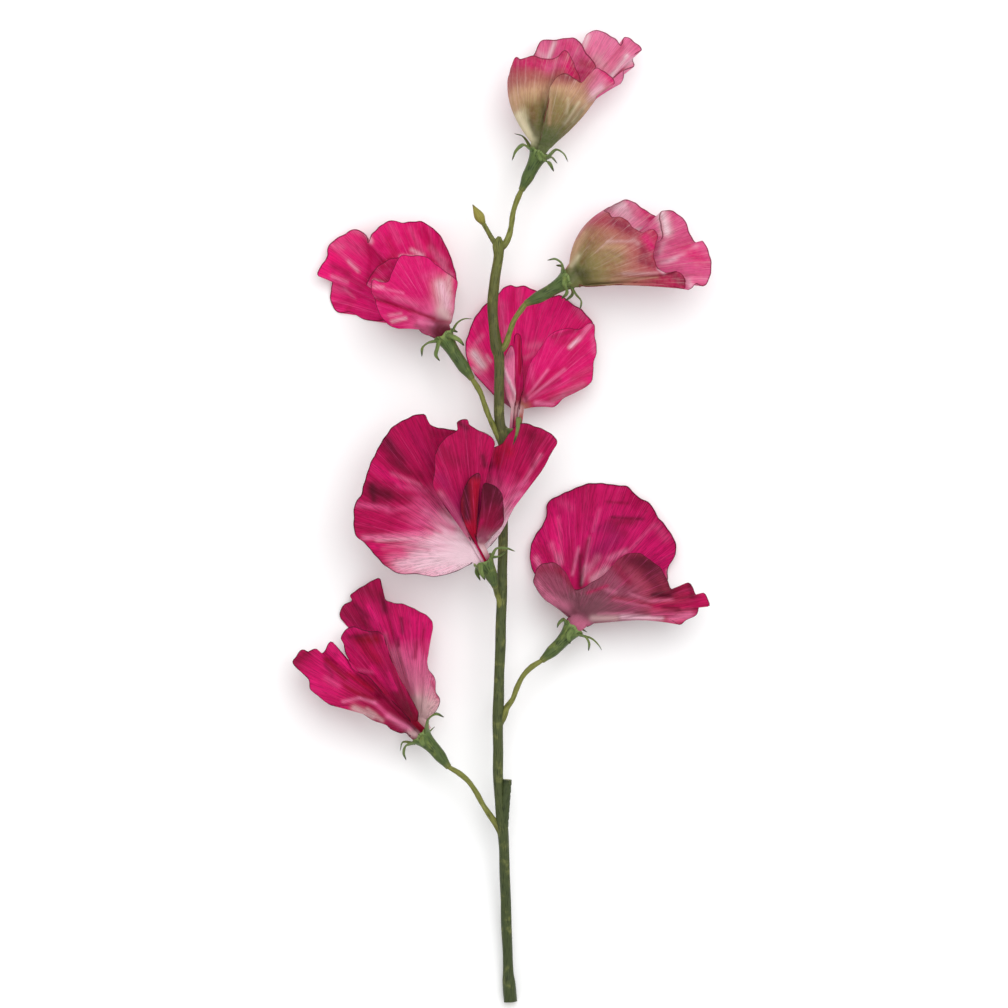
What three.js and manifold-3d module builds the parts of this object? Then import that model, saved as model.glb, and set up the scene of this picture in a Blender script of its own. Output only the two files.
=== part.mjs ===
// A cut spray of sweet pea, lying on a flat surface: one green stem that forks into thin
// branches, a small bud, and seven open blooms. A bloom is a green calyx (a sleeve, a cup
// and five curled sepals) that holds the narrow claws of three or four petals: the broad
// standard, the two wings, and in some blooms the keel between the wings.
//
// Millimetres. The spray lies with its stem along Y and its tip towards +Y. +Z is up, and
// z = 0 is the surface. Outlines are written from the middle of each bloom's calyx mouth.

import * as THREE from 'three';
import { mergeVertices } from 'three/addons/utils/BufferGeometryUtils.js';
import Module from 'manifold-3d';

const wasm = await Module();
wasm.setup();

// ---- Driving dimensions ----------------------------------------------------------------

const PETAL_THICKNESS = 0.6;
const CLEARANCE = 0.3;            // air between pieces that are seated in each other

const CLAW_HALF_WIDTH = 1;        // the narrow foot of every petal
const CLAW_DEPTH = 1.1;           // how far a claw reaches into its calyx cup
const CLAW_TAPER = 0.8;           // how claws that lie apart outside the cup close up inside it
const CLAW_CURL = 0.05;           // share of the rim's height that the claw already has
const CLAW_COLUMNS = 5;           // points across a claw
// rows of a blade: the share of the way to the rim, and the share of the rim's points kept
const PETAL_BANDS = [[0.36, 0.5], [0.7, 1], [1, 1]];

const FLAT_SPOT = 0.05;           // heights under this are pressed flat on the surface

const BRANCH_RADIUS = 0.8;
const BRANCH_FOOT_RADIUS = 1.2;   // where a branch leaves the stem
const BRANCH_IN_SLEEVE = 2.4;     // how far a branch end reaches into its calyx sleeve

const SLEEVE_RADIUS = 1.85;
const SLEEVE_BORE = BRANCH_RADIUS + CLEARANCE;
const SLEEVE_BORE_DEPTH = BRANCH_IN_SLEEVE + CLEARANCE;
const CUP_LIP_RADIUS = 3.3;
const CUP_WALL = 0.6;
const CUP_DEPTH = 2.6;
const CUP_SIDE = 2.1;             // depth of the cup's side, above its conical floor
const CUP_FLOOR_RADIUS = 2;
const SEPAL_DEPTH = 1;            // how far under the lip a sepal grows out of the cup
const SEPAL_SINK = 0.4;           // and how far its root is sunk in the wall
const SEPAL_RADII = [0.55, 0.75, 0.35];   // root, middle, tip

const BUD_LENGTH = 6.6;
const BUD_RADIUS = 1.5;

const STEM_SIDES = 8;
const BRANCH_SIDES = 6;
const CALYX_SIDES = 11;
const SEPAL_SIDES = 4;

const STEM_STEPS = 52;
const BRANCH_STEPS = 11;
const STUB_STEPS = 6;
const SEPAL_STEPS = 6;
const BEND_STEPS = 60;

// The main stem, from its cut end to the fork at the tip: x, y, z, radius.
const STEM = [
  [2.5, -146, 1.7, 2], [2.1, -140, 2.4, 1.9], [1.9, -137, 2.7, 1.62], [1.3, -121.5, 5, 1.57],
  [0.6, -100.5, 9, 1.57], [0.3, -94.5, 10.2, 1.72], [-0.5, -87, 11.4, 1.57], [-1.1, -79, 12.4, 1.52],
  [-1.2, -70, 13.4, 1.52], [-1.2, -60, 14.2, 1.67], [-0.7, -45, 14.9, 1.52], [-0.4, -35, 15.2, 1.57],
  [-0.1, -25, 15.4, 1.57], [0.2, -12, 15.4, 1.47], [0.4, 10, 15.2, 1.47], [0.3, 23, 15, 1.62],
  [-0.7, 29, 15, 1.52], [-0.9, 37, 15, 1.52], [-0.9, 48, 15.2, 1.57], [-1.7, 51, 15.3, 1.8],
  [-2.5, 57.5, 15.4, 1.57], [-2.8, 64.5, 15.6, 1.57], [-2.1, 71.5, 15.9, 1.52], [-1, 78, 16, 1.47],
  [-1.1, 82, 16, 1.62], [-0.8, 84, 16, 0.5],
];

// The blunt stub of a cut side shoot, which stands close beside the stem.
const STUB = [[0.6, -94.5, 10.2, 1.2], [0.9, -88, 11.6, 1.35], [1.6, -79, 12.8, 1.35]];

// The stalk of the bud, from the fork, and the point that the bud's tip reaches.
const BUD_STALK = [
  [-1.1, 81, 16, 1.1], [-2.7, 82.9, 16.1, 0.8], [-4.5, 86, 16.4, 0.7], [-5.6, 87.9, 16.6, 0.7],
];
const BUD_TIP = [-8.9, 93.7, 17.2];

// The seven blooms. `branch` runs from the stem to the sleeve, `sleeve` from its lower end
// to the mouth, and both are lists of x, y, z. Each sepal is a list of points from the mouth.
// A petal has a root, just outside the mouth, and a rim that runs round from one side of the
// root to the other: x, y, z, then how far the blade bellies in z, and in x and y where it
// is folded over.
const BLOOMS = {
  top: {
    mouth: [11.6, 109.6, 16.5],
    branch: [
      [-0.9, 80, 16], [1, 81.9, 16], [2.1, 84.2, 16], [2.8, 87.3, 16], [3.3, 91, 16], [4.4, 94.6, 16],
    ],
    sleeve: [[6, 98.2, 16.2], [8.3, 103, 16.5]],
    sepals: [
      [[-2.2, 0.6, 1.8], [-5.2, 1.8, 1.4], [-7.4, 0.2, 0], [-8.6, -2.8]],
      [[-1.8, 1.2, -2], [-5.2, 4.4, -3.6], [-8, 5.4, -4.4]],
      [[-0.4, -0.4, 2.9], [0.2, -2.4, 4], [2.4, -3.6, 3.6], [3.9, -6.2, 2.6]],
      [[2.4, -0.2, 1], [4.6, 0.4, 1], [7, -0.9, 0.4], [8.2, -3.2, -0.6]],
      [[1.8, -1, -2.2], [3.4, -1.8, -4.4], [5, -3.6, -5.6]],
    ],
    petals: {
      standard: {
        root: [-0.5, 2, 0], curl: 0.07,
        rim: [
          [3, 7, 4, 0.5], [5.5, 13, 5.5, 1], [9.5, 18, 5, 2], [12, 20.5, 5, 2.5], [10.5, 24.5, 6, 3],
          [9, 28.5, 7, 3], [7, 30, 8, 3], [5, 28, 9, 3], [2, 27, 10, 3], [-2, 28.5, 9.5, 3.5, -1, 0],
          [-6, 27.5, 8, 3, -1.5, 0], [-7, 28, 6, 2.5, -2.5, 0], [-9, 24.5, 3, 1.5, -3, -0.5],
          [-9.5, 20.5, -0.5, 0, -2.5, -0.5], [-6.5, 24, -5, -2.5, -2.5, -0.5],
          [-2, 29, -8.5, -3.5, -1.5, 0], [-1, 32, -9, -3.5, -1, 0], [0.5, 33.5, -9.5, -3.5],
          [3.5, 33.5, -9, -3.5], [6.5, 34, -9.5, -3.5], [10, 34.5, -7.5, -3.5],
          [11.5, 33, -6.5, -3.5], [13.5, 29.5, -5.5, -3], [16.5, 25.5, -4, -2.5], [15, 21.5, -3, -2],
          [10, 14, -2, -1], [4.5, 7, -1, 0],
        ],
      },
      wing_right: {
        root: [1.5, 2.1, 1.5], curl: 0,
        rim: [
          [0.5, 5.5, 6, 0], [1, 10, 10, 0.5], [2.5, 15, 12, 1], [3, 18.5, 13, 1.5], [4, 21, 14, 2],
          [6.5, 23, 14.5, 2], [9.5, 22, 13, 2.5], [12, 20, 11.5, 3], [14.5, 22.5, 11, 3.5],
          [16.5, 24.5, 10, 3.5], [19, 23.5, 7, 3.5], [22, 20.5, 3, 3, -1, 1],
          [18, 18.5, 0.5, 2, -0.5, 0.5], [16, 15, -0.5, 1.5], [12.5, 10, -1, 0.5], [8, 6, -0.5, 0.5],
          [4.5, 2.5, 0.5, 0],
        ],
      },
      wing_left: {
        root: [1.5, 2.5, -1.5], curl: 0,
        rim: [
          [1, 8.5, -6.5, -1], [4.5, 17, -10, -2], [14, 35.5, -9.5, -3.5], [17, 36.5, -8.5, -3.5],
          [20, 35.5, -6.5, -3.5], [22.5, 33.5, -5, -3.5], [25.5, 34.5, -7.5, -3], [28.5, 33, -6, -3],
          [30.5, 30.5, -3, -3], [28, 26, -5.5, -2.5], [25, 21.5, -5.5, -2, -1, 1], [11, 10, -6, -1],
          [5, 4, -5, -0.5],
        ],
      },
    },
  },
  upper_right: {
    mouth: [20.4, 71.5, 14.5],
    branch: [[-1.2, 49, 15.2], [1, 51.4, 15.3], [2.2, 55, 15.6], [3.6, 58.8, 15.6], [5.6, 61.8, 15.2]],
    sleeve: [[7.4, 64, 15], [13.4, 67.1, 14.7]],
    sepals: [
      [[-1.6, 2, 1.4], [-2.4, 4.2, 1.6], [-4.4, 5.8, 0.8], [-6.8, 5.4, 0]],
      [[-0.8, 0.6, 2.8], [-1.6, -2, 4.2], [-1, -4.4, 4], [-2.6, -6.2, 3]],
      [[0.4, -2.4, 1.4], [1.6, -4.6, 1.4], [3.4, -7, 0.6], [3, -9.6, -0.4]],
      [[0, -2.4, -1.6], [0.8, -4.8, -3.2], [-1.4, -6.8, -4]],
      [[-1, 1.4, -2.6], [-2.2, 3.6, -4.6], [-4.2, 4, -6]],
    ],
    petals: {
      standard: {
        root: [1, 0.7, 0], curl: 0.25,
        rim: [
          [2.5, -2, 5.5, 0], [5, -2.5, 6.5, 0], [11, -2.5, 7, 0.5], [17, -2, 7.5, 1],
          [21.5, -1, 7.5, 2], [26, -1.5, 8.5, 2.5], [31, -2.5, 8.5, 2.5], [34.5, -3, 7, 2.5],
          [34, 0, 6, 3], [32.5, 2, 6.5, 4], [29.5, 1.5, 8.5, 4.5], [26.5, 2.5, 10, 5],
          [25, 6.5, 11, 5.5], [25.5, 9.5, 11.5, 5.5], [26, 12.5, 10.5, 6], [25, 14.5, 10.5, 6],
          [21.5, 13.5, 10.5, 5.5], [19, 14.5, 10, 5], [17.5, 17, 9, 4.5], [15.5, 18, 8.5, 4],
          [13, 18, 6.5, 3, -1.5, 1.5], [11.5, 19.5, 4.5, 2, -3, 2], [10.5, 20.5, 0.5, 0, -3.5, 2],
          [12.5, 21.5, -4, -1.5, -3, 2], [14.5, 23, -6.5, -2.5, -1.5, 1.5],
          [17, 23.5, -7.5, -3, -0.5, 1], [19.5, 23, -8, -3.5], [21.5, 21.5, -9, -3.5],
          [23.5, 20, -9.5, -3.5], [26, 19, -9, -3.5], [27.5, 16.5, -8, -3.5], [27.5, 12, -7.5, -3.5],
          [27.5, 8, -7, -3.5], [25.5, 3.5, -7, -3], [18.5, 0, -6.5, -2], [9.5, -1.5, -6, -0.5],
        ],
      },
      wing_right: {
        root: [1.9, 0.6, 0.4], curl: 0.04, clawHalfWidth: 0.8,
        rim: [
          [27, 19.5, 5, -0.5], [29.5, 20.5, 3.5, -1], [31, 20, 3, -1], [33, 18.5, 4, -1],
          [35, 17, 5.5, -1], [35.5, 14, 4.5, -1], [37, 11.5, 2.5, -1], [39.5, 11, 3, -1],
          [41, 9, 5, -1], [42, 5.5, 6, -1], [42.5, 2, 5.5, -1], [41.5, -0.5, 4, -1],
          [40, -2.5, 5, -1], [36.5, -3, 5.5, -1], [35, -3.5, 5, -1],
        ],
      },
      wing_left: {
        root: [2.1, 0.4, -0.5], curl: 0.04, clawHalfWidth: 0.8,
        rim: [
          [24, 15, -4, -1.5], [27.5, 13.5, -3.5, -1.5], [31.5, 9.5, -4, -1.5], [34, 5.5, -5, -1],
          [33.5, 2.5, -4, -1],
        ],
      },
    },
  },
  upper_left: {
    mouth: [-17.9, 54.8, 14.2],
    branch: [[0.2, 21.5, 15], [-2, 26, 15.2], [-3.9, 30, 15.2], [-5.3, 33.8, 15.1], [-6.6, 37.4, 15]],
    sleeve: [[-9.2, 41.6, 14.8], [-13.2, 47.4, 14.3]],
    sepals: [
      [[2.4, 1.2, 0.4], [4.4, 3.2, 0.4], [6.6, 4.5, 0.4], [9, 4.5, 0]],
      [[1.8, -0.8, 2.4], [3.6, -1, 3.8], [5.2, -2, 3.6], [6.6, -3.6, 2.6]],
      [[-1.6, -2, 1.8], [-4, -2.6, 2.2], [-6, -4.2, 1.4], [-6.2, -6.8, 0]],
      [[-0.4, -2.6, 2], [-1.6, -4.4, 2.8], [-2, -6.4, 2], [-0.8, -8.2, 1]],
      [[1, 0.4, -2.8], [2.6, 1.2, -4.8], [4.6, 0.6, -6]],
    ],
    petals: {
      standard: {
        root: [-0.4, 1.3, -1],
        rim: [
          [2.5, 5, -1, 0.5], [3.5, 9, -1.5, 0], [4, 14, -2.5, -0.5], [4, 17.5, -3.5, -2],
          [3, 22, -5.5, -3], [1, 26.5, -6.5, -4], [-1, 30, -7, -5], [-3.5, 32.5, -8, -5.5],
          [-6.5, 34, -9, -5.5], [-9.5, 34, -10.5, -5.5], [-12.5, 33.5, -8.5, -5.5],
          [-15, 34.5, -6.5, -5], [-18.5, 32.5, -4, -4.5], [-21, 30, -1.5, -4],
          [-22.5, 27.5, -1.5, -4], [-22.5, 29, -6.5, -5], [-24, 30.5, -9.5, -5.5],
          [-26.5, 31.5, -10.5, -6], [-29.5, 30, -9.5, -6], [-34, 27, -10.5, -6],
          [-35, 25.5, -11.5, -6], [-34.5, 23.5, -10, -6], [-36.5, 21, -8, -6], [-37.5, 18.5, -7, -6],
          [-37.5, 17.5, -8, -6], [-34, 17, -10.5, -6], [-33, 15.5, -12, -6], [-34, 11.5, -13, -6],
          [-32.5, 8, -14, -6], [-31.5, 6.5, -14, -6], [-27.5, 6.5, -13.5, -5.5], [-24, 5, -14.5, -5],
          [-20.5, 4, -14, -4.5], [-16, 4.5, -12, -3.5], [-10, 2.5, -8.5, -2], [-4.5, 0, -4.5, -0.5],
        ],
      },
      wing_right: {
        root: [0.6, 0.6, 1.1],
        rim: [
          [-2.5, -1.5, 3, 0], [-6, 0, 4, 0.5], [-8, 2.5, 5.5, 1], [-10, 2, 6, 1.5],
          [-12.5, 1.5, 7, 2], [-15.5, 2, 8, 2.5], [-18, 4.5, 8.5, 3], [-19.5, 7.5, 8.5, 3.5],
          [-20.5, 10.5, 7.5, 4], [-21.5, 13, 9, 4.5], [-21, 16, 9.5, 4.5], [-18.5, 15.5, 8.5, 4.5],
          [-17, 15.5, 7.5, 4.5], [-16, 16, 6.5, 4.5], [-14.5, 20, 6, 4.5], [-12.5, 23, 4.5, 4],
          [-9.5, 23.5, 3.5, 3.5], [-5.5, 23, 3, 3], [-2, 21, 2.5, 2.5], [1.5, 18, 1.5, 2],
          [4.5, 16, 0.5, 1], [4, 11.5, 0.5, 0.5], [3.5, 7.5, 0.5, 0], [3, 3.5, 0.5, 0],
        ],
      },
      wing_left: {
        root: [0, 1.1, 0.1],
        rim: [
          [-3.5, 0, 0, 0], [-9.5, 5.5, -2.5, 0], [-15.5, 10.5, -3, 0.5], [-20.5, 13.5, -2.5, 0.5],
          [-22.5, 15, -0.5, 0.5], [-22, 16.5, 0.5, 0.5], [-19.5, 20, 1, 0.5], [-16, 22.5, -0.5, 0.5],
          [-12.5, 23, -1.5, 0.5], [-8, 22, -2.5, 0], [-3, 18.5, -2.5, 0], [0, 13.5, -2, 0],
          [1.5, 6.5, -1, 0],
        ],
      },
    },
  },
  rear: {
    mouth: [4, 26.9, 10.8],
    branch: [[0.4, 6, 15], [0.8, 9.5, 14], [1.6, 13.4, 12]],
    sleeve: [[2.6, 16.6, 11.2], [3.4, 21.4, 10.8]],
    sepals: [
      [[1.2, 0.4, 2.8], [1, 2.6, 8], [0.9, 1.6, 12.6], [0.6, -1.4, 14.4], [-0.6, -5.4, 13.8]],
      [[-2.6, -0.6, -0.6], [-4.2, -1.8, -2], [-5.2, -4, -3]],
      [[2.7, -0.4, -0.6], [4.8, -1.2, -1.6], [6.2, -3.2, -2.4]],
      [[1, -0.6, -2.8], [1.8, -1.8, -4.8], [1.4, -4, -6]],
    ],
    petals: {
      standard: {
        root: [-0.2, 4.8, -1.2],
        rim: [
          [-2, 6.5, -2.5, 0], [-4, 7.5, -3.5, 0], [-6.5, 9.5, -5, -0.5], [-9.5, 13, -6, -1.5],
          [-12.5, 16.5, -5.5, -3], [-14.5, 20, -4.5, -4], [-15, 23.5, -3.5, -4.5],
          [-14.5, 27.5, -4, -5], [-12.5, 32, -5, -5.5], [-11, 35, -5.5, -5.5], [-9, 37, -6.5, -6],
          [-6.5, 39, -7, -5.5], [-4.5, 40.5, -6.5, -5.5], [-3.5, 42, -6, -5.5],
          [-1.5, 42.5, -6.5, -5.5], [0.5, 42.5, -8, -5.5], [3, 42.5, -8.5, -5.5], [5, 41.5, -8, -6],
          [7.5, 40.5, -7, -6], [10.5, 39.5, -8, -6], [13.5, 39.5, -9, -6], [16.5, 37.5, -9.5, -6],
          [19.5, 35.5, -9, -6], [22, 33, -8, -6], [23.5, 31.5, -9, -6], [23, 27.5, -10.5, -6],
          [24, 23, -11, -5.5], [22.5, 19.5, -11, -5], [22, 16, -10.5, -4], [21, 13.5, -9.5, -3.5],
          [17.5, 11.5, -9, -2.5], [14, 9.5, -8, -2], [10.5, 7.5, -6.5, -1.5], [6.5, 7.5, -5.5, -1],
          [3.5, 7, -3.5, -0.5], [2, 6, -2.5, 0],
        ],
      },
      wing_right: {
        root: [1.4, 5.2, 0.45],
        rim: [
          [1.5, 8.5, 1, 0], [3, 12.5, 2, 0.5], [3.5, 16.5, 2.5, 1], [4.5, 19.5, 2.5, 1.5],
          [6.5, 22.5, 2.5, 2], [8.5, 25, 2, 2.5], [10.5, 27.5, 1, 2.5], [13, 29, 0, 3],
          [15.5, 29.5, -1, 3], [19.5, 29.5, -3, 3], [22, 31, -5, 3], [24, 31, -6, 3],
          [24, 27.5, -5, 3], [24.5, 23, -3.5, 3.5], [23.5, 19.5, -2.5, 3.5], [23.5, 15.5, -1.5, 3],
          [22, 13, -1, 3], [19, 11, -0.5, 2.5], [14.5, 8.5, -0.5, 2], [11.5, 6, -0.5, 1.5],
          [8.5, 6.5, -0.5, 1], [5.5, 7, -0.5, 0.5], [3.5, 6.5, 0, 0],
        ],
      },
      wing_left: {
        root: [-0.8, 5.2, 1.3],
        rim: [
          [-2, 7.5, 1.5, 0], [-3, 10, 1, 0.5], [-3.5, 14.5, 0.5, 1], [-3.5, 17.5, 0, 1],
          [-3.5, 21, -0.5, 1.5], [-2, 23, -1, 1.5], [-1, 24.5, -1, 1], [-0.5, 23, -0.5, 1],
          [0, 17.5, 0.5, 0.5], [0, 12.5, 1, 0.5], [0, 8, 1, 0],
        ],
      },
      keel: {
        root: [0.2, 4.9, -0.35],
        rim: [
          [0, 8.5, -1, 0], [0, 14.5, -1.5, -0.5], [-0.5, 21, -2.5, -0.5], [-0.5, 26.5, -3.5, -1],
          [0, 28, -3.5, -1], [1, 28, -3.5, -1], [1.5, 26.5, -3, -1], [2, 22, -2.5, -0.5],
          [2.5, 17, -2, -0.5], [2.5, 12.5, -1.5, -0.5], [1.5, 8, -1, 0],
        ],
      },
    },
  },
  centre: {
    mouth: [-5.9, -12.6, 24.5],
    branch: [[0, -28.5, 15.4], [-0.9, -25, 16.6], [-1.7, -22.6, 18.4]],
    sleeve: [[-2.1, -20.8, 20.4], [-3.6, -16.8, 23.2]],
    sepals: [
      [[2, 1, 1.4], [4.2, 3, 1.8], [7.2, 3.2, 1.2], [9.8, 2.2, 0.6]],
      [[2.4, 0.4, -1], [5.2, 0.8, -2.2], [7.6, 2.6, -3]],
      [[-0.6, -1.6, 2.6], [-0.4, -4, 3.8], [0.8, -6.4, 3]],
      [[-1.6, -1.6, -2.2], [-1.8, -4, -4], [-0.6, -6.6, -4.6]],
      [[-0.4, -1.2, -2.8], [-1.4, -3, -4.2], [-1, -5.4, -4.6]],
    ],
    petals: {
      standard: {
        root: [-1.1, 0.9, -1.4],
        rim: [
          [-3, -1.5, -1.5, 0], [-6, -3, -2, 0], [-9.5, -4.5, -2.5, -0.5], [-14, -5.5, -3, -1],
          [-19.5, -4.5, -2.5, -1.5], [-25.5, -4.5, -2, -2.5], [-29, -2, -1.5, -3],
          [-32, 1, -1, -3.5], [-35, 4.5, -0.5, -4], [-37.5, 6.5, 0, -4], [-38.5, 11.5, 0.5, -4.5],
          [-38, 17, 0.5, -4.5], [-36.5, 19, 0, -5], [-35, 24.5, 0.5, -5], [-32.5, 30, 0.5, -5],
          [-29.5, 36, 0, -5], [-27.5, 39, -0.5, -5], [-23, 42, -1.5, -5], [-17.5, 43.5, -2.5, -5],
          [-16.5, 42, -3, -5], [-15.5, 40, -4, -5], [-11.5, 39, -5.5, -5], [-7.5, 38, -6.5, -4.5],
          [-3, 35.5, -7, -3.5], [1, 32.5, -6.5, -2.5], [3.5, 33.5, -5.5, -1.5],
          [6, 34.5, -4.5, -0.5], [8.5, 37.5, -3.5, 0], [11, 40.5, -3, 0], [16, 39.5, -1.5, 0.5],
          [22.5, 35.5, 0.5, 0.5], [20.5, 31.5, 0.5, 1], [17, 25.5, 0, 1], [13, 21, -0.5, 1],
          [10.5, 17.5, -1, 1], [8.5, 13.5, -1, 0.5], [7, 10, -1.5, 0.5], [5, 7, -1.5, 0],
          [2.5, 4, -1.5, 0],
        ],
      },
      wing_left: {
        root: [-1.8, 2.3, -0.45], clawHalfWidth: 0.9,
        rim: [
          [-13.5, 19, 4.5, 1], [-14.5, 22, 5, 1.5], [-14, 27, 5, 2], [-14, 32, 4, 2],
          [-11.5, 35.5, 3, 2], [-9, 37.5, 2.5, 2], [-7.5, 41, 1, 2], [-4.5, 41.5, 0.5, 2],
          [-1, 38.5, -0.5, 1.5], [2.5, 36.5, -1, 1.5], [3.5, 34, -1.5, 1], [-0.5, 7, 1, 0],
        ],
      },
      wing_right: {
        root: [-0.8, 2.8, 1.55], curl: 0.03, clawHalfWidth: 0.8,
        rim: [
          [-2, 6, 3, 0], [-1, 11, 4.5, 0.5], [0, 16.5, 5, 1.5], [0, 20, 5.5, 1.5], [0.5, 22.5, 5, 2],
          [3, 22, 5.5, 2], [5, 20.5, 5, 2], [6, 17.5, 4, 2], [6.5, 13.5, 2.5, 1.5],
          [6, 10.5, 1.5, 0.5], [4.5, 8.5, 1.5, 0.5], [2, 6, 1.5, 0],
        ],
      },
      keel: {
        root: [-1.5, 3.2, 0.55], curl: 0.03, clawHalfWidth: 0.8,
        rim: [
          [-3, 6, 3, 0], [-5, 9.5, 3.5, 0.5], [-6, 13.5, 4.5, 0.5], [-6.5, 17, 5.5, 1],
          [-5.5, 20.5, 6, 1], [-3.5, 24, 6.5, 1], [-1.5, 26, 6, 1], [-0.5, 24.5, 5, 0.5],
        ],
      },
    },
  },
  lower_right: {
    mouth: [21.8, -33, 11],
    branch: [
      [-1.2, -63, 14], [0.6, -59.8, 14.2], [1.4, -57.4, 14.2], [3.2, -54.8, 14], [4.4, -51.6, 13.8],
      [6.2, -48, 13.6], [8.6, -45.4, 13.3],
    ],
    sleeve: [[12.2, -43, 12.6], [17.4, -38.2, 11.4]],
    sepals: [
      [[-2, 1.4, 1.6], [-3.2, 2.2, 1.8], [-4.8, 1, 1], [-5.3, -0.4, 0]],
      [[-1, -1.2, 2.6], [-1.8, -2.8, 4.2], [-1.4, -5.2, 4.4]],
      [[1.6, -2, 1.6], [3.3, -3.2, 2], [4.4, -5, 1.4], [4.2, -7.4, 0.4]],
      [[2, -1.6, 0.2], [5, -3.6, 0], [7.2, -5.6, -0.8], [8.2, -7.2, -1.6]],
      [[0.4, 0.2, -2.9], [1.8, -0.6, -4.8], [3.8, -1.8, -5.6]],
    ],
    petals: {
      standard: {
        root: [0.3, 2.7, -0.7],
        rim: [
          [-2.5, 5.5, -3, 0], [-7, 9, -5, -1], [-10.5, 13.5, -6.5, -2], [-12.5, 16.5, -7, -2.5],
          [-13.5, 20, -7, -3.5], [-13, 24, -7, -4], [-12, 27, -7.5, -5], [-9.5, 30.5, -8.5, -5.5],
          [-8.5, 34, -9, -6], [-8, 36.5, -9.5, -6], [-7, 38.5, -9.5, -6], [-2.5, 40, -9.5, -6.5],
          [1.5, 42, -10.5, -7], [6.5, 43, -11, -7], [11.5, 42.5, -10.5, -7], [15.5, 42, -9.5, -7],
          [18.5, 39.5, -9, -7], [23, 36.5, -8.5, -6.5], [25.5, 32.5, -8, -6.5], [28, 29.5, -7.5, -6],
          [30, 25.5, -6.5, -6], [30.5, 22.5, -6.5, -5.5], [29.5, 20, -7.5, -5.5],
          [28, 17.5, -8.5, -5], [28, 14, -8.5, -4], [25, 10.5, -7.5, -3], [18.5, 7, -6, -2],
          [10, 5, -4.5, -1], [4, 2.5, -2.5, 0],
        ],
      },
      wings: {
        root: [1.2, 1.3, 0.8],
        rim: [
          [-1.5, 3, 2.5, 0], [-9.5, 8.5, 6.5, 1.5], [-11.5, 11, 6.5, 2], [-12.5, 13.5, 6, 2.5],
          [-11.5, 16.5, 4.5, 3], [-10.5, 18.5, 3, 3.5], [-8.5, 19, 2, 3.5], [-7, 19.5, 1, 3.5],
          [-4.5, 18, 1.5, 3], [-2.5, 16, 3, 2.5], [-1.5, 13.5, 3.5, 2], [0, 11, 4.5, 1.5],
          [2, 11.5, 5, 1.5], [6, 13.5, 5, 2.5], [9, 16, 4, 3.5], [12.5, 19.5, 1, 5],
          [15.5, 21.5, -1.5, 6], [17.5, 22, -2.5, 6.5], [20, 21.5, -3, 6.5], [22.5, 20, -2.5, 7],
          [26, 17, -2, 7], [28, 13.5, -1.5, 6.5], [34, 13, 4, 6], [35.5, 11.5, 3, 6],
          [39, 10, 6, 5.5], [40.5, 6.5, 5.5, 5], [36.5, 3.5, 3, 4.5, 0, 1], [34, 2, 3.5, 4, 0, 1],
          [31.5, 0.5, 5.5, 3.5, 0, 1], [4, 0, 1.5, 0],
        ],
      },
    },
  },
  lower_left: {
    mouth: [-24.8, -65.4, 10.4],
    branch: [
      [0.1, -95.5, 10.2], [-1.6, -92.6, 10.3], [-3.7, -89.6, 10.6], [-5.8, -86.4, 10.9],
      [-7.9, -82.6, 11.2], [-10.2, -79.4, 11.5], [-13, -77, 11.7],
    ],
    sleeve: [[-16.2, -75, 11.4], [-20.4, -69.8, 10.6]],
    sepals: [
      [[1.4, 1.6, 2.4], [2.6, 4.4, 4.2], [5, 6.2, 4], [7.4, 5.2, 3]],
      [[-1.8, -1.6, 1.8], [-4, -3.4, 2], [-4.8, -5.6, 1], [-4, -7.8, 0.2]],
      [[-2.4, -0.8, -0.6], [-5, -2.4, -1.2], [-5.8, -5, -1.6]],
      [[0.6, -0.6, 2.9], [0.6, -2, 4.6], [1.8, -4, 5]],
      [[1, 0.6, -2.7], [3, 0.8, -4.4], [4.6, 2.2, -5]],
    ],
    petals: {
      standard: {
        root: [0.2, 3.5, -1],
        rim: [
          [2.5, 4.5, 0.5, 0], [5, 7, 1, 0], [6, 10, 1.5, 0.5], [5, 13, 2, 1.5], [4.5, 16.5, 2.5, 2],
          [2.5, 20, 3, 3], [4, 32, 2, 4], [3.5, 34, 1, 4.5], [0.5, 36.5, 0, 4.5],
          [-4.5, 39, -1, 4.5], [-12, 47, -5, 2.5], [-15.5, 45.5, -5.5, 1.5], [-18, 44, -6.5, 0],
          [-21, 41.5, -7.5, -1], [-20.5, 40.5, -8, -1.5], [-23.5, 38.5, -9, -2.5],
          [-24, 36.5, -9.5, -3.5], [-24, 35, -10, -4], [-20, 29, -10.5, -5], [-17, 22.5, -9.5, -4],
          [-12, 15.5, -7.5, -3], [-5.5, 8.5, -4.5, -1.5], [-2, 5, -2.5, -0.5],
        ],
      },
      wing_right: {
        root: [-1.1, 3.1, 0.1],
        rim: [
          [0, 6.5, 3, 0.5], [-3, 12, 4, 1], [-6.5, 18.5, 4, 1.5], [-9, 24.5, 3, 1.5],
          [-11.5, 30.5, 2, 1.5], [-15.5, 31, 0, 0.5], [-21, 32, -3, -0.5], [-23.5, 29, -4, -1],
          [-23, 27.5, -4.5, -1], [-22.5, 25, -3.5, -1], [-20, 21, -2.5, -1], [-17, 17.5, -3, -1],
          [-12, 12, -3, -1], [-6.5, 7.5, -2, -0.5], [-3.5, 4, -1, 0],
        ],
      },
      wing_left: {
        root: [-2, 2, 1.5],
        rim: [
          [-3, 5, 2.5, 0], [-6.5, 8.5, 3, 0], [-11.5, 13, 3, 0], [-15.5, 17.5, 2, 0],
          [-24, 25.5, -1, 0.5], [-26.5, 28, -2, 0.5], [-31, 25.5, 0.5, 1], [-33.5, 25, 1, 1],
          [-35, 25.5, 0.5, 1], [-37, 23.5, 1, 1.5], [-38, 21.5, 2.5, 1.5], [-35, 18.5, 4, 1.5],
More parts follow.
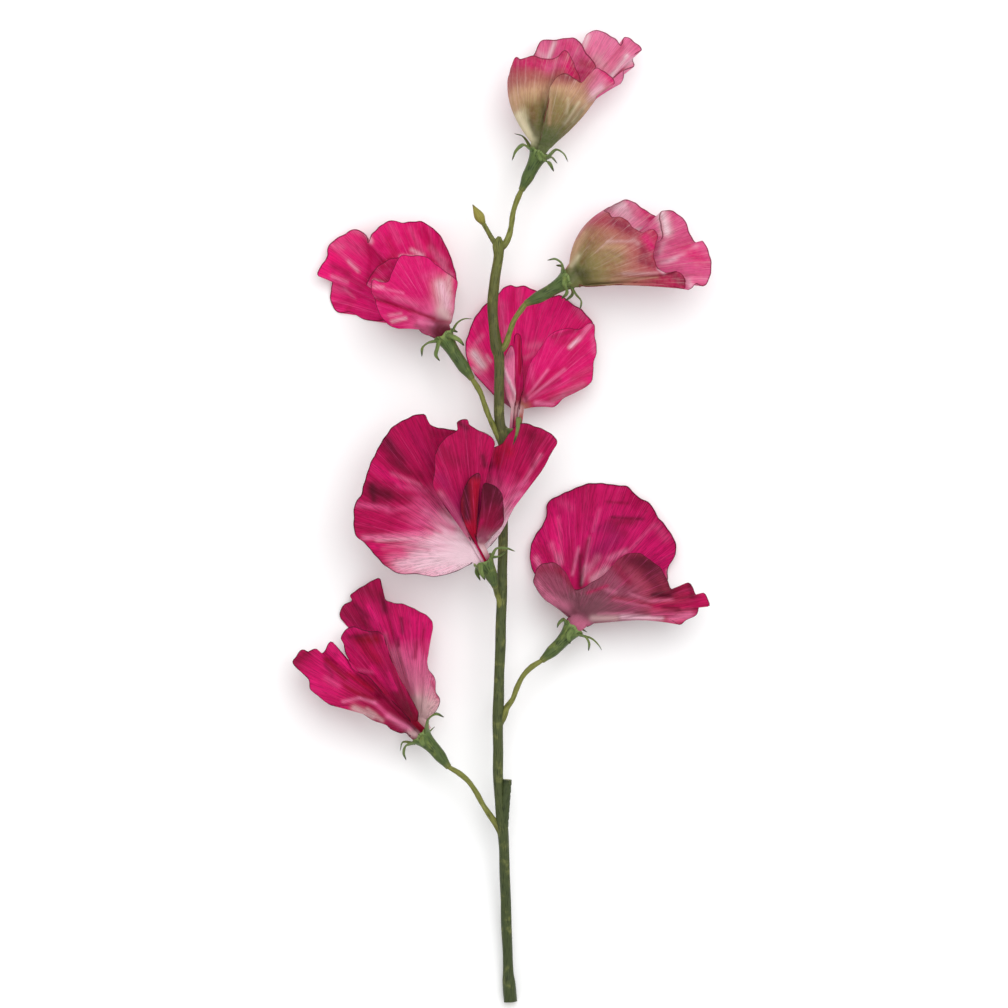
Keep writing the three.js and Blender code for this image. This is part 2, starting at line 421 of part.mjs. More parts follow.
          [-33, 16.5, 5, 2], [-33, 14, 5.5, 2], [-30, 11, 6.5, 2.5], [-27, 9, 7, 2.5],
          [-13.5, 4, 6, 2], [-10, 3, 5.5, 1.5], [-8.5, 1.5, 5, 1], [-5.5, 0.5, 4.5, 1],
          [-4, 0.5, 3.5, 0.5], [-2.5, -0.5, 2.5, 0],
        ],
      },
    },
  },
};

// ---- Colours ---------------------------------------------------------------------------

const leafy = (color) => new THREE.MeshStandardMaterial({ color, roughness: 0.7, metalness: 0 });

const GREEN = { stem: leafy(0x5d6b44), calyx: leafy(0x5a7343), bud: leafy(0x8f9a4e) };
const PETAL_COLOURS = {
  top: 0xd97a90, upper_right: 0xbf6a74, upper_left: 0xcc2266, rear: 0xd9206c,
  centre: 0xb51a52, lower_right: 0xb92458, lower_left: 0xb01c4e,
};

// ---- Solids ----------------------------------------------------------------------------

// A closed three.js geometry as a manifold solid: vertices that coincide are merged first.
function toSolid(geometry) {
  const bare = geometry.index ? geometry.toNonIndexed() : geometry.clone();
  bare.deleteAttribute('normal');
  bare.deleteAttribute('uv');
  const merged = mergeVertices(bare, 1e-5);
  const mesh = new wasm.Mesh({
    numProp: 3,
    vertProperties: new Float32Array(merged.attributes.position.array),
    triVerts: new Uint32Array(merged.index.array),
  });
  return new wasm.Manifold(mesh);
}

function toGeometry(solid) {
  const mesh = solid.getMesh();
  const geometry = new THREE.BufferGeometry();
  geometry.setAttribute('position', new THREE.BufferAttribute(new Float32Array(mesh.vertProperties), 3));
  geometry.setIndex(new THREE.BufferAttribute(new Uint32Array(mesh.triVerts), 1));
  return geometry;
}

// The largest body of a solid: a cut can leave loose scraps, which are dropped.
function largestBody(solid) {
  return solid.decompose().reduce((best, body) => (body.volume() > best.volume() ? body : best));
}

// What would reach below the surface, or just misses it, lies flat on it.
function restingHeight(z) {
  return z < FLAT_SPOT ? 0 : z;
}

// ---- Rods: stem, branches, stub, stalk and sepals ---------------------------------------

// Frames along a curve that turn as little as they can: point, tangent and two unit normals.
function framesAlong(curve, steps) {
  const frames = curve.computeFrenetFrames(steps, false);
  return Array.from({ length: steps + 1 }, (_, i) => ({
    point: curve.getPointAt(i / steps),
    normal: frames.normals[i],
    binormal: frames.binormals[i],
    tangent: frames.tangents[i],
  }));
}

const vectors = (points) => points.map(([x, y, z = 0]) => new THREE.Vector3(x, y, z));

function smoothCurve(points) {
  return new THREE.CatmullRomCurve3(vectors(points), false, 'centripetal');
}

// A capped round rod through [x, y, z] points. `radiusAt` gives the radius at a share of its length.
function rod(points, radiusAt, sides, steps) {
  const curve = smoothCurve(points);
  const vertices = [];
  for (const [i, frame] of framesAlong(curve, steps).entries()) {
    const radius = radiusAt(i / steps);
    for (let side = 0; side < sides; side += 1) {
      const angle = (2 * Math.PI * side) / sides;
      const vertex = frame.point.clone()
        .addScaledVector(frame.normal, radius * Math.cos(angle))
        .addScaledVector(frame.binormal, radius * Math.sin(angle));
      vertices.push(vertex.x, vertex.y, restingHeight(vertex.z));
    }
  }
  const first = curve.getPointAt(0);
  const last = curve.getPointAt(1);
  const firstCentre = vertices.length / 3;
  vertices.push(first.x, first.y, Math.max(first.z, 0), last.x, last.y, Math.max(last.z, 0));
  const lastCentre = firstCentre + 1;
  const faces = [];
  for (let side = 0; side < sides; side += 1) {
    const next = (side + 1) % sides;
    faces.push(firstCentre, next, side);
    faces.push(lastCentre, steps * sides + side, steps * sides + next);
    for (let i = 0; i < steps; i += 1) {
      const a = i * sides + side;
      const b = i * sides + next;
      faces.push(a, b, b + sides, a, b + sides, a + sides);
    }
  }
  const geometry = new THREE.BufferGeometry();
  geometry.setAttribute('position', new THREE.Float32BufferAttribute(vertices, 3));
  geometry.setIndex(faces);
  return toSolid(geometry);
}

// The radius written as the fourth number of each point, between the points by length.
function radiusOf(points) {
  const lengths = [0];
  for (let i = 1; i < points.length; i += 1) {
    lengths.push(lengths[i - 1] + Math.hypot(...[0, 1, 2].map((k) => points[i][k] - points[i - 1][k])));
  }
  const total = lengths[lengths.length - 1];
  return (share) => {
    const s = share * total;
    const i = Math.max(1, lengths.findIndex((length) => length >= s - 1e-9));
    const t = (s - lengths[i - 1]) / (lengths[i] - lengths[i - 1]);
    return THREE.MathUtils.lerp(points[i - 1][3], points[i][3], THREE.MathUtils.clamp(t, 0, 1));
  };
}

// ---- Bent lathes: calyx and bud ---------------------------------------------------------

// A lathe profile of [radius, distance along the axis], turned and then bent along a curve.
function bentLathe(profile, curve, sides) {
  const length = curve.getLength();
  const lathe = new THREE.LatheGeometry(profile.map(([r, d]) => new THREE.Vector2(r, d)), sides);
  const frames = framesAlong(curve, BEND_STEPS);
  const position = lathe.attributes.position;
  for (let i = 0; i < position.count; i += 1) {
    const distance = THREE.MathUtils.clamp(position.getY(i), 0, length);
    const share = (distance / length) * BEND_STEPS;
    const low = Math.min(Math.floor(share), BEND_STEPS - 1);
    const t = share - low;
    const point = frames[low].point.clone().lerp(frames[low + 1].point, t);
    point.addScaledVector(frames[low + 1].tangent, position.getY(i) - distance);
    const normal = frames[low].normal.clone().lerp(frames[low + 1].normal, t).normalize();
    const binormal = frames[low].binormal.clone().lerp(frames[low + 1].binormal, t).normalize();
    point.addScaledVector(normal, position.getX(i)).addScaledVector(binormal, -position.getZ(i));
    position.setXYZ(i, point.x, point.y, point.z);
  }
  return toSolid(lathe);
}

function sleeveCurve(bloom) {
  return smoothCurve([...bloom.sleeve, bloom.mouth]);
}

// The outer wall of sleeve and cup as [radius, distance from the mouth], lower end last.
const CALYX_WALL = [
  [CUP_LIP_RADIUS, 0], [2.9, 1.3], [2.35, 3], [2, 5], [SLEEVE_RADIUS, 7.5],
];

// A sepal grows out of the cup's wall, just under the lip, on the side of its first point.
function sepalPoints(bloom, sepal) {
  const flat = bloomAxis(bloom);
  const axis = new THREE.Vector3(flat.x, flat.y, 0);
  const points = vectors(sepal);
  const side = points[0].clone().projectOnPlane(axis).normalize();
  points[0] = side.multiplyScalar(CUP_LIP_RADIUS - SEPAL_SINK).addScaledVector(axis, -SEPAL_DEPTH);
  return points.map((point) => point.add(new THREE.Vector3(...bloom.mouth)).toArray());
}

function calyxSolid(bloom) {
  const curve = sleeveCurve(bloom);
  const length = curve.getLength();
  const profile = [
    [0, SLEEVE_BORE_DEPTH], [SLEEVE_BORE, SLEEVE_BORE_DEPTH], [SLEEVE_BORE, 0], [SLEEVE_RADIUS, 0],
    ...CALYX_WALL.filter(([, d]) => d < length - 1).reverse().map(([r, d]) => [r, length - d]),
    [CUP_LIP_RADIUS - CUP_WALL, length], [CUP_FLOOR_RADIUS, length - CUP_SIDE], [0, length - CUP_DEPTH],
  ];
  let solid = bentLathe(profile, curve, CALYX_SIDES);
  for (const sepal of bloom.sepals) {
    const points = sepalPoints(bloom, sepal);
    const [root, middle, tip] = SEPAL_RADII;
    const radiusAt = (s) => (s < 0.5 ? THREE.MathUtils.lerp(root, middle, 2 * s)
      : THREE.MathUtils.lerp(middle, tip, 2 * s - 1));
    solid = solid.add(rod(points, radiusAt, SEPAL_SIDES, SEPAL_STEPS));
  }
  return solid;
}

// The space round the cup's wall that petals stay out of.
function cupKeepOut(bloom) {
  const curve = sleeveCurve(bloom);
  const length = curve.getLength();
  const foot = length - 5;
  const outside = CALYX_WALL.map(([r, d]) => [r + CLEARANCE, length - d]);
  outside[0][1] = length + CLEARANCE;
  const profile = [
    [0, foot], ...outside.filter(([, d]) => d > foot).reverse(),
    [CUP_LIP_RADIUS - CUP_WALL - CLEARANCE, length + CLEARANCE],
    [CUP_FLOOR_RADIUS - CLEARANCE, length - CUP_SIDE + CLEARANCE], [0, length - CUP_DEPTH + CLEARANCE],
  ];
  return bentLathe(profile, curve, CALYX_SIDES);
}

// ---- Petals ----------------------------------------------------------------------------

// The direction in which a bloom opens, in the plane of the surface.
function bloomAxis(bloom) {
  const [x, y] = bloom.sleeve[1];
  return new THREE.Vector2(bloom.mouth[0] - x, bloom.mouth[1] - y).normalize();
}

// A petal's middle surface, as rows of points from the claw's seat to the rim. A row has fewer
// points where the petal is narrow. `share` is a point's place round the rim, from 0 to 1.
// Blade: root + (rim - root) t + 4 t (1 - t) belly, with t from 0 at the root to 1 at the rim.
function petalRows(bloom, petal) {
  const axis = bloomAxis(bloom);
  const side = new THREE.Vector2(-axis.y, axis.x);
  const mouth = new THREE.Vector3(...bloom.mouth);
  const [rootX, rootY, rootZ] = petal.root;
  const last = petal.rim.length - 1;
  const curlShare = petal.curl ?? CLAW_CURL;
  const halfWidth = petal.clawHalfWidth ?? CLAW_HALF_WIDTH;

  // the seat in the cup, the root outside the mouth and the blade, under one point of the rim
  const column = (index) => {
    const [x, y, z, bellyZ, bellyX = 0, bellyY = 0] = petal.rim[index];
    const heading = new THREE.Vector2(x - rootX, y - rootY).normalize();
    const across = halfWidth * heading.dot(side) + CLAW_TAPER * (rootX * side.x + rootY * side.y);
    const curl = curlShare * z;
    const root = new THREE.Vector3(
      rootX + halfWidth * heading.x, rootY + halfWidth * heading.y, rootZ + curl);
    const seat = new THREE.Vector3(
      -CLAW_DEPTH * axis.x + across * side.x, -CLAW_DEPTH * axis.y + across * side.y,
      CLAW_TAPER * rootZ + curl);
    const rim = new THREE.Vector3(x, y, z);
    const belly = new THREE.Vector3(bellyX, bellyY, bellyZ);
    return { seat, root, blade: (t) => root.clone().lerp(rim, t).addScaledVector(belly, 4 * t * (1 - t)) };
  };
  const row = (count, pointOf) => Array.from({ length: count }, (_, k) => {
    const index = Math.round((k * last) / (count - 1));
    const point = pointOf(column(index)).add(mouth);
    point.z = Math.max(point.z, PETAL_THICKNESS / 2);
    return { share: index / last, point };
  });
  return [
    row(CLAW_COLUMNS, ({ seat }) => seat),
    row(CLAW_COLUMNS, ({ root }) => root),
    ...PETAL_BANDS.map(([t, keep]) => row(Math.ceil(last * keep) + 1, ({ blade }) => blade(t))),
  ];
}

// Triangles between two rows that may hold different numbers of points.
function stitch(lower, upper) {
  const faces = [];
  const next = (row, i) => (i + 1 < row.length ? row[i + 1].share : Infinity);
  let i = 0;
  let j = 0;
  while (i + 1 < lower.length || j + 1 < upper.length) {
    if (next(lower, i) <= next(upper, j)) {
      faces.push([lower[i].id, lower[i + 1].id, upper[j].id]);
      i += 1;
    } else {
      faces.push([lower[i].id, upper[j + 1].id, upper[j].id]);
      j += 1;
    }
  }
  return faces;
}

function indexed(vertices, faces) {
  const geometry = new THREE.BufferGeometry();
  geometry.setAttribute('position', new THREE.Float32BufferAttribute(vertices, 3));
  geometry.setIndex(faces);
  return geometry;
}

// A blade of even thickness about the middle surface, cut into triangles alike on both faces.
function petalSolid(bloom, petal, thickness) {
  const rows = petalRows(bloom, petal);
  const nodes = rows.flat();
  nodes.forEach((node, id) => Object.assign(node, { id }));
  const faces = rows.slice(1).flatMap((upper, i) => stitch(rows[i], upper));
  const middle = indexed(nodes.flatMap(({ point }) => point.toArray()), faces.flat());
  middle.computeVertexNormals();
  const vertices = [];
  for (const half of [thickness / 2, -thickness / 2]) {
    nodes.forEach(({ point }, id) => {
      const normal = new THREE.Vector3().fromBufferAttribute(middle.attributes.normal, id);
      const vertex = point.clone().addScaledVector(normal, half);
      vertices.push(vertex.x, vertex.y, restingHeight(vertex.z));
    });
  }
  const back = nodes.length;
  const skin = faces.flatMap(([a, b, c]) => [a, b, c, back + a, back + c, back + b]);
  const rim = rows[rows.length - 1];
  const border = [
    ...rows[0].slice(0, -1), ...rows.slice(0, -1).map((row) => row[row.length - 1]),
    ...rim.slice(1).reverse(), ...rows.slice(1).map((row) => row[0]).reverse(),
  ].map(({ id }) => id);
  border.forEach((a, k) => {
    const b = border[(k + 1) % border.length];
    skin.push(a, back + b, b, a, back + a, back + b);
  });
  return toSolid(indexed(vertices, skin));
}

// ---- The object ------------------------------------------------------------------------

const spray = new THREE.Group();

function addPiece(name, solid, material) {
  const mesh = new THREE.Mesh(toGeometry(solid), material);
  mesh.name = name;
  spray.add(mesh);
}

// A branch is thicker at its foot and even from a third of its length on.
function branchRadiusAt(share) {
  return THREE.MathUtils.lerp(BRANCH_FOOT_RADIUS, BRANCH_RADIUS, Math.min(1, 3 * share));
}

function stemSolid() {
  let solid = rod(STEM, radiusOf(STEM), STEM_SIDES, STEM_STEPS);
  solid = solid.add(rod(STUB, radiusOf(STUB), BRANCH_SIDES, STUB_STEPS));
  solid = solid.add(rod(BUD_STALK, radiusOf(BUD_STALK), BRANCH_SIDES, STUB_STEPS));
  for (const bloom of Object.values(BLOOMS)) {
    const curve = sleeveCurve(bloom);
    const end = curve.getPointAt(BRANCH_IN_SLEEVE / curve.getLength()).toArray();
    const points = [...bloom.branch, bloom.sleeve[0], end];
    solid = solid.add(rod(points, branchRadiusAt, BRANCH_SIDES, BRANCH_STEPS));
  }
  return solid;
}

function budSolid() {
  const foot = new THREE.Vector3(...BUD_STALK[BUD_STALK.length - 1].slice(0, 3));
  const way = new THREE.Vector3(...BUD_TIP).sub(foot).normalize();
  const start = foot.clone().addScaledVector(way, CLEARANCE);
  const curve = new THREE.LineCurve3(start, start.clone().addScaledVector(way, BUD_LENGTH));
  const profile = [
    [0, 0], [0.8, 0], [1.1, 0.8], [BUD_RADIUS, 1.9], [BUD_RADIUS, 2.8], [1.05, 4.2], [0.5, 5.5],
    [0, BUD_LENGTH],
  ];
  return bentLathe(profile, curve, CALYX_SIDES);
}

addPiece('stem', stemSolid(), GREEN.stem);
addPiece('bud', budSolid(), GREEN.bud);
for (const [place, bloom] of Object.entries(BLOOMS)) {
  addPiece(`calyx_${place}`, calyxSolid(bloom), GREEN.calyx);
  const colour = leafy(PETAL_COLOURS[place]);
  const keepOut = cupKeepOut(bloom);
  for (const [role, petal] of Object.entries(bloom.petals)) {
    const blade = petalSolid(bloom, petal, PETAL_THICKNESS).subtract(keepOut);
    addPiece(`petal_${role}_${place}`, largestBody(blade), colour);
  }
}

export default spray;
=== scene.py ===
# %% [markdown]
# # A spray of sweet pea, lying on a table
#
# The real thing is a thin green stem with a bud at its tip and seven open blooms, each on a
# branch of its own. A bloom is a green calyx that holds the narrow claws of three or four
# petals. Petals are the hard part: they are thin sheets that bulge, ripple and fold, and
# their colour runs from a pale claw to a strong rim.
#
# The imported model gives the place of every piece. Each piece below stands for one of its
# nodes, in the same frame, so nothing has to be fitted by eye.

import bpy
import numpy as np
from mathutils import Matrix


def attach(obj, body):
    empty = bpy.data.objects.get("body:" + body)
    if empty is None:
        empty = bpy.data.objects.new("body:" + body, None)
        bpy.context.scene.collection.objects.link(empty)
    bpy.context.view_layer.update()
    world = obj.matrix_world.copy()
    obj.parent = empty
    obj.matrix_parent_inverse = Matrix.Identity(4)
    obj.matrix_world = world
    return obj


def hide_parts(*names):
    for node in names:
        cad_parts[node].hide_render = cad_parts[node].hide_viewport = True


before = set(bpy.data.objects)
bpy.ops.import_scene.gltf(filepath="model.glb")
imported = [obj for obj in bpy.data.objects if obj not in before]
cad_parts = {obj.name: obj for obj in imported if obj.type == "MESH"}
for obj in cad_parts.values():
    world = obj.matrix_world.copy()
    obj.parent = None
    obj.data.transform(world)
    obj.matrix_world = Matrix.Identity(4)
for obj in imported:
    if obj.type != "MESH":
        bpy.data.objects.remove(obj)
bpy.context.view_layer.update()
MM = 0.001  # every length below is written in millimetres and turned into metres by this

# %% [markdown]
# ## Lengths
#
# These are the maker's sizes: how thick a petal is, how wide its claw, and the walls of the
# calyx. Where the solids have the same size, it is the same here, except that a visible petal
# is thinner. The last ones say how finely each surface is divided.

# %% Sizes in millimetres
PETAL_THICKNESS = 0.34
RIM_THICKNESS = 0.24
CLAW_HALF_WIDTH = 1.0  # the narrow foot of every petal
CLAW_DEPTH = 1.1  # how far a claw reaches into its cup
CLAW_SEAT = 2.4  # half the most width that a claw may have in the cup
SLEEVE_FADE = 4.5  # how far up its sleeve a calyx swells out of the branch
CLAW_TAPER = 0.8  # how claws that lie apart outside the cup close up inside it
CLAW_CURL = 0.05  # share of the rim's height that the claw already has
FRILL_HEIGHT, PLEAT_HEIGHT = 0.3, 0.07  # where a petal has none of its own
RAGGED_RIM = 0.16
CALM_REACH = 6.0  # ripples of a rim that are narrower than this stay near the rim
BELLY_REACH = 3.0  # how far along the rim a belly is evened out

BRANCH_RADIUS = 0.8
BRANCH_FOOT_RADIUS = 1.2  # where a branch leaves the stem
BRANCH_IN_SLEEVE = 2.4  # how far a branch reaches into its calyx sleeve
SLEEVE_RADIUS = 1.85
CUP_LIP_RADIUS = 3.3
CUP_WALL = 0.6
CUP_DEPTH = 2.6
CUP_SIDE = 2.1  # depth of the cup's side, above its floor
CUP_FLOOR_RADIUS = 2.0
LIP_DIP = 0.75  # how far the lip of a cup dips between two sepals
SEPAL_DEPTH = 1.0  # how far under the lip a sepal grows out of the cup
SEPAL_SINK = 0.4  # and how far its root is sunk in the wall
SEPAL_THICKNESS = 0.42  # as a share of its width, at the root
# the outer wall of sleeve and cup: radius, distance from the mouth
CALYX_WALL = [(CUP_LIP_RADIUS, 0), (2.9, 1.3), (2.35, 3), (2, 5), (SLEEVE_RADIUS, 7.5)]
# over the rounded lip and down inside the cup: distance from the mouth, radius
CUP_INSIDE = [
    (-0.12, 3.16), (-0.12, 2.98), (0.05, 2.82), (0.5, CUP_LIP_RADIUS - CUP_WALL - 0.08),
    (CUP_SIDE, CUP_FLOOR_RADIUS), (2.45, 1.2), (CUP_DEPTH, 0.3),
]

COLUMN_PITCH = 0.7  # between two columns of a petal's grid, along its rim
FEWEST_COLUMNS, MOST_COLUMNS = 48, 230
BLADE_ROWS, CLAW_ROWS = 56, 5
STEM_SIDES, STUB_SIDES, STALK_SIDES, BRANCH_SIDES = 28, 22, 18, 20
TURNED_SIDES, BUD_ROWS = 44, 40
SEPAL_SIDES, SEPAL_ROWS = 16, 44
print("petal", PETAL_THICKNESS, "mm thick, cup", 2 * CUP_LIP_RADIUS, "mm wide")

# %% [markdown]
# ## The colours
#
# A petal's colour isn't even: it is brushed on, pale or green at the claw, crimson at the
# rim, with soft streaks between. The names below are the paints. Blender works with linear
# light, so each 0 to 255 value is turned from its display value first.
# Some strokes are painted light: shade in the valley of a fold, a highlight along its ridge, and a shadow
# at the foot of one standard.

# %% The paints
PAINTS = {
    "stem_low": (62, 72, 40), "stem": (72, 80, 44), "stem_olive": (80, 80, 42),
    # The darkest green here is also a painted shadow, at the foot of the upper right standard.
    "stem_tip": (104, 108, 52), "dark_green_and_shadow": (40, 50, 26), "pith": (190, 184, 132),
    "branch": (118, 120, 56), "bud": (140, 132, 60), "bud_dark": (100, 96, 44),
    "bud_tip": (84, 64, 34), "sleeve": (74, 90, 46), "sleeve_end": (104, 110, 54),
    "cup": (84, 104, 54), "cup_lip": (124, 142, 84), "sepal": (104, 122, 66),
    "sepal_tip": (48, 56, 30), "green": (98, 112, 66), "olive": (120, 120, 68),
    # The dark brown after khaki is painted shade where a blade dips in above its claw.
    "khaki": (158, 140, 88), "hollow_shade": (122, 92, 50), "cream": (238, 228, 190), "tan": (212, 170, 132),
    "rose_brown": (186, 112, 100), "rose": (184, 54, 84), "dusk": (146, 40, 68),
    "cream_pink": (226, 186, 188), "crimson": (194, 10, 86), "crimson_dark": (148, 8, 58),
    "blotch": (110, 8, 42), "red": (186, 8, 50), "red_dark": (152, 4, 40), "deep": (100, 10, 40),
    "wine": (82, 14, 34), "maroon": (96, 30, 44), "magenta": (216, 16, 108), "hot": (230, 20, 116),
    "vivid": (250, 26, 130), "plum": (166, 20, 92), "pink": (232, 90, 148), "light": (246, 132, 178),
    # The whitest pink here serves mostly as painted highlights along ridge folds.
    "pale": (252, 204, 222), "base_pink": (252, 222, 232), "white_pink_and_highlight": (252, 232, 238),
    "mauve": (156, 74, 100), "grey_mauve": (134, 80, 94), "pink_mauve": (222, 124, 158),
}


def linear(colour):
    """A display colour, 0 to 255, as linear light: the sRGB curve undone."""
    c = np.asarray(colour, float) / 255
    return np.where(c <= 0.04045, c / 12.92, ((c + 0.055) / 1.055) ** 2.4)


PAINT = {name: linear(colour) for name, colour in PAINTS.items()}
print(len(PAINT), "paints")

# %% [markdown]
# ## The shape of the spray
#
# The stem, its stub and the bud's stalk are lists of x, y, z and radius. Each bloom has the
# middle of its calyx mouth, a branch, a sleeve and its sepals. A petal is written as its root
# and its rim: x, y, z from the mouth, then how far the blade bellies in z, x and y, where
# that isn't nothing. `claw` is half the width of its foot; `flare` widens the foot
# sideways and `forward` says how far it bulges out of the cup. `frill` and `pleats` are the
# heights of its ripples. `stops` are its paints from claw to rim. `touches` are soft brush
# strokes, kept by their paint: from x, y to x, y, then radius and strength. `folds` are
# creases: from x, y to x, y, radius and height, which is below zero for a valley. Where a
# petal curls over, `turn` is the share of its rim from which `back_stops` and `back_touches`
# take over.
# Many touches lie along folds: a dark one in a valley is painted shade, a light one on a ridge a painted
# highlight.

# %% The stem and the bud
STEM = [
    (2.5, -146, 1.7, 2), (2.1, -140, 2.4, 1.9), (1.9, -137, 2.7, 1.62), (1.3, -121.5, 5, 1.57),
    (0.6, -100.5, 9, 1.57), (0.3, -94.5, 10.2, 1.72), (-0.5, -87, 11.4, 1.57),
    (-1.1, -79, 12.4, 1.52), (-1.2, -70, 13.4, 1.52), (-1.2, -60, 14.2, 1.67),
    (-0.7, -45, 14.9, 1.52), (-0.4, -35, 15.2, 1.57), (-0.1, -25, 15.4, 1.57),
    (0.2, -12, 15.4, 1.47), (0.4, 10, 15.2, 1.47), (0.3, 23, 15, 1.62), (-0.7, 29, 15, 1.52),
    (-0.9, 37, 15, 1.52), (-0.9, 48, 15.2, 1.57), (-1.7, 51, 15.3, 1.8), (-2.5, 57.5, 15.4, 1.57),
    (-2.8, 64.5, 15.6, 1.57), (-2.1, 71.5, 15.9, 1.52), (-1, 78, 16, 1.47), (-1.1, 82, 16, 1.62),
    (-0.8, 84, 16, 0.5),
]
STUB = [(0.6, -94.5, 10.2, 1.2), (0.9, -88, 11.6, 1.35), (1.6, -79, 12.8, 1.35)]
BUD_STALK = [
    (-1.1, 81, 16, 1.1), (-2.7, 82.9, 16.1, 0.8), (-4.5, 86, 16.4, 0.7), (-5.6, 87.9, 16.6, 0.7),
]
BUD_TIP = (-8.9, 93.7, 17.2)
BUD_PROFILE = [  # distance from the foot, radius
    (0, 0.8), (0.8, 1.1), (1.9, 1.5), (2.8, 1.5), (4.2, 1.05), (5.5, 0.5), (6.5, 0.12),
]

print("stem:", len(STEM), "points, bud:", len(BUD_PROFILE), "points")

# %% The blooms
BLOOMS, PETALS = {}, {}  # by bloom, and by bloom and petal

# %% The top bloom
BLOOMS["top"] = dict(
    slot="petal_blush", branch_paint="branch",
    mouth=(11.6, 109.6, 16.5),
    branch=[
        (-0.9, 80, 16), (1, 81.9, 16), (2.1, 84.2, 16), (2.8, 87.3, 16), (3.3, 91, 16), (4.4, 94.6, 16),
    ],
    sleeve=[(6, 98.2, 16.2), (8.3, 103, 16.5)],
    sepals=[
        [(-2.2, 0.6, 1.8), (-5.2, 1.8, 1.4), (-7.4, 0.2, 0), (-8.6, -2.8)],
        [(-1.8, 1.2, -2), (-5.2, 4.4, -3.6), (-8, 5.4, -4.4)],
        [(-0.4, -0.4, 2.9), (0.2, -2.4, 4), (2.4, -3.6, 3.6), (3.9, -6.2, 2.6)],
        [(2.4, -0.2, 1), (4.6, 0.4, 1), (7, -0.9, 0.4), (8.2, -3.2, -0.6)],
        [(1.8, -1, -2.2), (3.4, -1.8, -4.4), (5, -3.6, -5.6)],
    ],
)
PETALS["top", "standard"] = dict(
    root=(-0.2, 0.7, 0), curl=0.07, claw=3.2, flare=2.2, forward=0.3,
    rim=[
        (2.8, 7.1, 3.8, 0.4), (5.5, 12.9, 5.4, 1.2), (9.7, 18.2, 5, 1.8), (11.9, 20.5, 5, 2.4),
        (10.4, 24.7, 6, 2.8), (8.8, 28.4, 7.2, 3), (7, 30, 7.9, 3), (5.1, 28.1, 9.1, 3),
        (1.9, 27.2, 10.1, 3), (-2.1, 28.3, 9.6, 3.4, -0.8), (-5.9, 27.3, 7.8, 3.1, -1.7),
        (-7.2, 28.1, 6, 2.6, -2.3), (-9, 24.5, 3, 1.7, -2.9, -0.4), (-9.7, 20.5, -0.6, 0, -2.4, -0.4),
        (-6.7, 24, -4.8, -2.4, -2.3, -0.4), (-2.1, 28.9, -8.4, -3.6, -1.5),
        (-0.8, 31.8, -9.1, -3.6, -0.8), (0.5, 33.6, -9.6, -3.6), (3.4, 33.7, -9.1, -3.6),
        (6.7, 34, -9.6, -3.6), (10, 34.3, -7.7, -3.6), (11.6, 33.1, -6.5, -3.6), (13.7, 29.7, -5.5, -3.1),
        (16.5, 25.6, -4.1, -2.6), (15.1, 21.7, -3.1, -1.9), (10.1, 14, -2.2, -1), (4.7, 7.1, -1.2, -0.2),
    ],
    stops=[
        ("green", 0), ("olive", 0.2), ("khaki", 0.38), ("tan", 0.52), ("rose_brown", 0.62),
        ("rose", 0.76), ("magenta", 1),
    ],
    touches=dict(
        cream=[(-6.5, 10.5, -3, 4, 2, 1)], stem_olive=[(-3, 9, -1.5, 5, 1.1, 0.7)],
        # The dark brown stroke above the claw is painted shade where the blade dips in.
        hollow_shade=[(-2.5, 12.5, -2, 9.5, 1.2, 0.6)], olive=[(1, 13, 1, 6, 1.8, 0.6)],
        tan=[(-7.5, 13, -7, 17.5, 1.6, 0.7)], magenta=[(-7, 26.5, 1.5, 25.5, 1.8, 0.7)],
        pink=[(2.5, 24.5, 6, 26.5, 1.8, 0.7)], hot=[(8, 25.5, 9.5, 21, 1.5, 0.9)],
        crimson=[(9.6, 26.4, 11.4, 20.4, 0.9, 0.6)],
    ),
    back_stops=[("khaki", 0), ("pink", 0.5), ("pink", 1)],
    back_touches=dict(
        light=[(0.5, 32, 1.5, 28.5, 1.8, 0.7), (9.5, 33, 11, 30, 1.1, 0.4)],
        pale=[(0.8, 28.8, -1, 30, 0.9, 0.6)], white_pink_and_highlight=[(4.2, 32.8, 2.4, 28.4, 0.7, 0.8)],
        hot=[(8, 32.5, 9.5, 31.5, 1.8, 0.5)], rose=[(12.5, 26.5, 16, 25.5, 1.8, 0.8)],
        crimson=[(11.4, 23.8, 15, 23.4, 0.7, 0.8), (12, 22, 14, 22.5, 1.1, 0.7)],
    ),
    turn=(0.43, 0.5),
    folds=[
        (-8, 8, -1.5, 15.5, 1.1, 0.5), (-2.8, 6, -4.2, 13.2, 0.9, -0.7), (1.6, 8.2, 0.8, 16.8, 0.7, -0.5),
        (-5, 20.4, -5.4, 27.4, 0.9, 0.4), (-1.6, 20.4, -2.4, 27.8, 0.7, -0.3), (2, 22, 2.4, 27, 0.8, 0.3),
        (5.2, 23.4, 5.2, 27.8, 0.6, -0.3), (4.2, 28.8, 4.4, 33.6, 0.6, -0.4),
        (6.6, 28.8, 8.8, 34, 0.7, 0.4), (11.8, 26.4, 11, 32.4, 0.7, -0.3),
    ],
)
